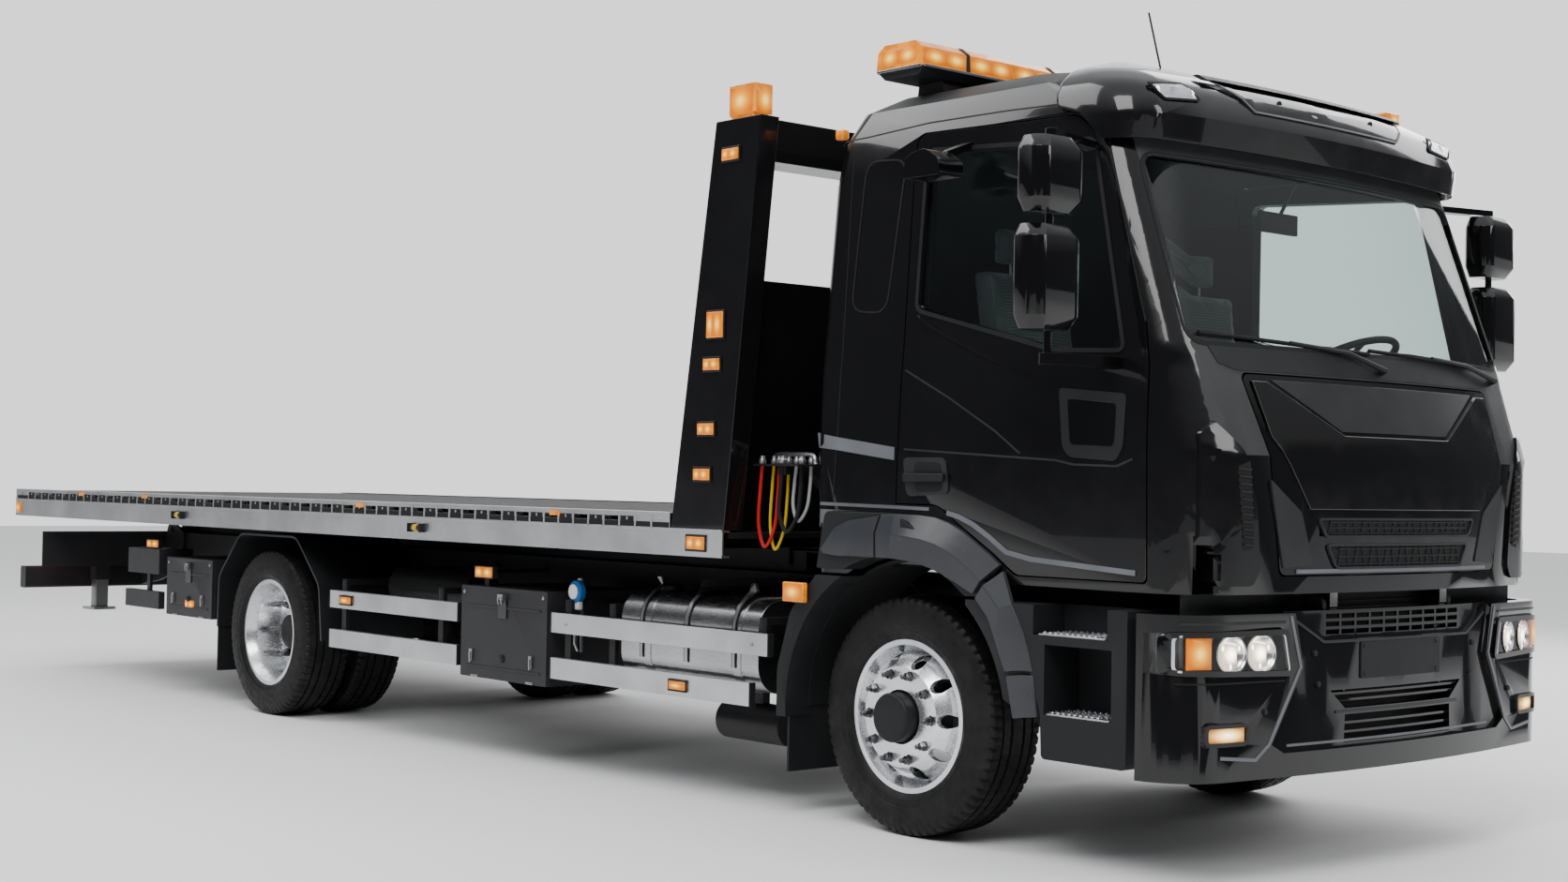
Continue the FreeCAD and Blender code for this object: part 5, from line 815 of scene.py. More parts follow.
# Geometry Nodes that repeat one item
def repeat_tree(name, ring):
    """A tree that repeats the item it is put on, along a line or round a circle."""
    tree = bpy.data.node_groups.new(name, "GeometryNodeTree")
    face = tree.interface
    face.new_socket("Geometry", in_out="OUTPUT", socket_type="NodeSocketGeometry")
    face.new_socket("Item", in_out="INPUT", socket_type="NodeSocketGeometry")
    face.new_socket("Count", in_out="INPUT", socket_type="NodeSocketInt")
    face.new_socket("Spacing", in_out="INPUT", socket_type="NodeSocketVector")
    face.new_socket("Finish", in_out="INPUT", socket_type="NodeSocketMaterial")
    nodes = tree.nodes
    links = tree.links
    source = nodes.new("NodeGroupInput")
    result = nodes.new("NodeGroupOutput")
    spread = nodes.new("GeometryNodeInstanceOnPoints")
    line = nodes.new("GeometryNodeMeshLine")
    if ring:
        turn = nodes.new("ShaderNodeVectorMath")
        turn.operation = "SCALE"
        index = nodes.new("GeometryNodeInputIndex")
        links.new(source.outputs["Spacing"], turn.inputs[0])
        links.new(index.outputs[0], turn.inputs["Scale"])
        rotation = nodes.new("FunctionNodeEulerToRotation")
        links.new(turn.outputs[0], rotation.inputs[0])
        links.new(rotation.outputs[0], spread.inputs["Rotation"])
        line.inputs["Offset"].default_value = (0, 0, 0)
    else:
        links.new(source.outputs["Spacing"], line.inputs["Offset"])
    links.new(source.outputs["Count"], line.inputs["Count"])
    links.new(line.outputs["Mesh"], spread.inputs["Points"])
    links.new(source.outputs["Item"], spread.inputs["Instance"])
    real = nodes.new("GeometryNodeRealizeInstances")
    paint = nodes.new("GeometryNodeSetMaterial")
    links.new(spread.outputs["Instances"], real.inputs["Geometry"])
    links.new(real.outputs["Geometry"], paint.inputs["Geometry"])
    links.new(source.outputs["Finish"], paint.inputs["Material"])
    links.new(paint.outputs["Geometry"], result.inputs["Geometry"])
    return tree


TREES = {}


def repeated(name, shape, finish, body, count, spacing, ring=False, centre=(0, 0, 0), sharp=30):
    """One mesh of an item repeated along a line, or turned round centre by a rotation step."""
    key = "Ring of items" if ring else "Row of items"
    if key not in TREES:
        TREES[key] = repeat_tree(key, ring)
    centre = Vector(centre)
    mesh = bpy.data.meshes.new(name + "_item")
    mesh.from_pydata([tuple(v - centre) for v in shape.verts], [], shape.faces)
    obj = new_object(name, mesh)
    modifier = obj.modifiers.new(key, "NODES")
    modifier.node_group = TREES[key]
    for socket in TREES[key].interface.items_tree:
        if socket.name == "Count":
            modifier[socket.identifier] = count
        elif socket.name == "Spacing":
            modifier[socket.identifier] = [float(v) for v in spacing]
        elif socket.name == "Finish":
            modifier[socket.identifier] = FINISH[finish]
    take_result(obj)
    obj.data.transform(Matrix.Translation(centre))
    return settle(obj, None, body, sharp)


# Wheels
def tyre_profile(groove):
    """Half of the outer section from the middle of the tread to the bead: (offset, radius, share of slot)."""
    return [(0.000, 0.0, 0), (0.026, 0.0, 0), (0.028, groove, 0), (0.038, groove, 0), (0.040, 0.0, 0),
            (0.072, 0.001, 0), (0.074, groove, 0), (0.083, groove, 0), (0.085, 0.0015, 0), (0.108, 0.003, 1),
            (0.122, 0.006, 1), (0.132, 0.016, 1), (0.137, 0.032, 0.8), (0.140, 0.050, 0.3),
            (0.1425, 0.062, 0), (0.1445, 0.085, 0), (0.1460, 0.110, 0), (0.1445, 0.112, 0),
            (0.1440, 0.135, 0), (0.1455, 0.137, 0), (0.137, 0.157, 0), (0.128, 0.166, 0), (0.119, 0.172, 0),
            (0.117, 0.1775, 0)]


def tread_tyre(shape, x, y, radius, axle_z, half_width):
    """One tyre with ribs, shoulder slots and sidewall bands."""
    settings = bpy.context.scene.truck_tyres
    groove = settings.groove
    half = tyre_profile(groove)
    scale = half_width / 0.146
    section = [(-a * scale, d, s) for a, d, s in reversed(half)] + [(a * scale, d, s) for a, d, s in half[1:]]
    inner = [(0.095 * scale, 0.170, 0), (-0.095 * scale, 0.170, 0)]
    section += inner
    steps = settings.pitches * 4
    verts = []
    for k in range(steps):
        angle = 2 * math.pi * k / steps
        slot = k % 4 == 0
        for a, depth, share in section:
            r = radius - depth - (groove * 0.7 * share if slot else 0)
            if slot and share == 0 and 0 < abs(a) < 0.08 * scale and depth < 0.002:
                r -= 0.0025
            verts.append((x + r * math.cos(angle), y + a, axle_z + r * math.sin(angle)))
    size = len(section)
    faces = []
    for k in range(steps):
        p, q = k * size, ((k + 1) % steps) * size
        faces += [[p + i, p + (i + 1) % size, q + (i + 1) % size, q + i] for i in range(size)]
    shape.add(verts, faces)


class TRUCK_OT_wheels(Operator):
    """Tyres with tread, polished wheels and their nuts"""
    bl_idname = "truck.wheels"
    bl_label = "Wheels"

    def execute(self, context):
        for place, count in (("front_left", 1), ("front_right", 1), ("rear_left", 2), ("rear_right", 2)):
            tyre_node = ("tyre_" if count == 1 else "tyres_") + place
            rim_node = "wheel_" + place
            body = BODY_OF[rim_node]
            low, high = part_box(tyre_node)
            centre = (low + high) / 2
            radius = (high.z - low.z) / 2
            width = high.y - low.y if count == 1 else TWIN_TYRE_WIDTH
            shape = Shape()
            apart = (high.y - low.y - width) / 2
            offsets = [0] if count == 1 else [-apart, apart]
            for offset in offsets:
                tread_tyre(shape, centre.x, centre.y + offset, radius, centre.z, width / 2)
            tyre = shape.piece(tyre_node + "_tread", "tyre", body, 28)
            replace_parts(tyre, tyre_node)
            rim = dress(rim_node, "wheel", 0.0015, 30, 0.3)
            side = 1 if centre.y > 0 else -1
            face = centre.y + side * HUB_FACE["single" if count == 1 else "twin"]
            second_finish(rim, "plastic", lambda p: math.hypot(p.x - centre.x, p.z - centre.z) < 0.125, True)
            seat = (centre.x + STUD_CIRCLE, face - side * 0.001, centre.z)
            nut = Shape().lathe([(0.0, 0.021), (0.004, 0.021), (0.006, 0.0165), (0.024, 0.0165),
                                 (0.030, 0.011)], seat, (0, side, 0), 6)
            nut.lathe([(0.020, 0.010), (0.046, 0.010), (0.048, 0.008)], seat, (0, side, 0), 10)
            repeated(rim_node + "_nuts", nut, "dark_chrome", body, NUT_COUNT, (0, 2 * math.pi / NUT_COUNT, 0),
                     True, (centre.x, face, centre.z))
            valve = Shape().tube([(centre.x + 0.10, face - side * 0.02, centre.z + 0.23),
                                  (centre.x + 0.09, face + side * 0.02, centre.z + 0.215)], 0.005, 8)
            valve.piece(rim_node + "_valve", "chrome", body)
        return {"FINISHED"}


# Chassis
class TRUCK_OT_chassis(Operator):
    """Frame, axles, tanks, boxes, guards and rear end"""
    bl_idname = "truck.chassis"
    bl_label = "Chassis"

    def execute(self, context):
        for node in ("chassis_frame", "tilt_frame", "slide_barrel", "tilt_barrels", "front_axle", "rear_axle",
                     "cab_mounts", "winch_frame", "knuckle_left", "knuckle_right", "air_tanks"):
            dress(node, "chassis", 0.0015)
        for node in ("slide_rod", "tilt_rods"):
            dress(node, "chrome", 0.001)
        for node in ("stabiliser_leg_left", "stabiliser_leg_right"):
            dress(node, "steel", 0.0015)
        dress("driveline", "iron", 0.006)
        dress("rear_bumper", "box", 0.002)
        dress("winch_drum", "steel", 0.002)
        self.tanks()
        self.boxes()
        self.guards()
        self.rear_lamps()
        self.steps()
        self.cables()
        return {"FINISHED"}

    def steps(self):
        """Tread plates with raised cleats on the entry steps."""
        mesh = NODES["front_mudguards"].data
        tree = BVHTree.FromPolygons([v.co for v in mesh.vertices], [list(p.vertices) for p in mesh.polygons])
        for side in SIDES:
            word = side_name(side)
            for place, x0, x1, z in (("upper", 4.25, 4.57, 0.86), ("lower", 4.265, 4.59, 0.58)):
                hit = tree.ray_cast(Vector(((x0 + x1) / 2, side * 1.12, z)), Vector((0, 0, -1)))[0]
                if hit is None:
                    raise RuntimeError("no step under the tread")
                near, far = 1.015, 1.192
                plate = Shape().prism(rounded([(x0, side * near), (x1, side * near), (x1, side * far),
                                               (x0, side * far)], 0.02), "Z", hit.z - 0.002, hit.z + 0.006)
                plate.piece(f"step_plate_{place}_{word}", "tread_plate", "chassis", bevel=0.0015)
                cleat = Shape()
                for row in range(5):
                    y = side * (near + 0.02 + row * 0.034)
                    shift = 0.011 if row % 2 else 0.0
                    ring = [(x0 + 0.028 + shift + 0.0085 * math.cos(a * math.pi / 5),
                             y + 0.0085 * math.sin(a * math.pi / 5)) for a in range(10)]
                    cleat.prism(ring, "Z", hit.z + 0.005, hit.z + 0.0105)
                    inner = [(p[0] * 0.5 + (x0 + 0.028 + shift) * 0.5, p[1] * 0.5 + y * 0.5) for p in ring]
                    cleat.prism(inner, "Z", hit.z + 0.010, hit.z + 0.0125)
                repeated(f"step_cleats_{place}_{word}", cleat, "chrome", "chassis",
                         int((x1 - x0 - 0.05) / 0.026), (0.026, 0, 0))

    def cables(self):
        """Trailer cables and air lines that hang in loops from the stand behind the cab."""
        low_z = 1.425
        for name, finish, size, x, y, width, depth in (
                ("red", "red_sleeve", 0.015, 2.672, -1.128, 0.075, 0.335),
                ("yellow", "yellow_sleeve", 0.013, 2.712, -1.098, 0.060, 0.345),
                ("black", "rubber", 0.018, 2.79, -1.118, 0.085, 0.270),
                ("grey", "grey_sleeve", 0.014, 2.838, -1.085, 0.058, 0.225)):
            start = (x, y, low_z)
            end = (x + width, y + 0.028, low_z)
            middle = x + width / 2
            bottom = low_z - depth
            points = [start, (x - 0.006, y - 0.004, low_z - depth * 0.3),
                      (x - 0.008, y - 0.008, low_z - depth * 0.72), (middle - 0.012, y - 0.002, bottom),
                      (x + width * 0.92, y + 0.012, low_z - depth * 0.76),
                      (x + width + 0.002, y + 0.022, low_z - depth * 0.34), end]
            cord(f"trailer_cable_{name}", points, size, finish, "chassis")
            glands = Shape()
            for spot in (start, end):
                glands.lathe([(-0.004, size * 0.9), (0.0, size), (0.018, size), (0.026, size * 0.7),
                              (0.034, size * 0.7)], (spot[0], spot[1], low_z + 0.008), (0, 0, 1), 16)
            glands.piece(f"cable_glands_{name}", "steel", "chassis", bevel=0.001)
        arch = smooth([(2.668, -1.06, 1.433), (2.668, -1.06, 1.452), (2.69, -1.06, 1.472),
                       (2.80, -1.06, 1.474), (2.905, -1.06, 1.47), (2.925, -1.06, 1.433)], 6)
        Shape().tube(arch, 0.010, 10).piece("cable_rail", "steel", "chassis")

    def tanks(self):
        """Bright tanks in their dark frame, with the filler cap and the straps."""
        tanks = dress("side_tanks", "tank", 0.003)
        second_finish(tanks, "chassis", lambda p: abs(p.y) < 0.558)
        low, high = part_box("side_tanks")
        cap = Shape().lathe([(0, 0.046), (0.006, 0.05), (0.022, 0.05), (0.028, 0.044), (0.032, 0.02)],
                            (low.x + 0.16, low.y + 0.16, high.z - 0.006), (0, 0, 1), 28)
        cap.piece("fuel_cap", "plastic", "chassis", bevel=0.001)
        skin = Skin("side_tanks")
        for number, x in enumerate((1.93, 2.24, 2.56)):
            strip(f"tank_strap_{number}", skin, -1, [(x, 0.58), (x, 0.93)], 0.035, "rubber", "chassis",
                  thick=0.004)
            strip(f"tank_strap_metal_{number}", skin, -1, [(x, 0.58), (x, 0.93)], 0.022, "steel", "chassis",
                  lift=0.004, thick=0.002)

    def boxes(self):
        """Tool boxes and the fittings of their lids."""
        dress("tool_boxes", "box", 0.002)
        for node in ("main_box_lid_left", "main_box_lid_right", "rear_box_lid_left", "rear_box_lid_right"):
            lid = dress(node, "box", 0.002)
            body = BODY_OF[node]
            low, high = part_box(node)
            side = 1 if low.y > 0 else -1
            face = GUARD_FACE * side
            rib = Shape()
            for z in (low.z + 0.05, high.z - 0.1):
                rib.block((low.x + 0.05, high.x - 0.05), span(side, -0.001, 0.004, face),
                          (z, z + 0.012))
            rib.piece(node + "_rib", "box", body, bevel=0.002)
            middle = (low.x + high.x) / 2
            latch = Shape().block((middle - 0.022, middle + 0.022), span(side, 0.0135, 0.02, face),
                                  (high.z - 0.056, high.z - 0.029))
            latch.tube([(middle - 0.014, face + side * 0.02, high.z - 0.075),
                        (middle - 0.014, face + side * 0.024, high.z - 0.045),
                        (middle + 0.014, face + side * 0.024, high.z - 0.045),
                        (middle + 0.014, face + side * 0.02, high.z - 0.075)], 0.003, 8)
            latch.piece(node + "_catch", "steel", body, bevel=0.001)
            plate = Shape().prism(rounded([(middle - 0.036, high.z - 0.03), (middle + 0.036, high.z - 0.03),
                                           (middle + 0.036, high.z - 0.145),
                                           (middle - 0.036, high.z - 0.145)], 0.01), "Y",
                                  *span(side, -0.001, 0.007, face))
            plate.piece(node + "_latch_plate", "grille", body, bevel=0.002)
            small = Shape()
            for x in (low.x + 0.03, high.x - 0.03):
                small.lathe([(0, 0.010), (0.004, 0.010), (0.006, 0.006)], (x, face, high.z - 0.03),
                            (0, side, 0), 12)
            for x in (low.x + 0.10, high.x - 0.12):
                small.block((x - 0.012, x + 0.012), span(side, 0, 0.010, face),
                            (low.z + 0.075, low.z + 0.135))
                small.tube([(x, face + side * 0.012, low.z + 0.07), (x, face + side * 0.014, low.z + 0.12)],
                           0.004, 8)
            small.piece(node + "_toggles", "steel", body, bevel=0.001)
            cover = Shape().lathe([(0, 0.019), (0.006, 0.019), (0.009, 0.012)], (middle, face, low.z + 0.105),
                                  (0, side, 0), 20)
            cover.piece(node + "_key_cover", "plastic", body, bevel=0.001)
            if "rear" in node:
                lit_faces("lit_" + node, "lit_pair", body,
                          [side_face(side, -2.46, face + side * 0.001, 0.568, 0.06, 0.022, 0.008)])
            hinge = Shape()
            for x in (low.x + 0.1, high.x - 0.16):
                hinge.tube([(x, face, low.z + 0.006), (x + 0.06, face, low.z + 0.006)], 0.006, 10)
            hinge.piece(node + "_hinges", "steel", body)

    def guards(self):
        """Side guards with end caps and bolts, and the lamps on the boxes behind them."""
        guards = dress("side_guards", "aluminium", 0.002)
        second_finish(guards, "chassis", lambda p: abs(p.y) < 1.176)
        for side in SIDES:
            word = side_name(side)
            caps = Shape()
            for x0, x1, z0, z1 in ((1.277, 2.81, 0.645, 0.738), (1.277, 2.70, 0.432, 0.530),
                                   (-0.781, 0.484, 0.645, 0.738), (-0.781, 0.484, 0.432, 0.530)):
                for x in (x0, x1):
                    caps.block((x - 0.004, x + 0.004), span(side, 1.17, 1.202), (z0 - 0.001, z1 + 0.001))
            caps.piece(f"guard_caps_{word}", "plastic", "chassis", bevel=0.002)
            bolt = Shape().lathe([(0, 0.009), (0.004, 0.009), (0.006, 0.006)],
                                 (1.40, side * GUARD_FACE, 0.69), (0, side, 0), 8)
            repeated(f"guard_bolts_{word}", bolt, "steel", "chassis", 2, (1.31, 0, 0))
            lights = []
            housing = Shape()
            for x0, x1, z0, z1, foot in ((0.61, 0.76, 0.872, 0.922, 0.80),
                                         (-3.10, -2.94, 0.888, 0.932, 0.84)):
                housing.block((x0 - 0.006, x1 + 0.006), span(side, 1.155, 1.186), (z0 - 0.006, z1 + 0.006))
                housing.block(((x0 + x1) / 2 - 0.02, (x0 + x1) / 2 + 0.02), span(side, 1.158, 1.166),
                              (foot, z0))
                lights.append(side_face(side, (x0 + x1) / 2, side * 1.186, (z0 + z1) / 2, (x1 - x0) / 2,
                                        (z1 - z0) / 2, 0.006))
            housing.piece(f"box_lamp_frames_{word}", "plastic", "chassis", bevel=0.002)
            lit_faces(f"lit_box_lamps_{word}", "lit_pair", "chassis", lights)
        self.fitting()
        rear = dress("rear_mudguards", "plastic", 0.003)
        second_finish(rear, "trim", lambda p: abs(p.y) > 1.19)

    def fitting(self):
        """The round blue and white coupling behind the guard on the right."""
        hook = Shape().block((1.382, 1.412), (-1.128, -1.112), (0.56, 0.90))
        hook.tube([(1.397, -1.135, 0.70), (1.397, -1.15, 0.64), (1.397, -1.15, 0.60), (1.41, -1.14, 0.565)],
                  0.008, 8)
        hook.piece("coupling_bracket", "steel", "chassis", bevel=0.002)
        ball = Shape().lathe([(0.0, 0.050), (0.012, 0.053), (0.028, 0.050), (0.036, 0.036)],
                             (1.397, -1.126, 0.838), (0, -1, 0), 32)
        ball.piece("coupling_ring", "blue", "chassis", bevel=0.001)
        face = Shape().lathe([(0.0, 0.034), (0.004, 0.034), (0.007, 0.026)], (1.397, -1.161, 0.838),
                             (0, -1, 0), 32)
        face.piece("coupling_face", "cream", "chassis")
        neck = Shape().block((1.372, 1.422), (-1.15, -1.126), (0.755, 0.80))
        neck.piece("coupling_neck", "cream", "chassis", bevel=0.004)

    def rear_lamps(self):
        lamps = dress("chassis_lamps", "red", 0.003)
        second_finish(lamps, "amber", lambda p: p.x > -4 or abs(p.y) > 1.13)
        boxes = loose_boxes("chassis_lamps")
        markers = [box for box in boxes if box[0].x > -4]
        tails = [box for box in boxes if box[0].x <= -4]
        lit_faces("lit_markers", "lit_amber", "chassis", [side_lens(*box) for box in markers])
        lit_faces("lit_tails", "lit_red", "chassis", [end_lens(*box, -1) for box in tails])
        lit_faces("lit_tail_sides", "lit_red", "chassis", [side_lens(*box) for box in tails])
        for side in SIDES:
            frame_ring = Shape()
            for x, z in ((2.23, 0.48), (-0.60, 0.69)):
                side_frame(frame_ring, x - 0.06, x + 0.06, side * 1.206, z - 0.022, z + 0.022, 0.005)
            frame_ring.piece(f"marker_frames_{side_name(side)}", "plastic", "chassis")


# Bed
class TRUCK_OT_bed(Operator):
    """Deck plates, side profiles, headboard and their lamps"""
    bl_idname = "truck.bed"
    bl_label = "Bed"

    def execute(self, context):
        deck = dress("bed_deck", "chassis", 0.0015)
        second_finish(deck, "deck", lambda p: p.z > 1.144)
        dress("bed_sides", "aluminium", 0.002)
        dress("headboard", "headboard", 0.004)
        dress("bed_lamps", "amber", 0.004)
        boxes = loose_boxes("bed_lamps")
        beacons = [box for box in boxes if box[1].z > 2.8]
        lit_faces("lit_bed_lamps", "lit_pair", "bed", [side_lens(*box) for box in boxes if box[1].z <= 2.8])
        lit_faces("lit_beacons", "lit_amber", "bed", [side_lens(*box, 0.012) for box in beacons]
                  + [end_lens(*box, way, 0.012) for box in beacons for way in (-1, 1)])
        low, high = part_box("bed_sides")
        plate = Shape().block((-4.945, -3.831), (-1.212, 1.212), (BOARD_LOW, BOARD_TOP))
        repeated("deck_boards", plate, "deck", "bed", 6, (1.124, 0, 0))
        runner = Shape()
        for y in (-1.19, -0.6, 0.0, 0.6, 1.19):
            runner.block((-4.94, 1.78), (y - 0.02, y + 0.02), (1.149, 1.207))
        runner.block((-4.95, -4.946), (-1.212, 1.212), (1.149, BOARD_TOP))
        runner.block((1.793, 1.797), (-1.212, 1.212), (1.149, BOARD_TOP))
        runner.piece("deck_runners", "chassis", "bed", bevel=0.001)
        for side in SIDES:
            word = side_name(side)
            rivet = Shape().lathe([(0, 0.007), (0.002, 0.007), (0.004, 0.004)],
                                  (low.x + 0.045, side * 1.275, 1.19), (0, side, 0), 8)
            repeated(f"rail_rivets_{word}", rivet, "steel", "bed", 32, (2 * RAIL_POST_PITCH, 0, 0))
            row = Shape().block((low.x + 0.03, 2.24), span(side, RAIL_FACE, 1.2762), (1.1545, 1.1792))
            row.piece(f"rail_row_{word}", "rubber", "bed")
            between = Shape().block((-4.77, -4.68), span(side, RAIL_FACE, 1.2762), (1.1792, 1.2005))
            repeated(f"rail_fill_{word}", between, "rubber", "bed", 30, (2 * RAIL_POST_PITCH, 0, 0))
            post = Shape().block((-4.785, -4.773), span(side, RAIL_FACE, 1.2785), (1.152, 1.2035))
            repeated(f"rail_posts_{word}", post, "aluminium", "bed", 61, (RAIL_POST_PITCH, 0, 0))
            corner = Shape().block((-4.985, -4.90), span(side, RAIL_FACE, 1.282), (1.062, 1.132))
            corner.piece(f"corner_lamp_{word}", "amber", "bed", bevel=0.003)
            lit_faces(f"lit_corner_lamp_{word}", "lit_amber", "bed",
                      [side_face(side, -4.9425, side * 1.282, 1.097, 0.038, 0.031, 0.003)])
            edge = Shape().block((low.x, 2.24), span(side, 1.222, 1.2765), (1.2195, 1.2225))
            edge.piece(f"rail_cap_{word}", "aluminium", "bed", bevel=0.001)
            lip = Shape().block((low.x, high.x), span(side, 1.2748, 1.2785), (1.146, 1.156))
            lip.block((low.x, high.x), span(side, 1.2748, 1.2785), (1.040, 1.048))
            lip.piece(f"band_lips_{word}", "aluminium", "bed", bevel=0.001)
            self.lamp_frames(side, word)
            self.rollers(side, word)
        return {"FINISHED"}

    def lamp_frames(self, side, word):
        """Dark frames round the lamps on a headboard post and on the band."""
        rings = Shape()
        for z, tall in ((2.715, 0.024), (2.010, 0.054), (1.845, 0.024), (1.575, 0.024), (1.385, 0.024)):
            x = 2.596 + 0.193 * (z - 1.154) / 1.708 - 0.165
            side_frame(rings, x - 0.055, x + 0.055, side * 1.274, z - tall - 0.004, z + tall + 0.004, 0.006)
        side_frame(rings, 2.362, 2.49, side * 1.277, 1.066, 1.128, 0.006)
        rings.piece(f"lamp_frames_{word}", "plastic", "bed")

    def rollers(self, side, word):
        """Strap rollers and amber reflectors on the side band."""
        rollers = Shape()
        bands = Shape()
        for x in (-2.457, 0.224):
            rollers.tube([(x - 0.05, side * 1.285, 1.10), (x + 0.05, side * 1.285, 1.10)], 0.016, 14)
            rollers.block((x - 0.06, x - 0.05), span(side, 1.27, 1.305), (1.078, 1.122))
            rollers.block((x + 0.05, x + 0.06), span(side, 1.27, 1.305), (1.078, 1.122))
            bands.tube([(x - 0.02, side * 1.285, 1.10), (x + 0.02, side * 1.285, 1.10)], 0.0175, 14)
        rollers.piece(f"strap_rollers_{word}", "plastic", "bed")
        bands.piece(f"strap_roller_bands_{word}", "yellow_sleeve", "bed")
        # The reflectors take the glowing amber lamp finish, so they glow though they are no lamps: a painted
        # glow.
        reflectors = Shape()
        for x in (-3.9, -2.95, -0.35, 1.4):
            reflectors.block((x - 0.04, x + 0.04), span(side, RAIL_FACE, 1.279), (1.19, 1.212))
        reflectors.piece(f"rail_reflectors_{word}", "amber", "bed", bevel=0.001)


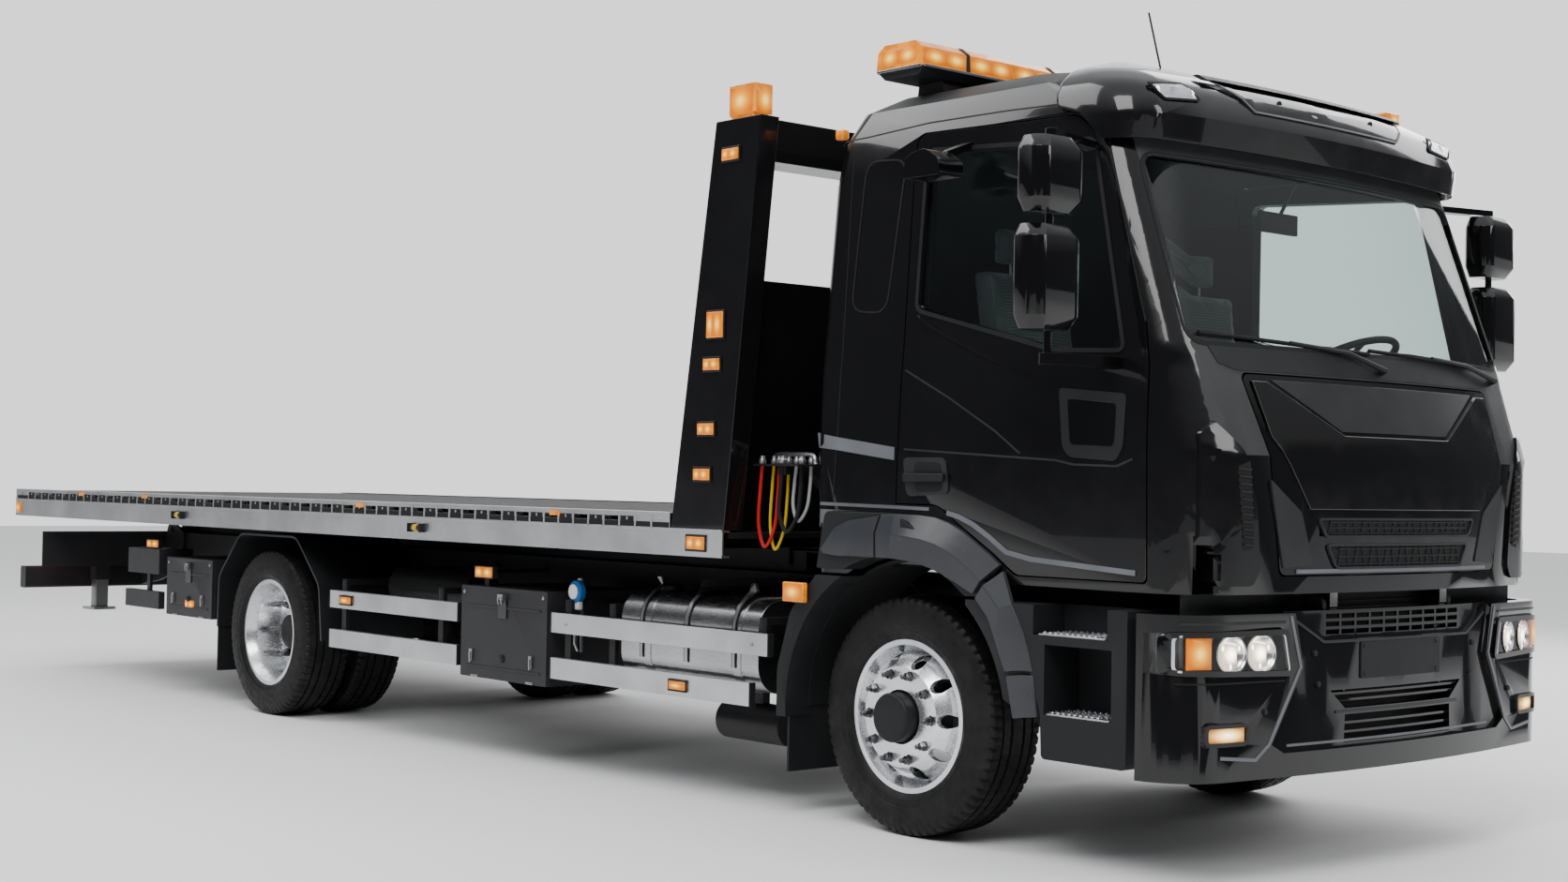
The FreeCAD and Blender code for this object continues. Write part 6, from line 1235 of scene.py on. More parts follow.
# Cab
class TRUCK_OT_cab(Operator):
    """Cab shell, doors, glass and their mouldings"""
    bl_idname = "truck.cab"
    bl_label = "Cab"

    def execute(self, context):
        shell = dress("cab_shell", "cab", 0.003, 38, 0.5)
        second_finish(shell, "interior", self.inside)
        for side in SIDES:
            word = side_name(side)
            door = dress("door_" + word, "cab", 0.003, 38, 0.5)
            second_finish(door, "interior", lambda p: abs(p.y) < 1.035)
            dress("door_glass_" + word, "glass", 0.0)
            self.side_mouldings(word, side)
        dress("windscreen", "glass", 0.0, 40)
        dress("front_flap", "grille", 0.003, 38, 0.5)
        dress("cab_arches", "plastic", 0.004)
        dress("front_mudguards", "plastic", 0.003)
        self.arch_flares()
        self.front_mouldings()
        return {"FINISHED"}

    def arch_flares(self):
        """The two-faceted flare round each front wheel; the lower lengths are on the chassis."""
        lengths = {("flare_rear", "cab"): [((3.125, 1.080), (3.118, 1.098), (3.112, 1.104)),
                                           ((3.20, 1.072), (3.189, 1.172), (3.19, 1.182)),
                                           ((3.30, 1.074), (3.30, 1.174), (3.26, 1.212)),
                                           ((3.415, 1.073), (3.418, 1.170), (3.44, 1.236))],
                   ("flare_top", "cab"): [((3.425, 1.073), (3.430, 1.168), (3.452, 1.239)),
                                          ((3.505, 1.074), (3.513, 1.166), (3.525, 1.244)),
                                          ((3.585, 1.068), (3.596, 1.160), (3.60, 1.243)),
                                          ((3.655, 1.060), (3.672, 1.152), (3.685, 1.236)),
                                          ((3.719, 1.045), (3.743, 1.138), (3.76, 1.216)),
                                          ((3.785, 1.024), (3.812, 1.114), (3.83, 1.186)),
                                          ((3.845, 1.0), (3.872, 1.084), (3.895, 1.148)),
                                          ((3.90, 0.976), (3.93, 1.05), (3.955, 1.113)),
                                          ((3.94, 0.96), (3.985, 1.01), (4.02, 1.07))],
                   ("flare_front", "chassis"): [((3.952, 0.946), (3.998, 0.994), (4.036, 1.048)),
                                                ((4.018, 0.876), (4.078, 0.914), (4.142, 0.934)),
                                                ((4.055, 0.80), (4.128, 0.835), (4.20, 0.84)),
                                                ((4.083, 0.735), (4.16, 0.765), (4.228, 0.77)),
                                                ((4.106, 0.688), (4.183, 0.70), (4.248, 0.70))],
                   ("flare_foot", "chassis"): [((4.112, 0.674), (4.190, 0.684), (4.252, 0.686)),
                                               ((4.148, 0.523), (4.222, 0.535), (4.27, 0.54))], }
        skin = Skin("cab_shell", "cab_arches", "front_mudguards")
        for side in SIDES:
            word = side_name(side)
            for (name, body), rows in lengths.items():
                rings = []
                for low, middle, high in rows:
                    top = skin.place(side, *high, 0.0)
                    depth = max(1.10, min(1.197, abs(top.y) + 0.010))
                    section = ((low, 1.150), (low, 1.196), (middle, 1.204), (high, depth + 0.006),
                               (high, depth - 0.012), (middle, 1.150))
                    rings.append([Vector((spot[0], side * y, spot[1])) for spot, y in section])
                count = len(rings[0])
                faces = [[r * count + k, r * count + (k + 1) % count, (r + 1) * count + (k + 1) % count,
                          (r + 1) * count + k] for r in range(len(rings) - 1) for k in range(count)]
                faces += [list(range(count))[::-1], [(len(rings) - 1) * count + k for k in range(count)]]
                shape = Shape().add([v for ring in rings for v in ring], faces)
                shape.piece(f"{name}_{word}", "flare", body, sharp=24, bevel=0.003)
            lamp = Shape().block((2.905, 3.03), span(side, 1.186, 1.212), (0.878, 0.958))
            lamp.piece(f"arch_lamp_{word}", "amber", "chassis", bevel=0.005)
            lit_faces(f"lit_arch_lamp_{word}", "lit_amber", "chassis",
                      [side_face(side, 2.9675, side * 1.2125, 0.918, 0.056, 0.034, 0.003)])

    @staticmethod
    def inside(p):
        """Whether a place lies on the lining, inside the windscreen's slope."""
        front = min(4.9, 4.93 - 0.35 * max(0, p.z - 1.8))
        return abs(p.y) < 1.0 and 3.04 < p.x < front and 1.24 < p.z < 2.94

    def side_mouldings(self, word, side):
        """Flashes, lines, creases and seams on the side of the cab and on the door."""
        shell, door = Skin("cab_shell"), Skin("door_" + word)
        for name, outline in (
                ("side_flash", [(2.985, 1.562), (3.10, 1.545), (3.445, 1.502), (3.445, 1.452), (3.11, 1.492),
                                (3.0, 1.502)]),
                ("lower_flash", [(3.02, 1.254), (3.455, 1.247), (3.43, 1.238), (3.25, 1.216), (3.17, 1.184),
                                 (3.01, 1.184)])):
            patch(f"{name}_{word}", shell, side, outline, "pale_trim_and_painted_highlight", "cab", thick=0.003)
        for name, path, width, finish, thick in (("sill_line", [(3.02, 1.276), (3.44, 1.270), (3.64, 1.266)],
                                                  0.013, "pale_trim_and_painted_highlight", 0.004),
                                                 ("rear_seam",
                                                  [(3.135, 2.70), (3.13, 2.2), (3.118, 1.57), (3.10, 1.30)],
                                                  0.005, "rubber", 0.001),
                                                 ("roof_seam",
                                                  [(2.995, 2.74), (3.2, 2.745), (3.53, 2.765), (3.94, 2.762),
                                                   (4.30, 2.75)], 0.006, "rubber", 0.001)):
            strip(f"{name}_{word}", shell, side, path, width, finish, "cab", thick=thick)
        for name, path, width, finish, thick in (("door_line",
                                                  [(3.735, 1.254), (3.80, 1.240), (3.87, 1.214),
                                                   (3.95, 1.172), (4.04, 1.117), (4.16, 1.096),
                                                   (4.64, 1.066)], 0.019, "pale_trim_and_painted_highlight", 0.005),
                                                 ("belt_line",
                                                  [(3.50, 1.494), (4.27, 1.455), (4.35, 1.44), (4.55, 1.435),
                                                   (4.62, 1.46)], 0.008, "trim", 0.003),
                                                 ("upper_crease",
                                                  [(3.53, 2.01), (3.60, 1.965), (3.87, 1.85), (4.26, 1.725)],
                                                  0.010, "cab", 0.005),
                                                 ("lower_crease",
                                                  [(3.49, 1.80), (3.73, 1.688), (3.97, 1.562), (4.10, 1.478)],
                                                  0.007, "trim", 0.003)):
            strip(f"{name}_{word}", door, side, path, width, finish, "door_" + word, thick=thick)
        blank = rounded([(3.215, 2.645), (3.44, 2.63), (3.365, 2.03), (3.165, 2.045)], 0.07, 6)
        strip(f"blank_panel_line_{word}", shell, side, blank, 0.008, "rubber", "cab", thick=0.0025,
              closed=True)
        window = rounded([(3.542, 2.035), (3.562, 2.645), (4.385, 2.595), (4.555, 1.845), (4.235, 1.862)],
                         0.035, 5)
        strip(f"window_seal_{word}", door, side, grown(window, 0.011), 0.016, "rubber", "door_" + word,
              thick=0.004, closed=True)
        self.low_window(door, word, side)
        self.handle(door, word, side)
        lamp = Shape().block((2.982, 3.03), span(side, 1.0, 1.035), (2.76, 2.80))
        lamp.piece(f"roof_marker_{word}", "amber", "cab", bevel=0.006)

    def low_window(self, door, word, side):
        edge = [(4.275, 1.715), (4.585, 1.688), (4.577, 1.50), (4.545, 1.452), (4.335, 1.466), (4.30, 1.50)]
        patch(f"low_window_frame_{word}", door, side, rounded(edge, 0.02), "plastic", "door_" + word,
              thick=0.004, bevel=0.0015)
        pane = [(4.318, 1.677), (4.542, 1.655), (4.537, 1.503), (4.338, 1.51)]
        patch(f"low_window_pane_{word}", door, side, rounded(pane, 0.02), "grille", "door_" + word,
              lift=0.003, thick=0.003, bevel=0.001)

    def handle(self, door, word, side):
        body = "door_" + word
        edge = rounded([(3.497, 1.463), (3.725, 1.463), (3.745, 1.325), (3.52, 1.312)], 0.03, 5)
        patch(f"handle_plate_{word}", door, side, edge, "trim", body, thick=0.006, bevel=0.002)
        cup = rounded([(3.56, 1.445), (3.70, 1.445), (3.712, 1.335), (3.57, 1.33)], 0.025, 5)
        patch(f"handle_cup_{word}", door, side, cup, "rubber", body, lift=0.005, thick=0.0025)
        y = door.place(side, 3.62, 1.39, 0.0).y
        bar = Shape().prism(rounded([(3.515, 1.402), (3.73, 1.402), (3.73, 1.372), (3.515, 1.368)], 0.008),
                            "Y", *span(side, 0.006, 0.026, y))
        bar.lathe([(0, 0.012), (0.008, 0.012), (0.009, 0.004)], (3.528, y + side * 0.006, 1.386),
                  (0, side, 0), 16)
        bar.piece(f"handle_bar_{word}", "plastic", body, bevel=0.004)

    def front_mouldings(self):
        shell = Skin("cab_shell")
        flap = Skin("front_flap")
        hood = [(-0.66, 1.748), (-0.345, 1.575), (0.345, 1.575), (0.66, 1.748)]
        patch("hood_facet", flap, 0, hood, "trim", "front_flap", thick=0.004, bevel=0.002)
        badge = [(-0.34, 1.560), (0.34, 1.560), (0.69, 1.742), (0.765, 1.742), (0.74, 1.55), (0.56, 1.295),
                 (-0.56, 1.295), (-0.74, 1.55), (-0.765, 1.742), (-0.69, 1.742)]
        patch("badge_panel", flap, 0, badge, "grille", "front_flap", thick=0.010, bevel=0.003)
        for z0, z1, w0, w1, name in ((1.262, 1.200, 0.51, 0.47, "upper"),
                                     (1.170, 1.088, 0.46, 0.41, "lower")):
            mesh = rounded([(-w0, z0), (w0, z0), (w1, z1), (-w1, z1)], 0.02)
            patch(f"{name}_slot", flap, 0, mesh, "rubber", "front_flap", thick=0.002)
            strip(f"{name}_slot_edge", flap, 0, mesh, 0.009, "trim", "front_flap", thick=0.009, closed=True)
            bar = Shape()
            rows = 3
            for row in range(rows):
                z = z1 + (z0 - z1) * (row + 0.5) / rows
                bar.tube([(flap.place(0, y / 20, z, 0.004).x, y / 20, z) for y in range(-9, 10)
                          if abs(y / 20) < w1], 0.0035, 6)
            bar.piece(f"{name}_slot_bars", "plastic", "front_flap")
            upright = Shape()
            count = int(w1 * 2 / 0.045)
            for k in range(count):
                y = -w1 + 0.02 + k * (2 * w1 - 0.04) / (count - 1)
                lean = 0.008 if k % 2 else -0.008
                upright.tube([(flap.place(0, y + lean, z1 + 0.004, 0.004).x, y + lean, z1 + 0.004),
                              (flap.place(0, y - lean, z0 - 0.004, 0.004).x, y - lean, z0 - 0.004)], 0.0028,
                             6)
            upright.piece(f"{name}_slot_mesh", "plastic", "front_flap")
        strip("flap_lower_line", flap, 0, [(-0.62, 1.078), (0.62, 1.078)], 0.014, "pale_trim_and_painted_highlight", "front_flap",
              thick=0.008)
        for side in SIDES:
            self.corner(shell, flap, side, side_name(side))
        cowl = [(-0.93, 1.862), (-0.90, 1.80), (-0.82, 1.778), (0.82, 1.778), (0.90, 1.80), (0.93, 1.862)]
        patch("cowl", shell, 0, cowl, "plastic", "cab", thick=0.003)
        self.screen_border(shell)
        self.wipers()

    def corner(self, shell, flap, side, word):
        """Air deflector with its slatted vent, and the wing beside the flap's grille."""
        outline = on_side(side, [(0.815, 1.08), (0.835, 1.30), (0.90, 1.50), (1.0, 1.60), (1.055, 1.55),
                                 (1.06, 1.10), (1.02, 1.03), (0.85, 1.03)])
        patch(f"air_deflector_{word}", shell, 0, rounded(outline, 0.02), "cab", "cab", thick=0.014,
              bevel=0.004, cell=0.03)
        vent = on_side(side, [(0.875, 1.46), (0.935, 1.44), (0.90, 1.15), (0.85, 1.16)])
        patch(f"air_vent_{word}", shell, 0, rounded(vent, 0.01), "rubber", "cab", lift=0.0135, thick=0.002,
              cell=0.03)
        slats = Shape()
        for k in range(11):
            z = 1.17 + k * 0.026
            near = 0.852 + 0.022 * k / 10
            far = 0.90 + 0.033 * k / 10
            slats.tube([shell.place(0, side * near, z, 0.018), shell.place(0, side * far, z + 0.004, 0.018)],
                       0.004, 6)
        slats.piece(f"vent_slats_{word}", "plastic", "cab")
        wing = on_side(side, [(0.765, 1.40), (0.60, 1.285), (0.535, 1.10), (0.69, 1.09)])
        patch(f"flap_wing_{word}", flap, 0, rounded(wing, 0.01), "trim", "front_flap", thick=0.005,
              bevel=0.002)

    def screen_border(self, shell):
        """The black band and rubber round the windscreen."""
        edge = rounded([(-1.0, 1.872), (1.0, 1.872), (0.985, 2.545), (-0.985, 2.545)], 0.07, 5)
        strip("screen_seal", shell, 0, grown(edge, 0.014), 0.016, "rubber", "cab", thick=0.003, closed=True)

    def wipers(self):
        """Two arms on pivots above the flap's hinge, each with its blade on the glass."""
        glass = Skin("windscreen", "cab_shell", "front_flap")
        arms = Shape()
        blades = Shape()
        for pivot, elbow, blade in (
                ((0.003, 1.812), (-0.20, 1.868), ((-0.95, 1.905), (-0.05, 1.872))),
                ((0.90, 1.818), (0.66, 1.866), ((-0.02, 1.888), (0.80, 1.868)))):
            middle = ((blade[0][0] + blade[1][0]) / 2, (blade[0][1] + blade[1][1]) / 2)
            arms.tube([glass.place(0, pivot[0], pivot[1] - 0.004, 0.004),
                       glass.place(0, pivot[0], pivot[1], 0.026), glass.place(0, elbow[0], elbow[1], 0.024),
                       glass.place(0, middle[0], middle[1] + 0.003, 0.018)], [0.016, 0.013, 0.009, 0.006], 8)
            count = 16
            path = [glass.place(0, blade[0][0] + (blade[1][0] - blade[0][0]) * k / count,
                                blade[0][1] + (blade[1][1] - blade[0][1]) * k / count,
                                0.010) for k in range(count + 1)]
            blades.tube(path, 0.007, 6)
            blades.tube([p + Vector((-0.008, 0, -0.004)) for p in path], 0.004, 6)
        arms.piece("wiper_arms", "plastic", "cab")
        blades.piece("wiper_blades", "rubber", "cab")


class TRUCK_OT_roof(Operator):
    """Light bar, visor, roof frame, hatch and antenna"""
    bl_idname = "truck.roof"
    bl_label = "Roof fittings"

    def execute(self, context):
        bar = dress("roof_fittings", "amber", 0.004)
        second_finish(bar, "plastic", lambda p: p.z < 2.994 or p.x > 3.6)
        second_finish(bar, "steel", lambda p: 2.994 <= p.z < 3.0015 and p.x < 3.6)
        dress("sun_visor", "cab", 0.004, 40)
        self.light_bar()
        self.cap()
        hatch = Shape().block((3.72, 4.02), (-0.25, 0.25), (2.935, 2.978))
        hatch.piece("roof_hatch", "plastic", "cab", bevel=0.012)
        return {"FINISHED"}

    def light_bar(self):
        """Lit cells behind the lens, dark dividers between them and the bright edge of the tray."""
        cells = []
        for way, x in ((1, 3.4825), (-1, 3.2245)):
            for number in range(8):
                y = -0.91 + 0.26 * number
                cells.append(((x, y, 3.041), (0, 0.118, 0), (0, 0, 0.03), (way * 0.004, 0, 0)))
        for side in SIDES:
            cells.append(side_face(side, 3.353, side * 1.0395, 3.05, 0.10, 0.034, 0.004))
        lit_faces("lit_light_bar", "lit_pair", "cab", cells)
        ribs = Shape()
        for y in (-0.78, -0.26, 0.26, 0.78):
            ribs.prism([(3.219, 2.999), (3.487, 2.999), (3.480, 3.079), (3.442, 3.1075), (3.264, 3.1075),
                        (3.226, 3.079)], "Y", y - 0.011, y + 0.011)
        ribs.piece("light_bar_dividers", "plastic", "cab", bevel=0.002)
        edge = Shape()
        edge.block((3.4825, 3.487), (-1.03, 1.03), (2.996, 3.006))
        edge.block((3.220, 3.2245), (-1.03, 1.03), (2.996, 3.006))
        for side in SIDES:
            edge.block((3.23, 3.477), span(side, 1.0285, 1.0425), (2.996, 3.006))
        edge.piece("light_bar_edge", "chrome", "cab", bevel=0.001)

    def cap(self):
        """Corner lamps, the raised frame with its glossy panel, and the beacon on the far corner."""
        skin = Skin("sun_visor")
        for side in SIDES:
            word = side_name(side)
            outline = rounded(on_side(side, [(0.985, 2.796), (0.806, 2.816), (0.752, 2.756), (0.93, 2.742)]),
                              0.012)
            patch(f"corner_lamp_back_{word}", skin, 0, outline, "chrome", "cab", thick=0.003, cell=0.03)
            small = [((side * 0.868 + a * 5) / 6, (2.777 + b * 5) / 6) for a, b in outline]
            patch(f"corner_lamp_lens_{word}", skin, 0, small, "lens", "cab", lift=0.002, thick=0.006,
                  cell=0.03, bevel=0.002)
            strip(f"corner_lamp_rim_{word}", skin, 0, outline, 0.008, "rubber", "cab", thick=0.006,
                  closed=True)
        panel = rounded([(-0.60, 2.862), (0.60, 2.862), (0.47, 2.748), (-0.47, 2.748)], 0.02)
        patch("cap_panel", skin, 0, panel, "grille", "cab", thick=0.003)
        strip("cap_panel_edge", skin, 0, [(-0.60, 2.858), (-0.465, 2.748), (0.465, 2.748), (0.60, 2.858)],
              0.007, "pale_trim_and_painted_highlight", "cab", thick=0.006)
        strip("cap_frame", skin, 0, [(-0.64, 2.868), (0.64, 2.868)], 0.024, "plastic", "cab", thick=0.022)
        holes = Shape()
        for y in (-0.3, 0.3):
            x = skin.place(0, y, 2.80, 0).x
            holes.tube([(x - 0.002, y, 2.80), (x + 0.005, y, 2.80)], 0.012, 12)
        holes.piece("cap_holes", "rubber", "cab")
        base = Shape().block((4.235, 4.345), (0.86, 0.97), (2.87, 2.905))
        base.piece("cap_beacon_base", "plastic", "cab", bevel=0.006)
        low, high = Vector((4.24, 0.865, 2.905)), Vector((4.34, 0.965, 2.962))
        lens = Shape().block((low.x, high.x), (low.y, high.y), (low.z, high.z))
        lens.piece("cap_beacon", "amber", "cab", bevel=0.008)
        lit_faces("lit_cap_beacon", "lit_amber", "cab",
                  [side_lens(low, high, 0.01), end_lens(low, high, 1, 0.01), end_lens(low, high, -1, 0.01)])


class TRUCK_OT_mirrors(Operator):
    """Mirror housings on their arms, and the kerb mirror"""
    bl_idname = "truck.mirrors"
    bl_label = "Mirrors"

    def execute(self, context):
        for side in SIDES:
            word = side_name(side)
            body = "door_" + word
            dress("mirrors_" + word, "grille", 0.014, 50)
            glasses = Shape()
            for y, low, high in ((1.425, 2.325, 2.52), (1.44, 1.93, 2.212)):
                outline = rounded([(side * (y - 0.098), low), (side * (y + 0.098), low),
                                   (side * (y + 0.098), high), (side * (y - 0.098), high)], 0.03)
                glasses.prism(outline, "X", 4.4405, 4.446)
            glasses.piece(f"mirror_glasses_{word}", "dark_mirror", body, bevel=0.001)
            rims = Shape()
            for y, low, high in ((1.425, 2.325, 2.52), (1.44, 1.93, 2.212)):
                rims.tube([(4.4425, side * a, b) for a,
                           b in rounded([(y - 0.101, low - 0.003), (y + 0.101, low - 0.003),
                                         (y + 0.101, high + 0.003), (y - 0.101, high + 0.003)], 0.03)],
                          0.0035, 6, True)
            rims.piece(f"mirror_rims_{word}", "rubber", body)
        return {"FINISHED"}


class TRUCK_OT_bumper(Operator):
    """Front bumper, head lamps and fog lamps"""
    bl_idname = "truck.bumper"
    bl_label = "Bumper and lamps"

    def execute(self, context):
        dress("front_bumper", "cab", 0.003, 38)
        skin = Skin("front_bumper", "front_lamps")
        dress("front_lamps", "lens", 0.002)
        for side in SIDES:
            self.head_lamp(skin, side, side_name(side))
            self.corner_highlight_and_edge(skin, side, side_name(side))
        plate = rounded([(-0.26, 0.822), (0.26, 0.822), (0.26, 0.69), (-0.26, 0.69)], 0.01)
        patch("plate_holder", skin, 0, plate, "plastic", "chassis", thick=0.006, bevel=0.002)
        # The first strip is a pale line painted along the top edge of the bumper's lip as its highlight; the
        # other two are trim lines.
        for name, path, width, finish, thick in (("bumper_lip_painted_highlight", [(-0.66, 0.474), (0.66, 0.474)], 0.009,
                                                  "pale_trim_and_painted_highlight", 0.002),
                                                 ("bumper_middle_line", [(-0.40, 0.577), (0.40, 0.577)],
                                                  0.010, "trim", 0.004),
                                                 ("bumper_dip_line",
                                                  [(-0.62, 0.905), (-0.47, 0.828), (0.47, 0.828),
                                                   (0.62, 0.905)], 0.010, "trim", 0.004)):
            strip(name, skin, 0, path, width, finish, "chassis", thick=thick)
        for side in SIDES:
            strip(f"corner_seam_{side_name(side)}", skin, 0, [(side * 0.70, 0.703), (side * 1.16, 0.703)],
                  0.006, "rubber", "chassis", thick=0.002)
        bolts = Shape()
        for y, z in ((0.52, 0.79), (0.50, 0.68), (0.235, 0.806), (0.235, 0.706), (0.80, 0.60)):
            for side in SIDES:
                x = skin.place(0, side * y, z, 0).x
                bolts.lathe([(0.0, 0.011), (0.009, 0.011), (0.012, 0.007)], (x - 0.002, side * y, z),
                            (1, 0, 0), 12)
        bolts.piece("bumper_bolts", "plastic", "chassis")
        self.screen()
        return {"FINISHED"}

    @staticmethod
    def screen():
        """The dark screen, slats and cheeks behind the gap under the cab, and the baffle in the bumper."""
        cab = Skin("cab_shell", "front_flap")
        under = min(hit.z for hit in (cab.tree.ray_cast(Vector((4.80, y / 10, 0.5)), Vector((0, 0, 1)))[0]
                                      for y in range(-10, 11)) if hit is not None)
        top = min(under - 0.012, 1.0)
        screen = Shape().block((4.836, 4.842), (-0.47, 0.47), (0.80, top))
        screen.piece("front_screen", "rubber", "chassis", bevel=0.001)
        slat = Shape().block((4.842, 4.852), (-0.45, 0.45), (0.825, 0.830))
        repeated("front_screen_slats", slat, "plastic", "chassis", max(2, int((top - 0.83) / 0.022)),
                 (0, 0, 0.022))
        for side in SIDES:
            cheek = Shape().prism(on_side(side, [(0.475, 0.80), (0.475, top), (1.07, top), (1.07, 0.80)]),
                                  "X", 4.790, 4.798)
            cheek.piece(f"front_cheek_{side_name(side)}", "plastic", "chassis", bevel=0.002)
        baffle = Shape().block((4.868, 4.872), (-0.50, 0.50), (0.44, 0.80))
        baffle.block((4.868, 4.90), (-0.64, 0.64), (0.795, 0.799))
        baffle.piece("bumper_baffle", "rubber", "chassis")

    @staticmethod
    def corner_highlight_and_edge(skin, side, word):
        """A pale strip painted as the highlight on the edge between the proud corner and the recessed middle,
        and a trim line along the corner's top.
        """
        path = on_side(side, [(0.672, 0.925), (0.620, 0.748), (0.776, 0.486), (0.842, 0.437), (1.01, 0.452)])
        # Painted highlight: a pale strip along the corner's edge.
        strip(f"corner_painted_highlight_{word}", skin, 0, path, 0.012, "pale_trim_and_painted_highlight", "chassis", thick=0.003)
        path = on_side(side, [(0.70, 0.905), (1.15, 0.905)])
        strip(f"corner_top_edge_{word}", skin, 0, path, 0.008, "trim", "chassis", thick=0.003)

    def head_lamp(self, skin, side, word):
        """Two lit reflectors and an amber block behind the clear lens, in a bright bezel."""
        outline = rounded(on_side(side, [(0.668, 0.728), (0.70, 0.872), (1.185, 0.868), (1.185, 0.742)]),
                          0.02)
        strip(f"lamp_rim_{word}", skin, 0, outline, 0.020, "grille", "chassis", thick=0.010, closed=True)
        strip(f"lamp_inner_rim_{word}", skin, 0, shrunk(outline, 0.94), 0.007, "chrome", "chassis",
              thick=0.009, closed=True)
        lights = []
        bowls = Shape()
        for y in (0.815, 0.958):
            spot = skin.place(0, side * y, 0.80, -0.004)
            facing = Vector((1, side * 0.22, 0.03)).normalized()
            start = spot - facing * 0.012
            bowls.lathe([(-0.012, 0.012), (-0.008, 0.036), (0.004, 0.057), (0.014, 0.064), (0.014, 0.0675),
                         (0.0, 0.057), (-0.014, 0.04), (-0.018, 0.014)], start, facing, 36)
            across = Vector((-facing.y, facing.x, 0)) * 0.031
            lights.append((start + facing * 0.002, across, (0, 0, 0.031), facing * 0.010))
            for turn in range(3):
                angle = 0.5 + turn * 2.1
                away = across * (math.cos(angle) * 1.35) + Vector((0, 0, 0.042 * math.sin(angle)))
                lights.append((start + away + facing * 0.006, across * 0.22, (0, 0, 0.012), facing * 0.003))
        bowls.piece(f"reflectors_{word}", "chrome", "chassis")
        lit_faces(f"lit_reflectors_{word}", "white", "chassis", lights)
        fog = rounded(on_side(side, [(0.89, 0.497), (0.885, 0.56), (1.075, 0.56), (1.075, 0.497)]), 0.02)
        strip(f"fog_rim_{word}", skin, 0, fog, 0.014, "trim", "chassis", thick=0.011, closed=True)
        for name, finish, y, z, lean, back, across, up in (
                ("lit_indicator", "lit_amber", 1.092, 0.805, 0.3, 0.004, 0.05, 0.054),
                ("lit_fog_lamp", "warm", 0.98, 0.528, 0.24, 0.002, 0.078, 0.026)):
            facing = Vector((1, side * lean, 0)).normalized()
            lit_faces(f"{name}_{word}", finish, "chassis",
                      [(skin.place(0, side * y, z, 0.0) - facing * back,
                        Vector((-facing.y, facing.x, 0)) * across, (0, 0, up), facing * 0.008)])


class TRUCK_OT_interior(Operator):
    """Seats, dashboard and steering wheel"""
    bl_idname = "truck.interior"
    bl_label = "Interior"

    def execute(self, context):
        dress("cab_interior", "interior", 0.006)
        dress("steering_wheel", "plastic", 0.0)
        self.seats()
        mirror = Shape().block((4.40, 4.42), (-0.12, 0.12), (2.36, 2.44))
        mirror.tube([(4.42, 0, 2.43), (4.49, 0, 2.55)], 0.008, 8)
        mirror.piece("inner_mirror", "plastic", "cab", bevel=0.008)
        return {"FINISHED"}

    def seats(self):
        """Padded cushions, backs and head rests, blown up as cloth, with their seams and rest posts."""
        parts = []
        for name, y in (("driver", 0.55), ("passenger", -0.55)):
            form = Shape()
            form.prism(rounded([(3.575, 1.575), (4.085, 1.575), (4.085, 1.675), (3.61, 1.668)], 0.03), "Y",
                       y - 0.235, y + 0.235)
            cushion = puffed(f"{name}_cushion", form, "cloth", "cab")
            back = Shape().prism(rounded([(3.60, 1.695), (3.69, 1.695), (3.622, 2.215), (3.525, 2.215)],
                                         0.03), "Y", y - 0.235, y + 0.235)
            back = puffed(f"{name}_back", back, "cloth", "cab")
            head = Shape().prism(rounded([(3.54, 2.245), (3.60, 2.245), (3.60, 2.385), (3.54, 2.385)], 0.025),
                                 "Y", y - 0.128, y + 0.128)
            head = puffed(f"{name}_head_rest", head, "cloth", "cab")
            parts += [cushion, back, head]
            posts = Shape()
            for side in SIDES:
                posts.tube([(3.57, y + side * 0.06, 2.19), (3.57, y + side * 0.06, 2.27)], 0.006, 8)
            posts.piece(f"{name}_rest_posts", "chrome", "cab")
            seams = Shape()
            for side in SIDES:
                seams.tube([(3.68, y + side * 0.15, 1.6835), (3.82, y + side * 0.15, 1.686),
                            (4.0, y + side * 0.15, 1.687)], 0.004, 6)
            seams.piece(f"{name}_seams", "rubber", "cab")
        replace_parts(parts[0], "seats")


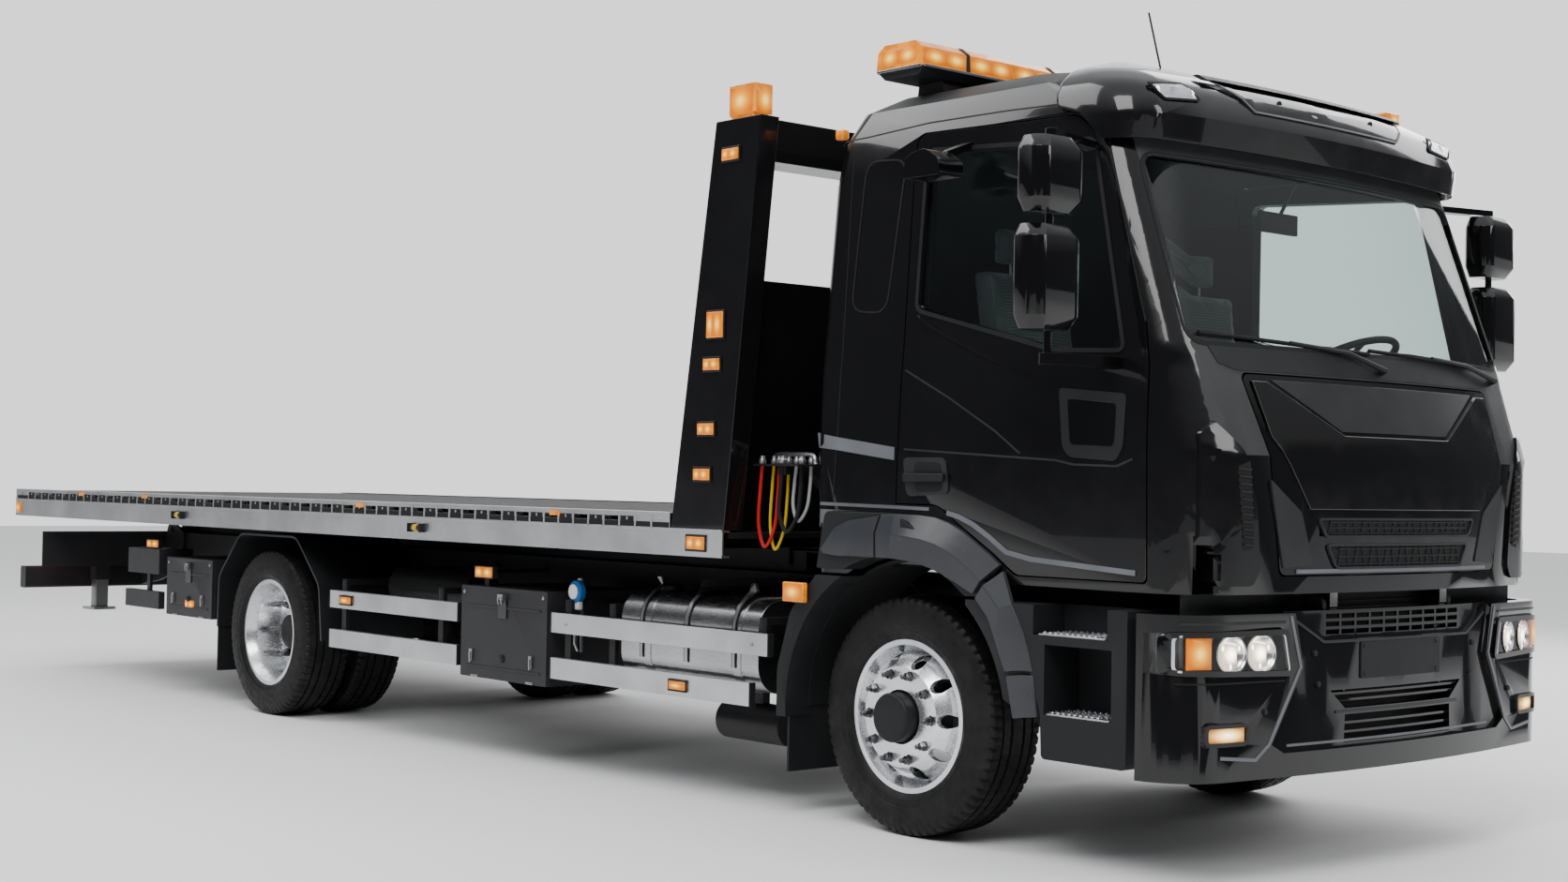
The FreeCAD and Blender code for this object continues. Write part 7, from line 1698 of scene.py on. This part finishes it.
class TRUCK_OT_stage(Operator):
    """Pale floor, soft lights and the camera at the photograph's angle"""
    bl_idname = "truck.stage"
    bl_label = "Stage"

    def execute(self, context):
        floor = Shape().block((-40, 40), (-40, 40), (-0.02, 0))
        mesh = bpy.data.meshes.new("floor")
        mesh.from_pydata([tuple(v) for v in floor.verts], [], floor.faces)
        obj = new_object("floor", mesh)
        material, tree, shader = new_material("pale_floor")
        shader.inputs["Base Color"].default_value = (0.86, 0.86, 0.86, 1)
        shader.inputs["Roughness"].default_value = 0.7
        obj.data.materials.append(material)
        self.studio(context)
        for name, place, aim, size, power in (
                ("key", (8, -8, 10), (1, 0, 1), 6, 1000), ("fill", (-5, -6, 12), (-1, 0, 1), 8, 900),
                ("rim", (2, 10, 7), (1, 0, 2), 8, 700), ("front", (14, 3, 7), (4, 0, 1.5), 4, 350)):
            light = bpy.data.lights.new(name, "AREA")
            light.energy = power
            light.size = size
            lamp = new_object(name, light)
            lamp.location = place
            lamp.rotation_euler = (Vector(aim) - Vector(place)).to_track_quat("-Z", "Y").to_euler()
        self.camera(context)
        return {"FINISHED"}

    @staticmethod
    def studio(context):
        """Soft light from above, a pale backdrop behind the truck and a dimmer room on its other sides."""
        world = bpy.data.worlds.new("studio")
        context.scene.world = world
        world.use_nodes = True
        tree = world.node_tree
        place = tree.nodes.new("ShaderNodeTexCoord")
        facing = wire(tree, "ShaderNodeVectorMath", operation="DOT_PRODUCT")
        facing.inputs[1].default_value = (-0.75, 0.66, 0.0)
        tree.links.new(place.outputs["Generated"], facing.inputs[0])
        height = tree.nodes.new("ShaderNodeSeparateXYZ")
        tree.links.new(place.outputs["Generated"], height.inputs[0])
        room = ramp(tree, facing.outputs["Value"], (0.10, 0.103, 0.112, 1), (1.5, 1.5, 1.5, 1), 0.55, 0.86)
        above = ramp(tree, height.outputs["Z"], (0, 0, 0, 1), (1.15, 1.17, 1.2, 1), 0.26, 0.85)
        both = tree.nodes.new("ShaderNodeMix")
        both.data_type = "RGBA"
        both.blend_type = "LIGHTEN"
        both.inputs["Factor"].default_value = 1.0
        tree.links.new(room, both.inputs[6])
        tree.links.new(above, both.inputs[7])
        tree.links.new(both.outputs[2], tree.nodes["Background"].inputs["Color"])

    def camera(self, context):
        """The fitted camera: place, heading, tilt and roll in the row frame."""
        data = bpy.data.cameras.new("camera")
        data.sensor_width = 36.0
        data.lens = 47.71
        camera = new_object("camera", data)
        heading, tilt, roll = (math.radians(v) for v in (48.61, 1.146, 1.018))
        turn = Matrix.Rotation(heading, 4, "Z") @ Matrix.Rotation(math.radians(90) + tilt, 4, "X") \
            @ Matrix.Rotation(roll, 4, "Z")
        camera.matrix_world = Matrix.Translation((9.2089, -6.7717, 1.3573)) @ turn
        context.scene.camera = camera


class TRUCK_PT_dresser(Panel):
    bl_label = "Flatbed tow truck"
    bl_idname = "TRUCK_PT_dresser"
    bl_space_type = "VIEW_3D"
    bl_region_type = "UI"
    bl_category = "Truck"

    def draw(self, context):
        for group in (context.scene.truck_paint, context.scene.truck_lamps, context.scene.truck_tyres):
            for key in group.__annotations__:
                self.layout.prop(group, key)
        for operator in OPERATORS:
            self.layout.operator(operator.bl_idname)


GROUPS = (("truck_paint", TruckPaint), ("truck_lamps", TruckLamps), ("truck_tyres", TruckTyres))
OPERATORS = (TRUCK_OT_wheels, TRUCK_OT_chassis, TRUCK_OT_bed, TRUCK_OT_cab, TRUCK_OT_roof, TRUCK_OT_mirrors,
             TRUCK_OT_bumper, TRUCK_OT_interior, TRUCK_OT_stage)


def register():
    for name, group in GROUPS:
        bpy.utils.register_class(group)
        setattr(bpy.types.Scene, name, PointerProperty(type=group))
    for operator in OPERATORS:
        bpy.utils.register_class(operator)
    bpy.utils.register_class(TRUCK_PT_dresser)


def unregister():
    bpy.utils.unregister_class(TRUCK_PT_dresser)
    for operator in OPERATORS:
        bpy.utils.unregister_class(operator)
    for name, group in GROUPS:
        delattr(bpy.types.Scene, name)
        bpy.utils.unregister_class(group)


def corners(box):
    return [[float(v) for v in corner] for corner in box]


def main():
    register()
    FINISH.update(make_finishes())
    for operator in OPERATORS:
        group, name = operator.bl_idname.split(".")
        getattr(getattr(bpy.ops, group), name)()


if __name__ == "__main__":
    main()
